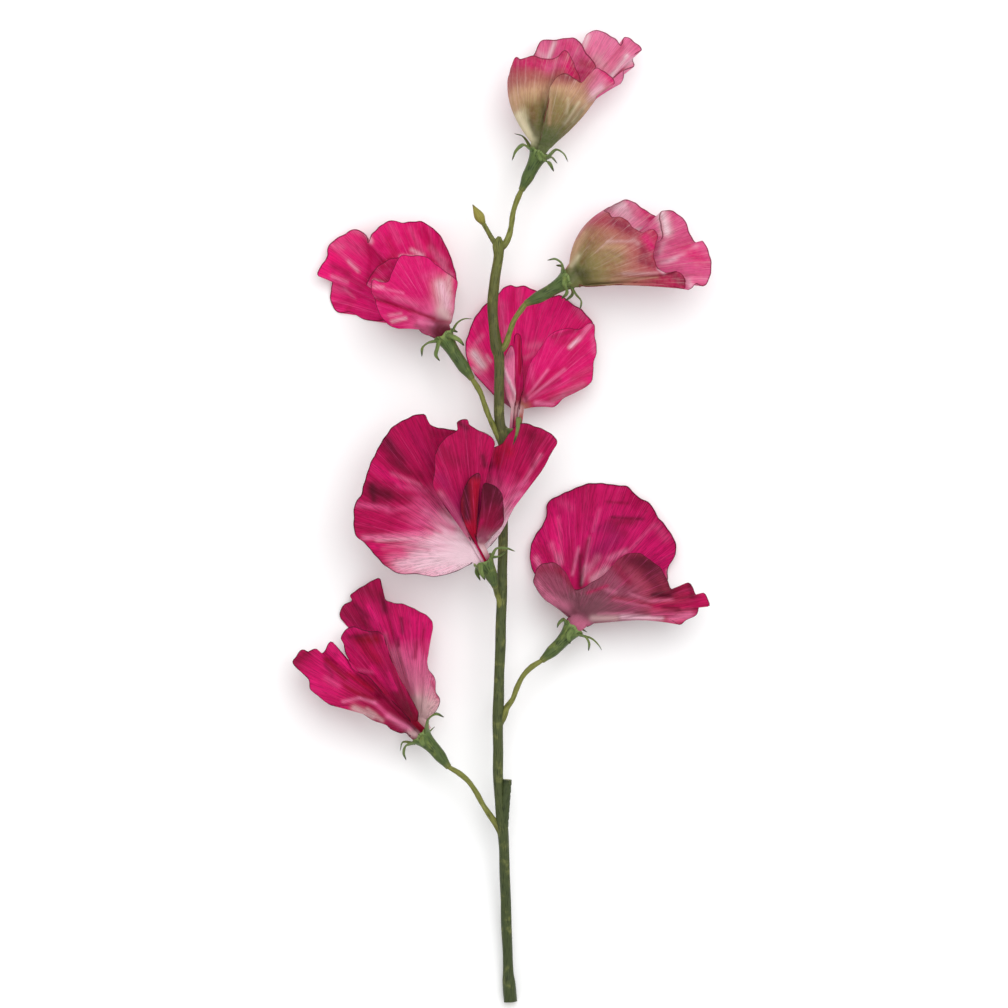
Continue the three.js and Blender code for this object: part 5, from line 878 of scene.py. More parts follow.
PETALS["lower_right", "wings"] = dict(
    root=(0.6, 0.6, 0.8), claw=3.1, frill=0.3, pleats=0.09,
    rim=[
        (-1.3, 2.9, 2.4, 0.2), (-5.3, 5.8, 4.8, 1), (-9.3, 8.4, 6.5, 1.7), (-11.4, 11.2, 6.7, 2.2),
        (-12.4, 13.5, 6, 2.6), (-11.7, 16.5, 4.3, 3.1), (-10.4, 18.4, 2.9, 3.4), (-8.4, 19, 1.9, 3.4),
        (-6.8, 19.3, 1.2, 3.4), (-4.6, 18.1, 1.7, 3.1), (-2.6, 16.1, 2.9, 2.6), (-1.5, 13.6, 3.6, 2.2),
        (0, 11.2, 4.3, 1.4), (2.1, 11.4, 4.8, 1.4), (5.8, 13.6, 5, 2.4), (9.2, 15.8, 4.1, 3.6),
        (12.5, 19.5, 1.2, 4.8), (15.5, 21.6, -1.7, 6), (17.3, 22, -2.6, 6.5), (20.1, 21.6, -2.9, 6.7),
        (22.6, 20, -2.6, 7), (26.1, 17, -2.2, 7), (27.9, 13.7, -1.4, 6.7), (29, 11.1, 0.5, 6.5),
        (31.5, 11.9, 2.9, 6.2), (34.2, 13.1, 4.1, 6), (35.6, 11.6, 2.9, 5.8), (36.3, 9.4, 3.8, 5.5),
        (38.9, 10, 6, 5.3), (40.3, 6.3, 5.5, 5), (37.4, 5.9, 4.3, 4.8), (36.6, 3.6, 2.9, 4.6, 0, 1.1),
        (34, 2.2, 3.6, 4.1, 0, 1.1), (31.5, 0.6, 5.3, 3.6, 0, 1.1), (29, 1.9, 6, 3.4, 0, 0.5),
        (25.2, 2.6, 5.3, 2.9), (19.7, 3, 4.1, 2.2), (13.4, 2.7, 3.4, 1.4), (10.9, 1.4, 2.9, 1),
        (7.1, 1.6, 1.9, 0.5), (3.9, -0.1, 1.4, 0.1),
    ],
    stops=[
        ("pink_mauve", 0), ("grey_mauve", 0.12), ("grey_mauve", 0.25), ("mauve", 0.5), ("rose", 0.75),
        ("crimson", 1),
    ],
    touches=dict(
        dusk=[(-10, 17, -4.5, 17, 1.8, 0.8)], mauve=[(-8.5, 14, -4, 11.5, 2.4, 0.8)],
        pink_mauve=[
            (-11, 13.5, -10, 11.5, 1, 0.6), (-8.5, 9, -2, 6, 1.6, 0.6), (1.5, -1, 4, 1, 1.4, 0.7),
            (9.6, 11, 12, 10.2, 0.8, 0.5), (16.6, 9.8, 22.8, 7.4, 0.5, 0.5),
            (7.2, 3.8, 17.4, 4.2, 0.5, 0.4),
        ],
        crimson_dark=[
            (-4, 16.5, -0.5, 12, 1.2, 0.7), (12.5, 18, 16, 13.5, 1.6, 0.7),
            (29.2, 8.4, 37, 9.2, 0.6, 0.7), (30, 11, 34.5, 12, 1.3, 0.8),
        ],
        maroon=[(-1.4, 6.6, 0.2, 4.2, 0.9, 0.3)],
        deep=[(16, 20.5, 25, 16.5, 3, 0.9), (22, 15.5, 25.5, 11.5, 2, 0.8), (27, 15.5, 29, 11, 1.3, 0.8)],
        # The second wine stroke lies in the valley fold at y 9: painted shade.
        wine=[(20, 20, 23.5, 18, 1.8, 0.8), (23.5, 9.5, 28.5, 9.5, 1, 0.9)],
        crimson=[(4, 10.2, 9.6, 12.2, 0.6, 0.6), (23.2, 6.2, 36.2, 6.2, 0.9, 0.9)],
        rose=[(12, 8.5, 23, 6.5, 1, 0.5)],
        light=[
            (12, 7.8, 22.8, 5.8, 0.5, 0.3), (23.6, 7.6, 29.2, 8, 0.5, 0.4),
            (29, 2.5, 34.5, 3.5, 1.4, 0.8),
        ],
        blotch=[(26.4, 5.8, 31.2, 5.4, 0.6, 0.8), (34.2, 12.8, 35.4, 9, 0.7, 0.7)],
        # The pink stroke lies on the ridge fold from 23.6, 3.4: a painted highlight.
        pale=[(14.2, 2.8, 26, 2.6, 0.8, 0.9)], pink=[(23.6, 3.8, 29.2, 3.8, 0.9, 0.6)],
        cream_pink=[(5.5, 2.5, 12.5, 2.5, 1, 0.8)],
    ),
    folds=[
        (22.8, 7.4, 37, 9.2, 0.5, 0.7), (23.2, 5.8, 36.6, 6.6, 0.7, -0.8),
        (21.8, 9, 28.8, 8.8, 0.6, -0.7), (23.6, 3.4, 36.2, 4.6, 0.7, 0.5),
        (5.6, 11.8, 22.8, 7.8, 0.5, 0.4), (7.2, 9.4, 22.8, 6.2, 0.5, -0.35),
        (5.6, 7.8, 21.4, 4.6, 0.5, 0.3), (9.6, 4.6, 23.6, 3.8, 0.5, -0.3), (4, 11, 12, 14.4, 0.5, 0.35),
        (0.2, 11, 1, 5.4, 0.6, -0.5), (-1, 11.8, -2.2, 15.6, 0.6, -0.4),
        (11.2, 16.4, 17.4, 12.2, 0.6, -0.6), (14.2, 13.2, 19, 10.2, 0.5, 0.4),
        (30.4, 10.2, 33.8, 12.6, 0.6, -0.5), (35.4, 9, 35, 12.6, 0.5, 0.4), (-8, 14, -3, 10, 1, 0.4),
        (-6.2, 17.2, -0.6, 11, 0.6, -0.3),
    ],
)

# %% The lower left bloom
BLOOMS["lower_left"] = dict(
    slot="petal_crimson", branch_paint="branch",
    mouth=(-24.8, -65.4, 10.4),
    branch=[
        (0.1, -95.5, 10.2), (-1.6, -92.6, 10.3), (-3.7, -89.6, 10.6), (-5.8, -86.4, 10.9),
        (-7.9, -82.6, 11.2), (-10.2, -79.4, 11.5), (-13, -77, 11.7),
    ],
    sleeve=[(-16.2, -75, 11.4), (-20.4, -69.8, 10.6)],
    sepals=[
        [(1.4, 1.6, 2.4), (2.6, 4.4, 4.2), (5, 6.2, 4), (7.4, 5.2, 3)],
        [(-1.8, -1.6, 1.8), (-4, -3.4, 2), (-4.8, -5.6, 1), (-4, -7.8, 0.2)],
        [(-2.4, -0.8, -0.6), (-5, -2.4, -1.2), (-5.8, -5, -1.6)],
        [(0.6, -0.6, 2.9), (0.6, -2, 4.6), (1.8, -4, 5)],
        [(1, 0.6, -2.7), (3, 0.8, -4.4), (4.6, 2.2, -5)],
    ],
)
PETALS["lower_left", "standard"] = dict(
    root=(0.1, 2.1, -1), claw=3.0, frill=0.25,
    rim=[
        (2.6, 4.6, 0.5), (4.9, 6.8, 1.2, 0.2), (6.2, 9.9, 1.7, 0.7), (4.9, 13.1, 1.9, 1.4),
        (4.7, 16.5, 2.4, 2.2), (2.6, 20, 2.9, 2.9), (2.2, 25.7, 2.9, 3.6), (4, 32.1, 1.9, 4.1),
        (3.7, 34.2, 1, 4.3), (0.4, 36.7, 0, 4.6), (-4.4, 38.9, -1, 4.6), (-10.2, 40.4, -2.6, 3.6),
        (-11.4, 44.2, -3.6, 2.9), (-12.1, 46.8, -4.8, 2.4), (-15.4, 45.5, -5.3, 1.4),
        (-18, 43.8, -6.5, 0.2), (-20.9, 41.7, -7.7, -1.2), (-20.3, 40.4, -7.9, -1.7),
        (-23.3, 38.3, -8.9, -2.6), (-24.1, 36.3, -9.6, -3.4), (-23.8, 34.9, -10.1, -3.8),
        (-21.1, 32.5, -10.3, -4.6), (-19.8, 28.8, -10.6, -4.8), (-17.2, 22.7, -9.6, -3.8),
        (-11.9, 15.6, -7.7, -2.9), (-5.7, 8.6, -4.6, -1.4), (-2.2, 5.1, -2.4, -0.5),
    ],
    stops=[
        ("cream_pink", 0), ("cream_pink", 0.12), ("pink_mauve", 0.3), ("pink", 0.48), ("magenta", 0.6),
        ("crimson", 1),
    ],
    touches=dict(
        light=[(-7.5, 24, -3, 12, 2.2, 0.9), (-10.4, 30, -8.2, 18.8, 0.7, 0.6)],
        cream_pink=[(-1, 10.5, 3.5, 9, 1.7, 0.8)],
        crimson=[
            (-7.5, 37, -4.5, 33.5, 2.2, 0.5), (3.8, 15.8, 5.6, 11, 0.5, 0.6),
            (2.2, 23.2, 4, 17.2, 0.5, 0.5), (1, 27.5, 2, 24.5, 1.1, 0.6),
        ],
        hot=[(-3, 35, 0, 33.5, 1.5, 0.6)],
        # The three wine strokes lie in valley folds: painted shade.
        wine=[
            (-5.4, 34.8, -5, 30.4, 0.5, 0.8), (-11.6, 41.6, -10.4, 37, 1, 0.8),
            (-19.4, 38.6, -15.6, 35.2, 0.8, 0.6),
        ],
        blotch=[(-6.2, 28.8, -6.2, 26.6, 0.5, 0.7)],
        crimson_dark=[
            (-0.8, 27.4, -1.4, 23.2, 0.8, 0.7), (0.8, 28.4, 1.4, 31.4, 0.7, 0.6),
            (-18, 44, -12.5, 42, 2.2, 0.8), (-23, 37, -16.5, 33.5, 2.2, 0.8),
        ],
        # The second vivid stroke lies on the ridge fold from -14.2, 40.4: a painted highlight.
        vivid=[(-14.2, 34.8, -13, 32.6, 0.9, 0.7), (-15, 38.2, -10.8, 30.6, 1, 0.8)],
    ),
    folds=[
        (-14.2, 40.4, -10.2, 30.4, 0.7, 0.8), (-10.4, 40.4, -8.6, 30, 0.7, -0.8),
        (-10, 30, -4.4, 9.8, 0.6, 0.45), (-19.4, 39.2, -14.6, 33.6, 0.6, -0.6),
        (-17.2, 40.8, -12.6, 33.6, 0.6, 0.5), (-22.8, 36.6, -17.2, 33, 0.6, 0.3),
        (-5.2, 34.4, -4.8, 28.4, 0.5, -0.4), (-3, 33.6, -0.8, 12, 0.9, 0.4),
        (0.8, 30.6, 0, 12, 0.9, -0.4), (3, 15.8, 1.8, 7.2, 0.6, 0.3), (-18, 43.8, -14.2, 37, 0.6, -0.3),
    ],
)
PETALS["lower_left", "wing_right"] = dict(
    root=(-0.7, 1.8, 0.1), claw=2.2,
    rim=[
        (-0.2, 6.4, 2.9, 0.5), (-3.1, 12.1, 3.8, 1), (-6.6, 18.3, 4.1, 1.4), (-9.2, 24.4, 2.9, 1.7),
        (-11.4, 30.4, 1.9, 1.4), (-15.4, 31, 0, 0.7), (-21.1, 32.2, -2.9, -0.5), (-23.6, 29.1, -4.1, -1),
        (-22.9, 27.4, -4.3, -1.2), (-22.4, 24.8, -3.4, -1.2), (-20.2, 20.8, -2.6, -1.2),
        (-17.2, 17.4, -2.9, -1.2), (-11.9, 12.1, -2.9, -1), (-6.6, 7.7, -2.2, -0.5), (-3.5, 4.2, -1.2),
    ],
    stops=[("red_dark", 0), ("crimson_dark", 0.2), ("crimson", 0.5), ("magenta", 1)],
    touches=dict(
        red_dark=[(-18, 28.5, -13, 28.5, 2.1, 1)],
        red=[(-16, 25.5, -12.5, 22.5, 1.9, 0.6), (-16.5, 16, -10.5, 12, 1.3, 0.5)],
        crimson_dark=[(-22.4, 29.6, -20.2, 28.4, 1, 0.6)], blotch=[(-21, 29.2, -11.6, 30.6, 0.5, 0.7)],
        vivid=[(-14, 20, -8, 14, 1.1, 0.8), (-9, 18.4, -6.8, 13.6, 0.7, 0.7)],
        # The pink stroke lies on the ridge fold from -19.4, 19.6: a painted highlight.
        pink=[(-19.4, 19.4, -14.2, 18.6, 0.5, 0.6)],
    ),
    folds=[
        (-19.4, 29.2, -6.8, 10.2, 0.9, -0.6), (-22.4, 27.4, -12.6, 14.6, 0.5, 0.5),
        (-11.6, 30.4, -4.4, 9.8, 0.6, 0.5), (-19.4, 19.6, -13.4, 18, 0.5, 0.5),
        (-16.4, 28.4, -6.8, 12, 0.6, 0.3), (-9, 12, -1.6, 3.4, 0.5, -0.4),
    ],
)
PETALS["lower_left", "wing_left"] = dict(
    root=(-1.2, 1.2, 1.5), claw=2.6, frill=0.35,
    rim=[
        (-3.1, 4.8, 2.4), (-6.6, 8.6, 2.9), (-11.4, 13, 2.9), (-15.4, 17.4, 1.9), (-19.8, 19.4, 1.2),
        (-21.9, 22.7, 0, 0.2), (-24.2, 25.4, -1.2, 0.5), (-26.6, 27.8, -1.9, 0.7), (-29.4, 24.2, -0.7, 1),
        (-31.2, 25.7, 0.7, 1), (-33.6, 24.9, 1.2, 1.2), (-35, 25.5, 0.5, 1.2), (-37, 23.5, 1, 1.4),
        (-38.1, 21.6, 2.4, 1.4), (-35.2, 18.5, 3.8, 1.7), (-33.1, 16.3, 4.8, 1.9),
        (-32.8, 13.8, 5.5, 2.2), (-29.8, 11.1, 6.5, 2.4), (-26.8, 9, 7.2, 2.6), (-24.2, 8.6, 7.7, 2.6),
        (-21.1, 8.7, 7.7, 2.6), (-17.2, 6.5, 6.7, 2.4), (-13.6, 4.2, 5.8, 2.2), (-10.1, 3, 5.3, 1.7),
        (-8.3, 1.5, 4.8, 1.2), (-5.7, 0.4, 4.3, 1), (-3.9, 0.6, 3.6, 0.5), (-2.6, -0.4, 2.6, 0.1),
    ],
    stops=[("wine", 0), ("crimson_dark", 0.15), ("crimson", 0.5), ("magenta", 0.85), ("crimson", 1)],
    touches=dict(
        crimson_dark=[(-37.5, 21.5, -33.5, 24.5, 1.3, 0.8), (-18, 17.5, -6.5, 8.5, 1.3, 0.6)],
        # The first dark red stroke lies in the valley fold from -28, 23.2: painted shade.
        red_dark=[(-28, 22.4, -22.4, 16.8, 1, 0.9), (-22.5, 14.5, -13.5, 10, 1.1, 0.8)],
        blotch=[(-28.4, 21, -26.2, 18, 0.5, 0.6)], vivid=[(-23.8, 22.8, -20.2, 18.8, 1, 0.8)],
        red=[(-21, 18, -14.2, 13.6, 1, 0.7)], hot=[(-31.5, 16, -24.5, 13.5, 1.7, 0.8)],
        # The second pink stroke and the light strokes below lie on ridge folds: painted highlights.
        pink=[(-28, 16.8, -24.6, 14.6, 1, 0.5), (-13.4, 9.4, -9.4, 5.4, 0.7, 0.8)],
        light=[
            (-22.8, 9.8, -18, 10.8, 0.5, 0.7), (-18, 10.8, -13.4, 9.4, 0.5, 0.7),
            (-9.4, 5.4, -3, 1.4, 0.9, 0.8),
        ],
        cream_pink=[
            (-19.5, 8, -14, 5.5, 1, 0.8), (-15.6, 7.6, -11.2, 4.2, 0.6, 0.6),
            (-3, 0.4, -0.8, -0.2, 1, 0.9),
        ],
    ),
    folds=[
        (-22.8, 9.6, -13.4, 9.4, 0.6, 0.6), (-13.4, 9.4, -2.6, 1.2, 0.6, 0.7),
        (-21, 11.6, -12.6, 11.2, 0.7, -0.5), (-12.6, 11.2, -3, 3, 0.7, -0.6),
        (-28, 23.2, -12, 11, 0.7, -0.8), (-31.8, 23.2, -23.8, 15.8, 0.8, 0.5),
        (-25.4, 25.4, -14.2, 15.8, 0.7, 0.5), (-34.4, 23.2, -28, 17.2, 0.7, -0.35),
        (-23.8, 21, -16.4, 14.6, 0.5, -0.3), (-29.2, 25.4, -28, 21, 0.5, -0.5),
        (-16.4, 7.6, -9.8, 3.8, 0.5, -0.4), (-31.4, 15.8, -22.4, 10.6, 1, 0.4),
    ],
)

print(len(BLOOMS), "blooms,", len(PETALS), "petals")

# %% [markdown]
# ## Smooth lines
#
# Everything here follows a smooth line through a few points. A Catmull-Rom curve passes
# through its points, unlike a Bezier's handles, so a measured point stays where it was
# measured. The centripetal kind, whose knots are spaced by the square root of the distance,
# makes no loops where points lie close together.

# %% A smooth line
def unit(v):
    """Each row of v divided by its own length."""
    return v / np.maximum(np.linalg.norm(v, axis=-1, keepdims=True), 1e-9)


def turn_of(sides):
    """The angles of a tube's sides, once round."""
    return np.linspace(0, 2 * np.pi, sides, endpoint=False)


def length_of(line):
    """The distance along a line, at each of its rows."""
    return np.concatenate([[0], np.cumsum(np.linalg.norm(np.diff(line[:, :3], axis=0), axis=1))])


def through(points, count):
    """A smooth line through points, as count rows evenly spaced along it. Each piece between
    two points blends three straight lines through four neighbours, twice over (the pyramid of
    Barry and Goldman). Columns after the third, such as a radius, are carried along."""
    p = np.asarray(points, float)
    p = np.vstack([2 * p[0] - p[1], p, 2 * p[-1] - p[-2]])
    gaps = np.maximum(np.linalg.norm(np.diff(p[:, :3], axis=0), axis=1), 1e-6) ** 0.5
    knot = np.concatenate([[0], np.cumsum(gaps)])
    last = len(p) - 3
    u = np.linspace(0, last, last * 24 + 1)
    i = np.minimum(u.astype(int), last - 1)
    t = (knot[i + 1] + (u - i) * (knot[i + 2] - knot[i + 1]))[:, None]
    k = [knot[i + j][:, None] for j in range(4)]
    q = [p[i + j] for j in range(4)]

    def mix(a, b, start, end):
        return a + (b - a) * (t - start) / (end - start)

    a = [mix(q[j], q[j + 1], k[j], k[j + 1]) for j in range(3)]
    b = [mix(a[j], a[j + 1], k[j], k[j + 2]) for j in range(2)]
    line = mix(b[0], b[1], k[1], k[2])
    along = length_of(line)
    even = np.linspace(0, along[-1], count)
    return np.stack([np.interp(even, along, column) for column in line.T], axis=1)

print("a line through three points:", through([(0, 0, 0), (1, 1, 0), (2, 0, 0)], 5).round(2).tolist())

# %% [markdown]
# ## Grids, tubes and sheets
#
# A grid of points, rows by columns, is all that a tube or a petal needs. A tube's columns run
# round its path and close up; a petal's don't. Blender gets the whole grid at once with
# `foreach_set`, which is much faster than adding faces one by one.

# %% Faces of a grid
def grid_faces(rows, columns, closed):
    """The quads of a grid: each joins a point with the next one in its row and the two above.
    If closed, the last column joins the first."""
    index = np.arange(rows * columns).reshape(rows, columns)
    if closed:
        index = np.hstack([index, index[:, :1]])
    a, b = index[:-1, :-1], index[:-1, 1:]
    c, d = index[1:, 1:], index[1:, :-1]
    return np.stack([a, b, c, d], axis=-1).reshape(-1, 4)


def tube(path, radius, sides):
    """Rings of points round a path. Each ring lies square to the path and its first side is
    level with the table. radius is rows x sides, and so is the result, times three."""
    tangent = unit(np.gradient(path[:, :3], axis=0))
    side = unit(np.cross(tangent, [0, 0, 1]))
    top = np.cross(side, tangent)
    angle = turn_of(sides)[None, :, None]
    around = np.cos(angle) * side[:, None] + np.sin(angle) * top[:, None]
    return path[:, None, :3] + radius[..., None] * around


def capped(rings):
    """The points of a tube's rings and of the middle of each end, and the quads between."""
    rows, sides = rings.shape[:2]
    size = rows * sides
    points = np.vstack([rings.reshape(-1, 3), rings[0].mean(0), rings[-1].mean(0)])
    first = np.arange(sides)
    after = np.roll(first, -1)
    last = size - sides
    foot, head = np.full(sides, size), np.full(sides, size + 1)
    quads = np.vstack([
        grid_faces(rows, sides, True),
        np.stack([after, first, foot, foot], axis=1),
        np.stack([last + first, last + after, head, head], axis=1),
    ])
    return points, quads


class Shell:
    """Collects grids into one mesh: points, quads, and values that are kept for each point
    and written with the mesh."""

    def __init__(self):
        self.points, self.quads, self.values = [], [], []
        self.count = 0

    def add(self, points, quads, **values):
        """Adds points (n x 3) and quads into them, which may repeat a corner for a triangle."""
        self.points.append(points)
        self.quads.append(quads + self.count)
        self.values.append((len(points), values))
        self.count += len(points)

    def add_tube(self, rings, along, tint, end_tints):
        """Adds rings and closes both ends. along is the distance of each ring from the first
        one, and tint the colour of each point. The UV map runs round and along."""
        rows, sides = rings.shape[:2]
        around = np.linspace(0, 1, sides)[None, :]
        uv = np.stack(np.broadcast_arrays(around, along[:, None]), -1).reshape(-1, 2)
        colour = np.broadcast_to(tint, (rows, sides, 3)).reshape(-1, 3)
        self.add(
            *capped(rings),
            tint=np.vstack([colour, end_tints]),
            uv=np.vstack([uv, [[0.5, along[0]], [0.5, along[-1]]]]),
        )

    def mesh(self, name, finish, slot, node, creases=55):
        """Makes the Blender object. A quad that repeats its last corner becomes a triangle, and
        an edge that turns by more than `creases` degrees stays sharp."""
        points = np.vstack(self.points) * MM
        quads = np.vstack(self.quads)
        triangle = quads[:, 2] == quads[:, 3]
        sizes = np.where(triangle, 3, 4)
        corners = quads[np.arange(4)[None, :] < sizes[:, None]]
        mesh = bpy.data.meshes.new(name)
        mesh.vertices.add(len(points))
        mesh.vertices.foreach_set("co", points.astype(np.float32).ravel())
        mesh.loops.add(len(corners))
        mesh.loops.foreach_set("vertex_index", corners.astype(np.int32))
        mesh.polygons.add(len(quads))
        starts = np.concatenate([[0], np.cumsum(sizes)[:-1]])
        mesh.polygons.foreach_set("loop_start", starts.astype(np.int32))
        mesh.update(calc_edges=True)
        mesh.validate()
        mesh.materials.append(finish)
        mesh.polygons.foreach_set("use_smooth", np.ones(len(mesh.polygons), bool))
        self.write_values(mesh)
        mesh.set_sharp_from_angle(angle=np.radians(creases))
        piece = bpy.data.objects.new(name, mesh)
        bpy.context.scene.collection.objects.link(piece)
        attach(piece, "root")
        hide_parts(node)
        return piece

    def write_values(self, mesh):
        """Writes the kept values: `tint` as a colour, `uv` as a UV map, the rest as numbers."""
        names = {key for _, values in self.values for key in values}
        for key in sorted(names):
            width = {"tint": 3, "uv": 2}.get(key, 1)
            full = np.concatenate([
                np.asarray(values.get(key, np.zeros((n, width))), float).reshape(n, width)
                for n, values in self.values
            ])
            if key == "uv":
                layer = mesh.uv_layers.new(name="across_along")
                corner = np.empty(len(mesh.loops), np.int32)
                mesh.loops.foreach_get("vertex_index", corner)
                layer.data.foreach_set("uv", full[corner].astype(np.float32).ravel())
            elif key == "tint":
                layer = mesh.attributes.new("tint", "FLOAT_COLOR", "POINT")
                full = np.hstack([full, np.ones((len(full), 1))])
                layer.data.foreach_set("color", full.astype(np.float32).ravel())
            else:
                layer = mesh.attributes.new(key, "FLOAT", "POINT")
                layer.data.foreach_set("value", full.astype(np.float32).ravel())


print("grid, tube and shell are ready")

# %% [markdown]
# ## Finishes
#
# Three effects are shader node groups, each built once. A material that uses one gives it
# its own values. `brushed_streaks` makes the radial streaks and veins of a petal from its own UV map,
# where u runs round the rim and v from claw to rim, so that the streaks meet at the claw as
# they do on the real petal. `woven_cloth` is the fine weave of the petal cloth. `green_skin`
# is the mottled, finely ribbed skin of the stem and the calyx.

# %% Helpers for node groups
def group(name, inputs, outputs):
    """A new shader node group with named inputs (name, kind, default) and outputs."""
    tree = bpy.data.node_groups.new(name, "ShaderNodeTree")
    for label, kind, default in inputs:
        socket = tree.interface.new_socket(label, in_out="INPUT", socket_type=kind)
        socket.default_value = default
    for label, kind in outputs:
        tree.interface.new_socket(label, in_out="OUTPUT", socket_type=kind)
    return tree, tree.nodes.new("NodeGroupInput"), tree.nodes.new("NodeGroupOutput")


def node(tree, kind, links=(), **settings):
    """A node with its settings, and links given as (its input, another node's output)."""
    made = tree.nodes.new(kind)
    for key, value in settings.items():
        if key.startswith("in_"):
            made.inputs[int(key[3:])].default_value = value
        else:
            setattr(made, key, value)
    for socket, source in links:
        tree.links.new(source, made.inputs[socket])
    return made


def maths(tree, operation, a, b=None):
    """One arithmetic node. a and b are numbers or outputs of other nodes."""
    made = node(tree, "ShaderNodeMath", operation=operation)
    for i, value in enumerate((a, b)):
        if value is None:
            continue
        if isinstance(value, (int, float)):
            made.inputs[i].default_value = value
        else:
            tree.links.new(value, made.inputs[i])
    return made.outputs[0]


def put(made, **values):
    """Sets a node's inputs. An underscore stands for a space in the name of an input."""
    for name, value in values.items():
        made.inputs[name.replace("_", " ")].default_value = value
    return made


def blend_colours(tree, share, a, b):
    """A mix of two colours by a share. Each may be a colour or another node's output."""
    made = node(tree, "ShaderNodeMix", data_type="RGBA")
    for i, value in ((0, share), (6, a), (7, b)):  # the sockets of factor, A and B for colours
        if hasattr(value, "links"):
            tree.links.new(value, made.inputs[i])
        else:
            made.inputs[i].default_value = value
    return made.outputs[2]


def noise(tree, place, scale, detail=3.0, rough=0.55, stretch=(1, 1, 1)):
    """Soft noise over a place, stretched by a Mapping node; its value is near 0.5."""
    mapped = node(tree, "ShaderNodeMapping", [(0, place)], in_3=stretch)
    made = node(tree, "ShaderNodeTexNoise", [(0, mapped.outputs[0])])
    return put(made, Scale=scale, Detail=detail, Roughness=rough).outputs[0]


def spread(tree, value, low, high, to_low=0.0, to_high=1.0):
    """Value between low and high carried to the new range, with soft ends."""
    made = node(tree, "ShaderNodeMapRange", [(0, value)], interpolation_type="SMOOTHSTEP")
    for i, number in enumerate((low, high, to_low, to_high)):
        made.inputs[i + 1].default_value = number
    return made.outputs[0]


def shown(r, g, b):
    """A display colour as a node's colour value."""
    return (*linear((r, g, b)).tolist(), 1.0)


def times(tree, a, b):
    """The product of two values."""
    return maths(tree, "MULTIPLY", a, b)


def weighted(tree, a, share_a, b, share_b):
    """The sum of two values, each times its share."""
    return maths(tree, "ADD", times(tree, a, share_a), times(tree, b, share_b))


print("helpers for node groups are ready")

# %% The streaks of a petal
streaks, given, out = group(
    "brushed_streaks",
    [
        ("Tint", "NodeSocketColor", (0.5, 0.05, 0.2, 1)),
        ("Light paint", "NodeSocketColor", (0.9, 0.6, 0.7, 1)),
        ("Dark paint", "NodeSocketColor", (0.2, 0.0, 0.04, 1)),
        ("Edge paint", "NodeSocketColor", (0.1, 0.0, 0.02, 1)),
        ("Reach", "NodeSocketFloat", 0.5),
        ("Edge", "NodeSocketFloat", 5.0),
        ("Light streaks", "NodeSocketFloat", 0.3),
        ("Dark streaks", "NodeSocketFloat", 0.3),
        ("Mottle", "NodeSocketFloat", 0.15),
    ],
    [("Color", "NodeSocketColor"), ("Height", "NodeSocketFloat")],
)
petal_map = node(streaks, "ShaderNodeUVMap", uv_map="across_along").outputs[0]
object_place = node(streaks, "ShaderNodeTexCoord").outputs["Object"]
broad = noise(streaks, petal_map, 1.0, 4.0, 0.6, (4.0, 1.2, 1))
fine = noise(streaks, petal_map, 1.0, 3.0, 0.6, (22, 2.2, 1))
hair = noise(streaks, petal_map, 1.0, 2.0, 0.5, (60, 3.5, 1))
wander = noise(streaks, petal_map, 1.0, 3.0, 0.6, (9, 2.4, 1))
off_line = maths(streaks, "ABSOLUTE", maths(streaks, "SUBTRACT", wander, 0.5))
away_from_claw = spread(streaks, given.outputs["Reach"], 0.1, 0.45)
lines = weighted(streaks, broad, 0.55, fine, 0.45)
pale = times(streaks, spread(streaks, lines, 0.5, 0.66), given.outputs["Light streaks"])
pale = times(streaks, pale, away_from_claw)
shade = weighted(streaks, fine, 0.7, broad, 0.3)
deep = spread(streaks, shade, 0.48, 0.36)
vein = times(streaks, spread(streaks, off_line, 0.05, 0.0), 0.8)
deep = times(streaks, maths(streaks, "MAXIMUM", deep, vein), given.outputs["Dark streaks"])
deep = times(streaks, deep, maths(streaks, "MAXIMUM", away_from_claw, 0.35))
veined = blend_colours(streaks, pale, given.outputs["Tint"], given.outputs["Light paint"])
veined = blend_colours(streaks, deep, veined, given.outputs["Dark paint"])
blotches = noise(streaks, object_place, 900.0, 3.0, 0.6)
mottled = times(streaks, spread(streaks, blotches, 0.35, 0.7), given.outputs["Mottle"])
veined = blend_colours(streaks, mottled, veined, given.outputs["Light paint"])
ragged = maths(streaks, "ADD", given.outputs["Edge"], times(streaks, hair, 0.25))
rim_line = times(streaks, spread(streaks, ragged, 0.55, 0.22), 0.85)
edged = blend_colours(streaks, rim_line, veined, given.outputs["Edge paint"])
streaks.links.new(edged, out.inputs["Color"])
streaks.links.new(weighted(streaks, fine, 0.6, hair, 0.25), out.inputs["Height"])
print("group:", streaks.name, len(streaks.nodes), "nodes")

# %% The weave of the cloth
weave, given, out = group(
    "woven_cloth",
    [("Threads per metre", "NodeSocketFloat", 2600.0), ("Unevenness", "NodeSocketFloat", 1.5)],
    [("Height", "NodeSocketFloat")],
)
place = node(weave, "ShaderNodeTexCoord").outputs["Object"]
threads = []
for direction in ("X", "Y"):
    wave = node(weave, "ShaderNodeTexWave", [("Vector", place)], bands_direction=direction)
    weave.links.new(given.outputs["Threads per metre"], wave.inputs["Scale"])
    weave.links.new(given.outputs["Unevenness"], wave.inputs["Distortion"])
    threads.append(wave.outputs["Fac"])
weave.links.new(maths(weave, "MAXIMUM", *threads), out.inputs["Height"])
print("group:", weave.name, len(weave.nodes), "nodes")

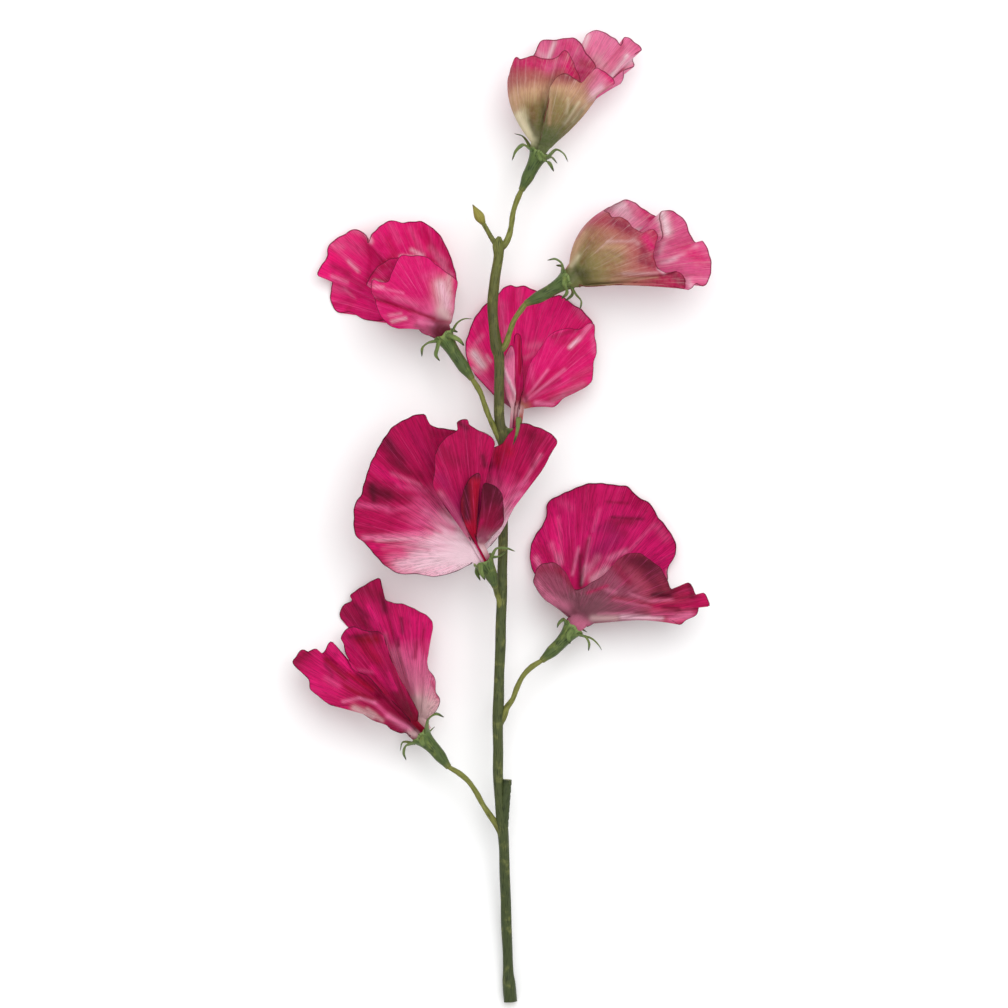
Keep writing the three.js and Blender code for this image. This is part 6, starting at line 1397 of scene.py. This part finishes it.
# %% The skin of stem and calyx
skin, given, out = group(
    "green_skin",
    [
        ("Tint", "NodeSocketColor", (0.1, 0.15, 0.05, 1)),
        ("Light", "NodeSocketColor", (0.3, 0.35, 0.1, 1)),
        ("Dark", "NodeSocketColor", (0.02, 0.04, 0.01, 1)),
        ("Blotches", "NodeSocketFloat", 0.4),
        ("Ribs", "NodeSocketFloat", 0.4),
    ],
    [("Color", "NodeSocketColor"), ("Roughness", "NodeSocketFloat"), ("Height", "NodeSocketFloat")],
)
stem_map = node(skin, "ShaderNodeUVMap", uv_map="across_along").outputs[0]
place = node(skin, "ShaderNodeTexCoord").outputs["Object"]
cloud = noise(skin, place, 260.0, 4.0, 0.6)
grain = noise(skin, place, 1500.0, 2.0, 0.5)
ribs = noise(skin, stem_map, 1.0, 2.0, 0.5, (34, 0.35, 1))
lighter = times(skin, spread(skin, cloud, 0.5, 0.72), given.outputs["Blotches"])
darker = times(skin, spread(skin, ribs, 0.5, 0.3), given.outputs["Ribs"])
green = blend_colours(skin, lighter, given.outputs["Tint"], given.outputs["Light"])
green = blend_colours(skin, darker, green, given.outputs["Dark"])
skin.links.new(green, out.inputs["Color"])
skin.links.new(spread(skin, cloud, 0.3, 0.7, 0.42, 0.62), out.inputs["Roughness"])
skin.links.new(weighted(skin, ribs, 0.7, grain, 0.3), out.inputs["Height"])
print("group:", skin.name, len(skin.nodes), "nodes")

# %% [markdown]
# A petal lets a fifth of the light through, so its material mixes a Principled shader with a
# Translucent one. Both take the brushed colour. The stem and calyx are waxy: a plain
# Principled shader with a little coat.

# %% Materials
LIGHT_LET_THROUGH = 0.2
WEAVE_HEIGHT = 0.16  # of the threads, against 1 for the streaks


def bump_of(tree, height, strength, distance):
    """The normal that a height gives the surface."""
    bump = node(tree, "ShaderNodeBump", [("Height", height)])
    return put(bump, Strength=strength, Distance=distance).outputs[0]


def new_material(name):
    """A material with nodes: the material, its node tree and its Principled shader."""
    material = bpy.data.materials.new(name)
    material.use_nodes = True
    return material, material.node_tree, material.node_tree.nodes["Principled BSDF"]


def petal_material(name, light, dark, edge, light_streaks, dark_streaks, mottle):
    """Brushed petal cloth: streaks and tint give the colour, streaks and weave the bump."""
    material, tree, shader = new_material(name)
    brushed = node(tree, "ShaderNodeGroup", node_tree=streaks)
    read = (("Tint", "tint", "Color"), ("Reach", "reach", "Fac"), ("Edge", "edge_mm", "Fac"))
    for socket, attribute, kind in read:
        value = node(tree, "ShaderNodeAttribute", attribute_name=attribute)
        tree.links.new(value.outputs[kind], brushed.inputs[socket])
    put(brushed, Light_paint=light, Dark_paint=dark, Edge_paint=edge)
    put(brushed, Light_streaks=light_streaks, Dark_streaks=dark_streaks, Mottle=mottle)
    cloth = node(tree, "ShaderNodeGroup", node_tree=weave)
    threads = times(tree, cloth.outputs[0], WEAVE_HEIGHT)
    relief = maths(tree, "ADD", brushed.outputs["Height"], threads)
    tree.links.new(brushed.outputs["Color"], shader.inputs["Base Color"])
    tree.links.new(bump_of(tree, relief, 0.55, 0.35 * MM), shader.inputs["Normal"])
    put(shader, Roughness=0.6, Specular_IOR_Level=0.12, Sheen_Weight=0.03, Sheen_Roughness=0.4)
    through_light = node(tree, "ShaderNodeBsdfTranslucent", [(0, brushed.outputs["Color"])])
    mix = node(tree, "ShaderNodeMixShader", in_0=LIGHT_LET_THROUGH)
    tree.links.new(shader.outputs[0], mix.inputs[1])
    tree.links.new(through_light.outputs[0], mix.inputs[2])
    tree.links.new(mix.outputs[0], tree.nodes["Material Output"].inputs["Surface"])
    return material


def green_material(name, light, dark, blotches, ribs, coat):
    """Waxy green skin over the piece's own tint."""
    material, tree, shader = new_material(name)
    tint = node(tree, "ShaderNodeAttribute", attribute_name="tint")
    body = node(tree, "ShaderNodeGroup", [("Tint", tint.outputs["Color"])], node_tree=skin)
    put(body, Light=light, Dark=dark, Blotches=blotches, Ribs=ribs)
    bump = bump_of(tree, body.outputs["Height"], 0.6, 0.3 * MM)
    tree.links.new(body.outputs["Color"], shader.inputs["Base Color"])
    tree.links.new(body.outputs["Roughness"], shader.inputs["Roughness"])
    tree.links.new(bump, shader.inputs["Normal"])
    put(shader, Specular_IOR_Level=0.2, Coat_Weight=coat, Coat_Roughness=0.4)
    return material


PETAL_FINISH = {
    "petal_blush": petal_material(
        "petal_blush", shown(250, 216, 214), shown(140, 40, 60), shown(110, 20, 44), 0.34, 0.34, 0.06),
    "petal_magenta": petal_material(
        "petal_magenta", shown(252, 124, 184), shown(164, 0, 62), shown(96, 6, 36), 0.36, 0.45, 0.04),
    "petal_crimson": petal_material(
        "petal_crimson", shown(240, 84, 152), shown(92, 2, 36), shown(64, 6, 28), 0.34, 0.55, 0.02),
}
STEM_FINISH = green_material("stem_skin", shown(140, 142, 80), shown(30, 38, 18), 0.45, 0.75, 0.02)
CALYX_FINISH = green_material("calyx_skin", shown(136, 146, 76), shown(28, 44, 22), 0.5, 0.7, 0.03)
BUD_FINISH = green_material("bud_skin", shown(150, 150, 70), shown(70, 60, 25), 0.4, 0.5, 0.05)
print("materials:", len(bpy.data.materials))

# %% [markdown]
# ## The stem
#
# A stem could be a curve with a bevel, but the radius changes at each node and the skin has
# shallow ribs, so it is a tube worked out from its path: the radius is carried along with the
# path, and a ripple round the tube makes five ribs that turn slowly as they climb.

# %% The main stem, its stub and its branches
def ribbed(path, sides, ribs, depth, turns):
    """The path's radius, times one plus a ripple of `ribs` waves that twists along it."""
    angle = turn_of(sides)[None, :]
    along = np.linspace(0, 1, len(path))[:, None]
    slow = 0.035 * np.sin(along * 61 + 1.3) * np.sin(along * 23)
    return path[:, 3:4] * (1 + depth * np.cos(ribs * (angle + turns * 2 * np.pi * along)) + slow)


def stops_along(share, names, places):
    """Paints mixed between places along a share from 0 to 1."""
    paints = np.array([PAINT[name] for name in names])
    return np.stack([np.interp(share, places, channel) for channel in paints.T], axis=-1)


def paints_along(rows, names, places):
    """Paints mixed between places along evenly spaced rows."""
    return stops_along(np.linspace(0, 1, rows), names, places)


def add_rod(shell, path, sides, tint, ribs=5, depth=0.03, turns=1.5):
    """A ribbed tube that never sinks below the table, with a tint for each of its rings. The
    middle of each end is pale: the pith shows where the stem is cut."""
    rings = tube(path, ribbed(path, sides, ribs, depth, turns), sides)
    rings[..., 2] = np.maximum(rings[..., 2], 0)
    shell.add_tube(rings, length_of(path), tint[:, None], [PAINT["pith"], PAINT["pith"]])


def sleeve_line(bloom):
    """The middle of a calyx, from the lower end of its sleeve to its mouth."""
    return through([*bloom["sleeve"], bloom["mouth"]], 80)


def branch_line(bloom):
    """A branch from the stem into its sleeve, thicker over its first third."""
    sleeve = sleeve_line(bloom)
    inside = sleeve[np.searchsorted(length_of(sleeve), BRANCH_IN_SLEEVE)]
    line = through([*bloom["branch"], bloom["sleeve"][0], inside], 70)
    share = np.linspace(0, 1, len(line))
    radius = BRANCH_FOOT_RADIUS + (BRANCH_RADIUS - BRANCH_FOOT_RADIUS) * np.minimum(1, 3 * share)
    radius = radius + 0.05 * np.sin(share * 19) * share
    return np.column_stack([line, radius])


stem = Shell()
path = through(STEM, 520)
foot_y, tip_y = STEM[0][1], STEM[-1][1]
climb = (path[:, 1] - foot_y) / (tip_y - foot_y)
tint = stops_along(
    climb, ["stem_low", "stem_low", "stem", "stem", "stem_olive", "stem_olive", "stem_tip"],
    [0, 0.15, 0.3, 0.55, 0.68, 0.9, 1])
add_rod(stem, path, STEM_SIDES, tint, ribs=5, depth=0.035, turns=3)
stub = through(STUB, 60)
tint = paints_along(len(stub), ["stem_low", "stem_low", "dark_green_and_shadow"], [0, 0.9, 1])
add_rod(stem, stub, STUB_SIDES, tint)
stalk = through(BUD_STALK, 40)
add_rod(stem, stalk, STALK_SIDES, paints_along(len(stalk), ["stem_olive", "branch"], [0, 1]))
for bloom in BLOOMS.values():
    line = branch_line(bloom)
    names = ["stem_olive", "branch", bloom["branch_paint"]]
    tint = paints_along(len(line), names, [0, 0.2, 1])
    add_rod(stem, line, BRANCH_SIDES, tint, ribs=4, depth=0.04, turns=1)
stem.mesh("stem_with_branches", STEM_FINISH, "stem_green", "stem")
print("stem:", stem.count, "points")

# %% [markdown]
# ## The bud and the calyces
#
# The bud and each calyx are turned shapes, bent along a line: a profile of distance and
# radius, carried round. The bud's skin has five seams, where its folded sepals meet. The
# calyx is a sleeve that swells slowly out of the branch and widens to a cup; the lip dips
# between the sepals.

# %% Turned shapes on a bent line
def ease(low, high, x):
    """A smooth step from 0 at low to 1 at high."""
    t = np.clip((x - low) / (high - low), 0, 1)
    return t * t * (3 - 2 * t)


def bent_rings(line, distance, radius, sides):
    """Rings at distances along a line, straight on past its ends. distance and radius are
    rows x sides, so a ring may lean or ripple. Each ring is square to the line, with its
    first side level with the table."""
    along = length_of(line)
    tangent = unit(np.gradient(line[:, :3], axis=0))
    level = unit(np.cross(tangent, [0, 0, 1]))
    inside = np.clip(distance, 0, along[-1])

    def at(columns):
        return np.stack([np.interp(inside, along, c) for c in columns.T], axis=-1)

    way, side = unit(at(tangent)), unit(at(level))
    point = at(line[:, :3]) + way * (distance - inside)[..., None]
    top = np.cross(side, way)
    angle = turn_of(sides)[None, :, None]
    return point + radius[..., None] * (np.cos(angle) * side + np.sin(angle) * top)


def add_turned(shell, rings, tint):
    """Rings into the shell, with a tint for each ring."""
    shell.add_tube(rings, length_of(rings.mean(1)), tint[:, None], [tint[0], tint[-1]])


turn = turn_of(TURNED_SIDES)
print("turned shapes have", TURNED_SIDES, "sides")

# %% The bud
bud = Shell()
foot = np.array(BUD_STALK[-1][:3])
way = unit(np.array(BUD_TIP) - foot)
bud_line = foot + way * np.linspace(0, 7, 30)[:, None]
profile = through([(d, r, 0) for d, r in BUD_PROFILE], BUD_ROWS)
distance = np.repeat(profile[:, :1], TURNED_SIDES, 1)
groove = np.exp(-((np.sin(2.5 * turn) / 0.3) ** 2))[None, :]
seams = 1 - 0.1 * groove * np.sin(np.linspace(0, np.pi, BUD_ROWS))[:, None]
rings = bent_rings(bud_line, distance, profile[:, 1:2] * seams, TURNED_SIDES)
tint = paints_along(BUD_ROWS, ["bud_dark", "bud", "bud", "bud_tip"], [0, 0.2, 0.8, 1])
add_turned(bud, rings, tint)
bud.mesh("bud_skin", BUD_FINISH, "bud_green", "bud")
print("bud:", bud.count, "points")

# %% A calyx with its sepals
def sepal_roots(bloom, line):
    """Where each sepal leaves the cup: its angle round the axis, its way out of it, and the
    axis, which is level."""
    tangent = unit(line[-1] - line[-4])
    axis = unit(np.array([tangent[0], tangent[1], 0.0]))
    level = np.cross(axis, [0, 0, 1])
    found = []
    for sepal in bloom["sepals"]:
        first = np.array([*sepal[0], 0.0][:3])
        out_way = unit(first - axis * first.dot(axis))
        angle = np.arctan2(out_way.dot(np.cross(level, axis)), out_way.dot(level))
        found.append((angle, out_way, axis))
    return found


def calyx_rings(bloom, line, roots):
    """The outer wall from the sleeve's end to the lip, over it, and down inside the cup. The
    lip dips where the nearest sepal is far away round the axis."""
    length = length_of(line)[-1]
    wall = [(d, r) for r, d in CALYX_WALL if d < length - 1]
    outer = through([(length, SLEEVE_RADIUS - 0.02, 0)] + [(d, r, 0) for d, r in reversed(wall)], 46)
    stations = [(length + 0.5, 0.8), (length + 0.3, 0.95)]
    stations += [(d, 0.98 + (r - 0.98) * ease(-0.5, SLEEVE_FADE, length - d)) for d, r, _ in outer]
    stations = np.array(stations + CUP_INSIDE)
    near_lip = np.exp(-((stations[:, :1] / 1.4) ** 2))
    gap = np.min([np.abs(np.angle(np.exp(1j * (turn - angle)))) for angle, _, _ in roots], axis=0)
    dip = LIP_DIP * (1 - np.exp(-((gap / 0.42) ** 2)))[None, :] * near_lip
    distance = length - stations[:, :1] - dip
    radius = stations[:, 1:2] * (1 + 0.018 * np.cos(10 * turn)[None, :] * (stations[:, :1] > 0))
    return bent_rings(line, distance, radius * np.ones_like(distance), TURNED_SIDES), stations


def sepal_rings(bloom, sepal, root):
    """A flat, curled blade: it leaves the wall just under the lip, narrows slowly at first and
    ends in a point."""
    _, out_way, axis = root
    start = out_way * (CUP_LIP_RADIUS - SEPAL_SINK) - axis * SEPAL_DEPTH
    rest = [np.array([*p, 0.0][:3]) for p in sepal[1:]]
    path = through([start, *rest], SEPAL_ROWS) + np.array(bloom["mouth"])
    share = np.linspace(0, 1, len(path))[:, None]
    width = np.interp(share, [0, 0.12, 0.35, 0.7, 0.92, 1], [1.1, 0.95, 0.85, 0.62, 0.34, 0.08])
    tangent = unit(np.gradient(path, axis=0))
    across = np.cross(axis, out_way)
    side = unit(across - tangent * (tangent @ across)[:, None])
    top = np.cross(side, tangent)
    angle = turn_of(SEPAL_SIDES)[None, :]
    thick = SEPAL_THICKNESS - 0.12 * share
    keel = 0.16 * np.cos(angle) ** 2 * width
    ring = width[..., None] * np.cos(angle)[..., None] * side[:, None]
    ring = ring + (width * thick * np.sin(angle) + keel)[..., None] * top[:, None]
    rings = path[:, None] + ring
    rings[..., 2] = np.maximum(rings[..., 2], 0.02)
    return rings


for name, bloom in BLOOMS.items():
    calyx = Shell()
    line = sleeve_line(bloom)
    roots = sepal_roots(bloom, line)
    rings, stations = calyx_rings(bloom, line, roots)
    share = 1 - np.clip(stations[:, 0] / length_of(line)[-1], 0, 1)
    names = ["sleeve_end", "sleeve", "sleeve", "cup", "cup_lip"]
    add_turned(calyx, rings, stops_along(share, names, [0, 0.1, 0.6, 0.85, 1]))
    tint = paints_along(SEPAL_ROWS, ["cup", "sepal", "sepal", "sepal_tip"], [0, 0.2, 0.72, 0.95])
    for sepal, root in zip(bloom["sepals"], roots):
        add_turned(calyx, sepal_rings(bloom, sepal, root), tint)
    calyx.mesh("calyx_skin_" + name, CALYX_FINISH, "calyx_green", "calyx_" + name)
print("calyces:", len(BLOOMS))

# %% [markdown]
# ## The petals
#
# A petal could be sculpted, or be a flat outline pushed by cloth simulation, but its ripples
# and folds would then land anywhere. Here it is a surface of two parameters. One runs round
# the rim, the other from the claw to the rim. A column of the grid is the straight way from
# the root to a point of the rim, plus a bulge (the belly). The rim is split into a calm line
# and its ripples: the calm line acts all the way down the blade, the ripples only near the
# rim, as on a real petal, whose frill is where the sheet has grown too wide for its edge.

# %% The middle surface of a petal
def softened(line, pitch, reach):
    """A line averaged with a bell curve `reach` wide. Beyond its ends it is turned about
    the end point, so that the ends themselves stay where they are."""
    half = int(3 * reach / pitch)
    padded = np.vstack([2 * line[0] - line[half:0:-1], line, 2 * line[-1] - line[-2:-half - 2:-1]])
    bell = np.exp(-0.5 * (np.arange(-half, half + 1) * pitch / reach) ** 2)
    bell /= bell.sum()
    return np.stack([np.convolve(column, bell, "valid") for column in padded.T], axis=1)


def distance_to(x, y, stroke):
    """How far each place is from a stroke, a straight line from x0, y0 to x1, y1."""
    x0, y0, x1, y1 = stroke
    dx, dy = x1 - x0, y1 - y0
    t = np.clip(((x - x0) * dx + (y - y0) * dy) / max(dx * dx + dy * dy, 1e-9), 0, 1)
    return np.hypot(x - x0 - t * dx, y - y0 - t * dy)


def petal_rim(petal):
    """The rim as evenly spaced rows, the same line without its ripples, and its bellies."""
    rim = np.array([(*point, 0, 0, 0)[:6] for point in petal["rim"]], float)
    length = np.linalg.norm(np.diff(rim[:, :3], axis=0), axis=1).sum()
    count = int(np.clip(length / COLUMN_PITCH, FEWEST_COLUMNS, MOST_COLUMNS))
    line = through(rim, count)
    pitch = length_of(line)[-1] / (count - 1)
    calm = softened(line, pitch, min(CALM_REACH, length / 8))
    belly = softened(line, pitch, BELLY_REACH)[:, [4, 5, 3]]
    return line, calm, belly


def petal_foot(bloom, petal, calm):
    """Where each column starts: at the root, and below that at its seat in the cup. A column
    starts off to its own side of the root, by the half width of the claw."""
    mouth, collar = np.array(bloom["mouth"]), np.array(bloom["sleeve"][-1])
    axis = unit(mouth[:2] - collar[:2])
    side = np.array([-axis[1], axis[0]])
    root_x, root_y, root_z = petal["root"]
    half = petal.get("claw", CLAW_HALF_WIDTH)
    curl = petal.get("curl", CLAW_CURL) * calm[:, 2]
    heading = unit(calm[:, :2] - [root_x, root_y])
    sideways = np.clip(petal.get("flare", 1) * (heading @ side), -1, 1)
    forward = petal.get("forward", 1) * (heading @ axis)
    away = half * (forward[:, None] * axis + sideways[:, None] * side)
    root = np.column_stack([root_x + away[:, 0], root_y + away[:, 1], root_z + curl])
    across = min(half, CLAW_SEAT) * sideways + CLAW_TAPER * np.dot([root_x, root_y], side)
    seat = np.column_stack([-CLAW_DEPTH * axis + across[:, None] * side, CLAW_TAPER * root_z + curl])
    return root, seat


def ripple(blade, line, petal, t, random):
    """Ripples the blade in place. The frill is a sum of waves along the rim and grows as t^4.
    The pleats are finer and start near the claw. The outline is ragged by t^8. Each fold lifts
    the blade by its height times a bell curve of the distance from it."""
    s = length_of(line)
    phase = random.uniform(0, 2 * np.pi, 6)
    frill = np.sin(s / 1.25 + phase[0]) * np.sin(s / 4.1 + phase[1]) + 0.6 * np.sin(s / 2.3 + phase[2])
    pleats = np.sin(s / 0.9 + phase[3]) * np.sin(s / 3.3 + phase[4]) + 0.5 * np.sin(s / 0.52 + phase[5])
    up = t[..., 0]
    blade[..., 2] += petal.get("frill", FRILL_HEIGHT) * frill * up ** 4
    blade[..., 2] += petal.get("pleats", PLEAT_HEIGHT) * pleats * ease(0.08, 0.4, up) * (1 - 0.4 * up)
    ragged = RAGGED_RIM * np.sin(s / 0.8 + phase[1]) * np.sin(s / 2.9 + phase[2])
    blade[..., :2] += (unit(line[:, :2] - petal["root"][:2]) * ragged[:, None]) * t ** 8
    for x0, y0, x1, y1, radius, height in petal.get("folds", ()):
        away = distance_to(blade[..., 0], blade[..., 1], (x0, y0, x1, y1))
        blade[..., 2] += height * np.exp(-((away / radius) ** 2)) * ease(0.03, 0.18, up)


def petal_grid(bloom, petal, random):
    """Rows from the seat in the cup to the rim, columns round the rim, from the mouth:
    root + (calm rim - root) t + ripples t^2.2 + 4 t (1 - t) belly, then frill and folds."""
    line, calm, belly = petal_rim(petal)
    root, seat = petal_foot(bloom, petal, calm)
    t = np.linspace(0, 1, BLADE_ROWS)[:, None, None]
    ripples = line[:, :3] - calm[:, :3]
    blade = root + (calm[:, :3] - root) * t + ripples * t ** 2.2 + 4 * t * (1 - t) * belly
    ripple(blade, line, petal, t, random)
    claw_t = np.linspace(0, 1, CLAW_ROWS, endpoint=False)[:, None, None]
    grid = np.concatenate([seat + (root - seat) * claw_t, blade])
    reach = np.concatenate([np.zeros(CLAW_ROWS), t.ravel()])
    return grid, length_of(line), reach


print("petal grids have", CLAW_ROWS + BLADE_ROWS, "rows")

# %% [markdown]
# The brush work comes next. Each petal starts from its stops, claw to rim, and soft strokes
# go over them, as a painter would. A petal that curls round to show its other side has a
# second set of stops and strokes, and `turn` says over which share of the rim they take over.
# Strokes that lie along a fold are painted light: shade in its valley, highlights on its ridge.

# %% The paint of a petal
FULL_LENGTH = 92  # percent of the rim that lies nearer to the root than the last paint


def brushed(x, y, share, petal):
    """Tint at each point: the stops mixed by the distance from the root over the blade's own
    length, then each stroke mixed in by its strength times a bell curve of the distance from
    the stroke over its radius."""
    # Strokes along folds paint shade into the valleys and highlights onto the ridges.
    away = np.hypot(x - petal["root"][0], y - petal["root"][1])
    away = away / np.percentile(away[-1], FULL_LENGTH)

    def layer(stops, touches):
        names, places = zip(*stops)
        tint = stops_along(away, names, places)
        for paint, strokes in touches.items():
            for x0, y0, x1, y1, radius, strength in strokes:
                apart = distance_to(x, y, (x0, y0, x1, y1))
                cover = (strength * np.exp(-((apart / radius) ** 2)))[..., None]
                tint = tint + (PAINT[paint] - tint) * cover
        return tint

    tint = layer(petal["stops"], petal.get("touches", {}))
    if "turn" in petal:
        other = layer(petal["back_stops"], petal.get("back_touches", {}))
        low, high = petal["turn"]
        tint = tint + (other - tint) * ease(low, high, share)[None, :, None]
    return tint


# %% [markdown]
# A sheet needs two faces and an edge. The middle surface is pushed out and in along its
# normal by half the thickness, which is thinner at the rim, and a strip joins the two faces
# all the way round. The strip takes the dark paint of a cut edge.

# %% A petal as a closed shell
def edge_distance(grid, reach):
    """How far each point is from the nearest edge: the least of the way up its column to the
    rim and the ways along its row to both sides. Towards the claw it grows by half a
    millimetre, so that no dark line runs along the claw."""
    up = np.cumsum(np.linalg.norm(np.diff(grid, axis=0, append=grid[-1:]), axis=2)[::-1], axis=0)[::-1]
    side = np.cumsum(np.linalg.norm(np.diff(grid, axis=1, prepend=grid[:, :1]), axis=2), axis=1)
    edge = np.minimum(up, np.minimum(side, side[:, -1:] - side))
    return edge + 0.5 * (1 - ease(0.1, 0.45, reach))[:, None]


def sheet_shell(grid, tint, s, reach):
    """Both faces of a thin sheet and the strip between them, with its values: s is the way
    along the rim and reach the share from claw to rim."""
    rows, columns = grid.shape[:2]
    round_rim, up_blade = np.gradient(grid, axis=1), np.gradient(grid, axis=0)
    normal = unit(np.cross(round_rim, up_blade))
    thick = (PETAL_THICKNESS + (RIM_THICKNESS - PETAL_THICKNESS) * reach)[:, None, None]
    grid = grid.copy()
    grid[..., 2] = np.maximum(grid[..., 2], thick[..., 0] / 2)
    faces = np.concatenate([grid + normal * thick / 2, grid - normal * thick / 2])
    faces[..., 2] = np.maximum(faces[..., 2], 0)
    front = grid_faces(rows, columns, False)
    back = rows * columns
    index = np.arange(back).reshape(rows, columns)
    border = np.concatenate([index[0, :-1], index[:-1, -1], index[-1, :0:-1], index[:0:-1, 0]])
    after = np.roll(border, -1)
    strip = np.stack([after, border, border + back, after + back], axis=1)
    quads = np.vstack([front, front[:, ::-1] + back, strip])
    uv = np.stack(np.broadcast_arrays(s[None, :] / 10, reach[:, None]), -1)
    values = dict(
        tint=np.tile(tint.reshape(-1, 3), (2, 1)),
        uv=np.tile(uv.reshape(-1, 2), (2, 1)),
        reach=np.tile(np.repeat(reach, columns), 2),
        edge_mm=np.tile(edge_distance(grid, reach).ravel(), 2),
    )
    return faces.reshape(-1, 3), quads, values


random = np.random.default_rng(7)
for (name, role), petal in PETALS.items():
    bloom = BLOOMS[name]
    slot = bloom["slot"]
    grid, s, reach = petal_grid(bloom, petal, random)
    tint = brushed(grid[..., 0], grid[..., 1], s / s[-1], petal)
    sheet = Shell()
    points, quads, values = sheet_shell(grid + np.array(bloom["mouth"]), tint, s, reach)
    sheet.add(points, quads, **values)
    sheet.mesh(f"{role}_of_{name}", PETAL_FINISH[slot], slot, f"petal_{role}_{name}", creases=70)
print("petals:", len(PETALS))

# %% [markdown]
# ## Table, light and camera
#
# The table is plain and pale. A large soft lamp stands to the upper right, and a bright even
# sky fills the shadows, as in a product studio. The camera looks straight down from far
# away, so that low and high blooms keep the same scale.

# %% The table
TABLE_SIZE = 6  # metres
TABLE_DROP = 0.0002  # metres that it lies under the lowest petal
GREY, PALE_GREY = (0.93, 0.93, 0.93, 1), (0.95, 0.95, 0.95, 1)

bpy.ops.mesh.primitive_plane_add(size=TABLE_SIZE, location=(0, 0, -TABLE_DROP))
table = bpy.context.object
table.name = "table_top"
pale_table, tree, shader = new_material("pale_table")
paper = noise(tree, node(tree, "ShaderNodeTexCoord").outputs["Object"], 12.0)
shade = blend_colours(tree, spread(tree, paper, 0.3, 0.7), GREY, PALE_GREY)
tree.links.new(shade, shader.inputs["Base Color"])
put(shader, Roughness=0.9)
table.data.materials.append(pale_table)
print("table:", TABLE_SIZE, "m wide")

# %% The lamp, the sky and the camera
LAMP_WIDTH, LAMP_WATTS, SKY_STRENGTH = 1.8, 22, 0.78
lamp_data = bpy.data.lights.new("window_lamp", "AREA")
lamp_data.shape, lamp_data.size, lamp_data.energy = "DISK", LAMP_WIDTH, LAMP_WATTS
lamp = bpy.data.objects.new("window_lamp", lamp_data)
lamp.location = (0.3, 0.6, 1.8)
lamp.rotation_euler = lamp.location.to_track_quat("Z", "Y").to_euler()  # faces the origin
bpy.context.scene.collection.objects.link(lamp)

sky = bpy.data.worlds.new("studio_sky")
sky.use_nodes = True
put(sky.node_tree.nodes["Background"], Color=(1, 1, 1, 1), Strength=SKY_STRENGTH)
bpy.context.scene.world = sky
bpy.context.scene.view_settings.view_transform = "Standard"

VIEW_WIDTH = 302.4 * MM  # what the picture shows across, at the height of the blooms
VIEW_DISTANCE = 3.985  # metres from the camera down to the blooms
SENSOR_WIDTH = 36  # millimetres
camera_data = bpy.data.cameras.new("view_from_above")
camera_data.sensor_width = SENSOR_WIDTH
camera_data.lens = SENSOR_WIDTH * VIEW_DISTANCE / VIEW_WIDTH
camera_data.clip_end = 20
camera = bpy.data.objects.new("view_from_above", camera_data)
camera.location = (0.6 * MM, 3.75 * MM, 4.0)
bpy.context.scene.collection.objects.link(camera)
bpy.context.scene.camera = camera
print("camera at", tuple(camera.location), "lens", round(camera_data.lens, 1))
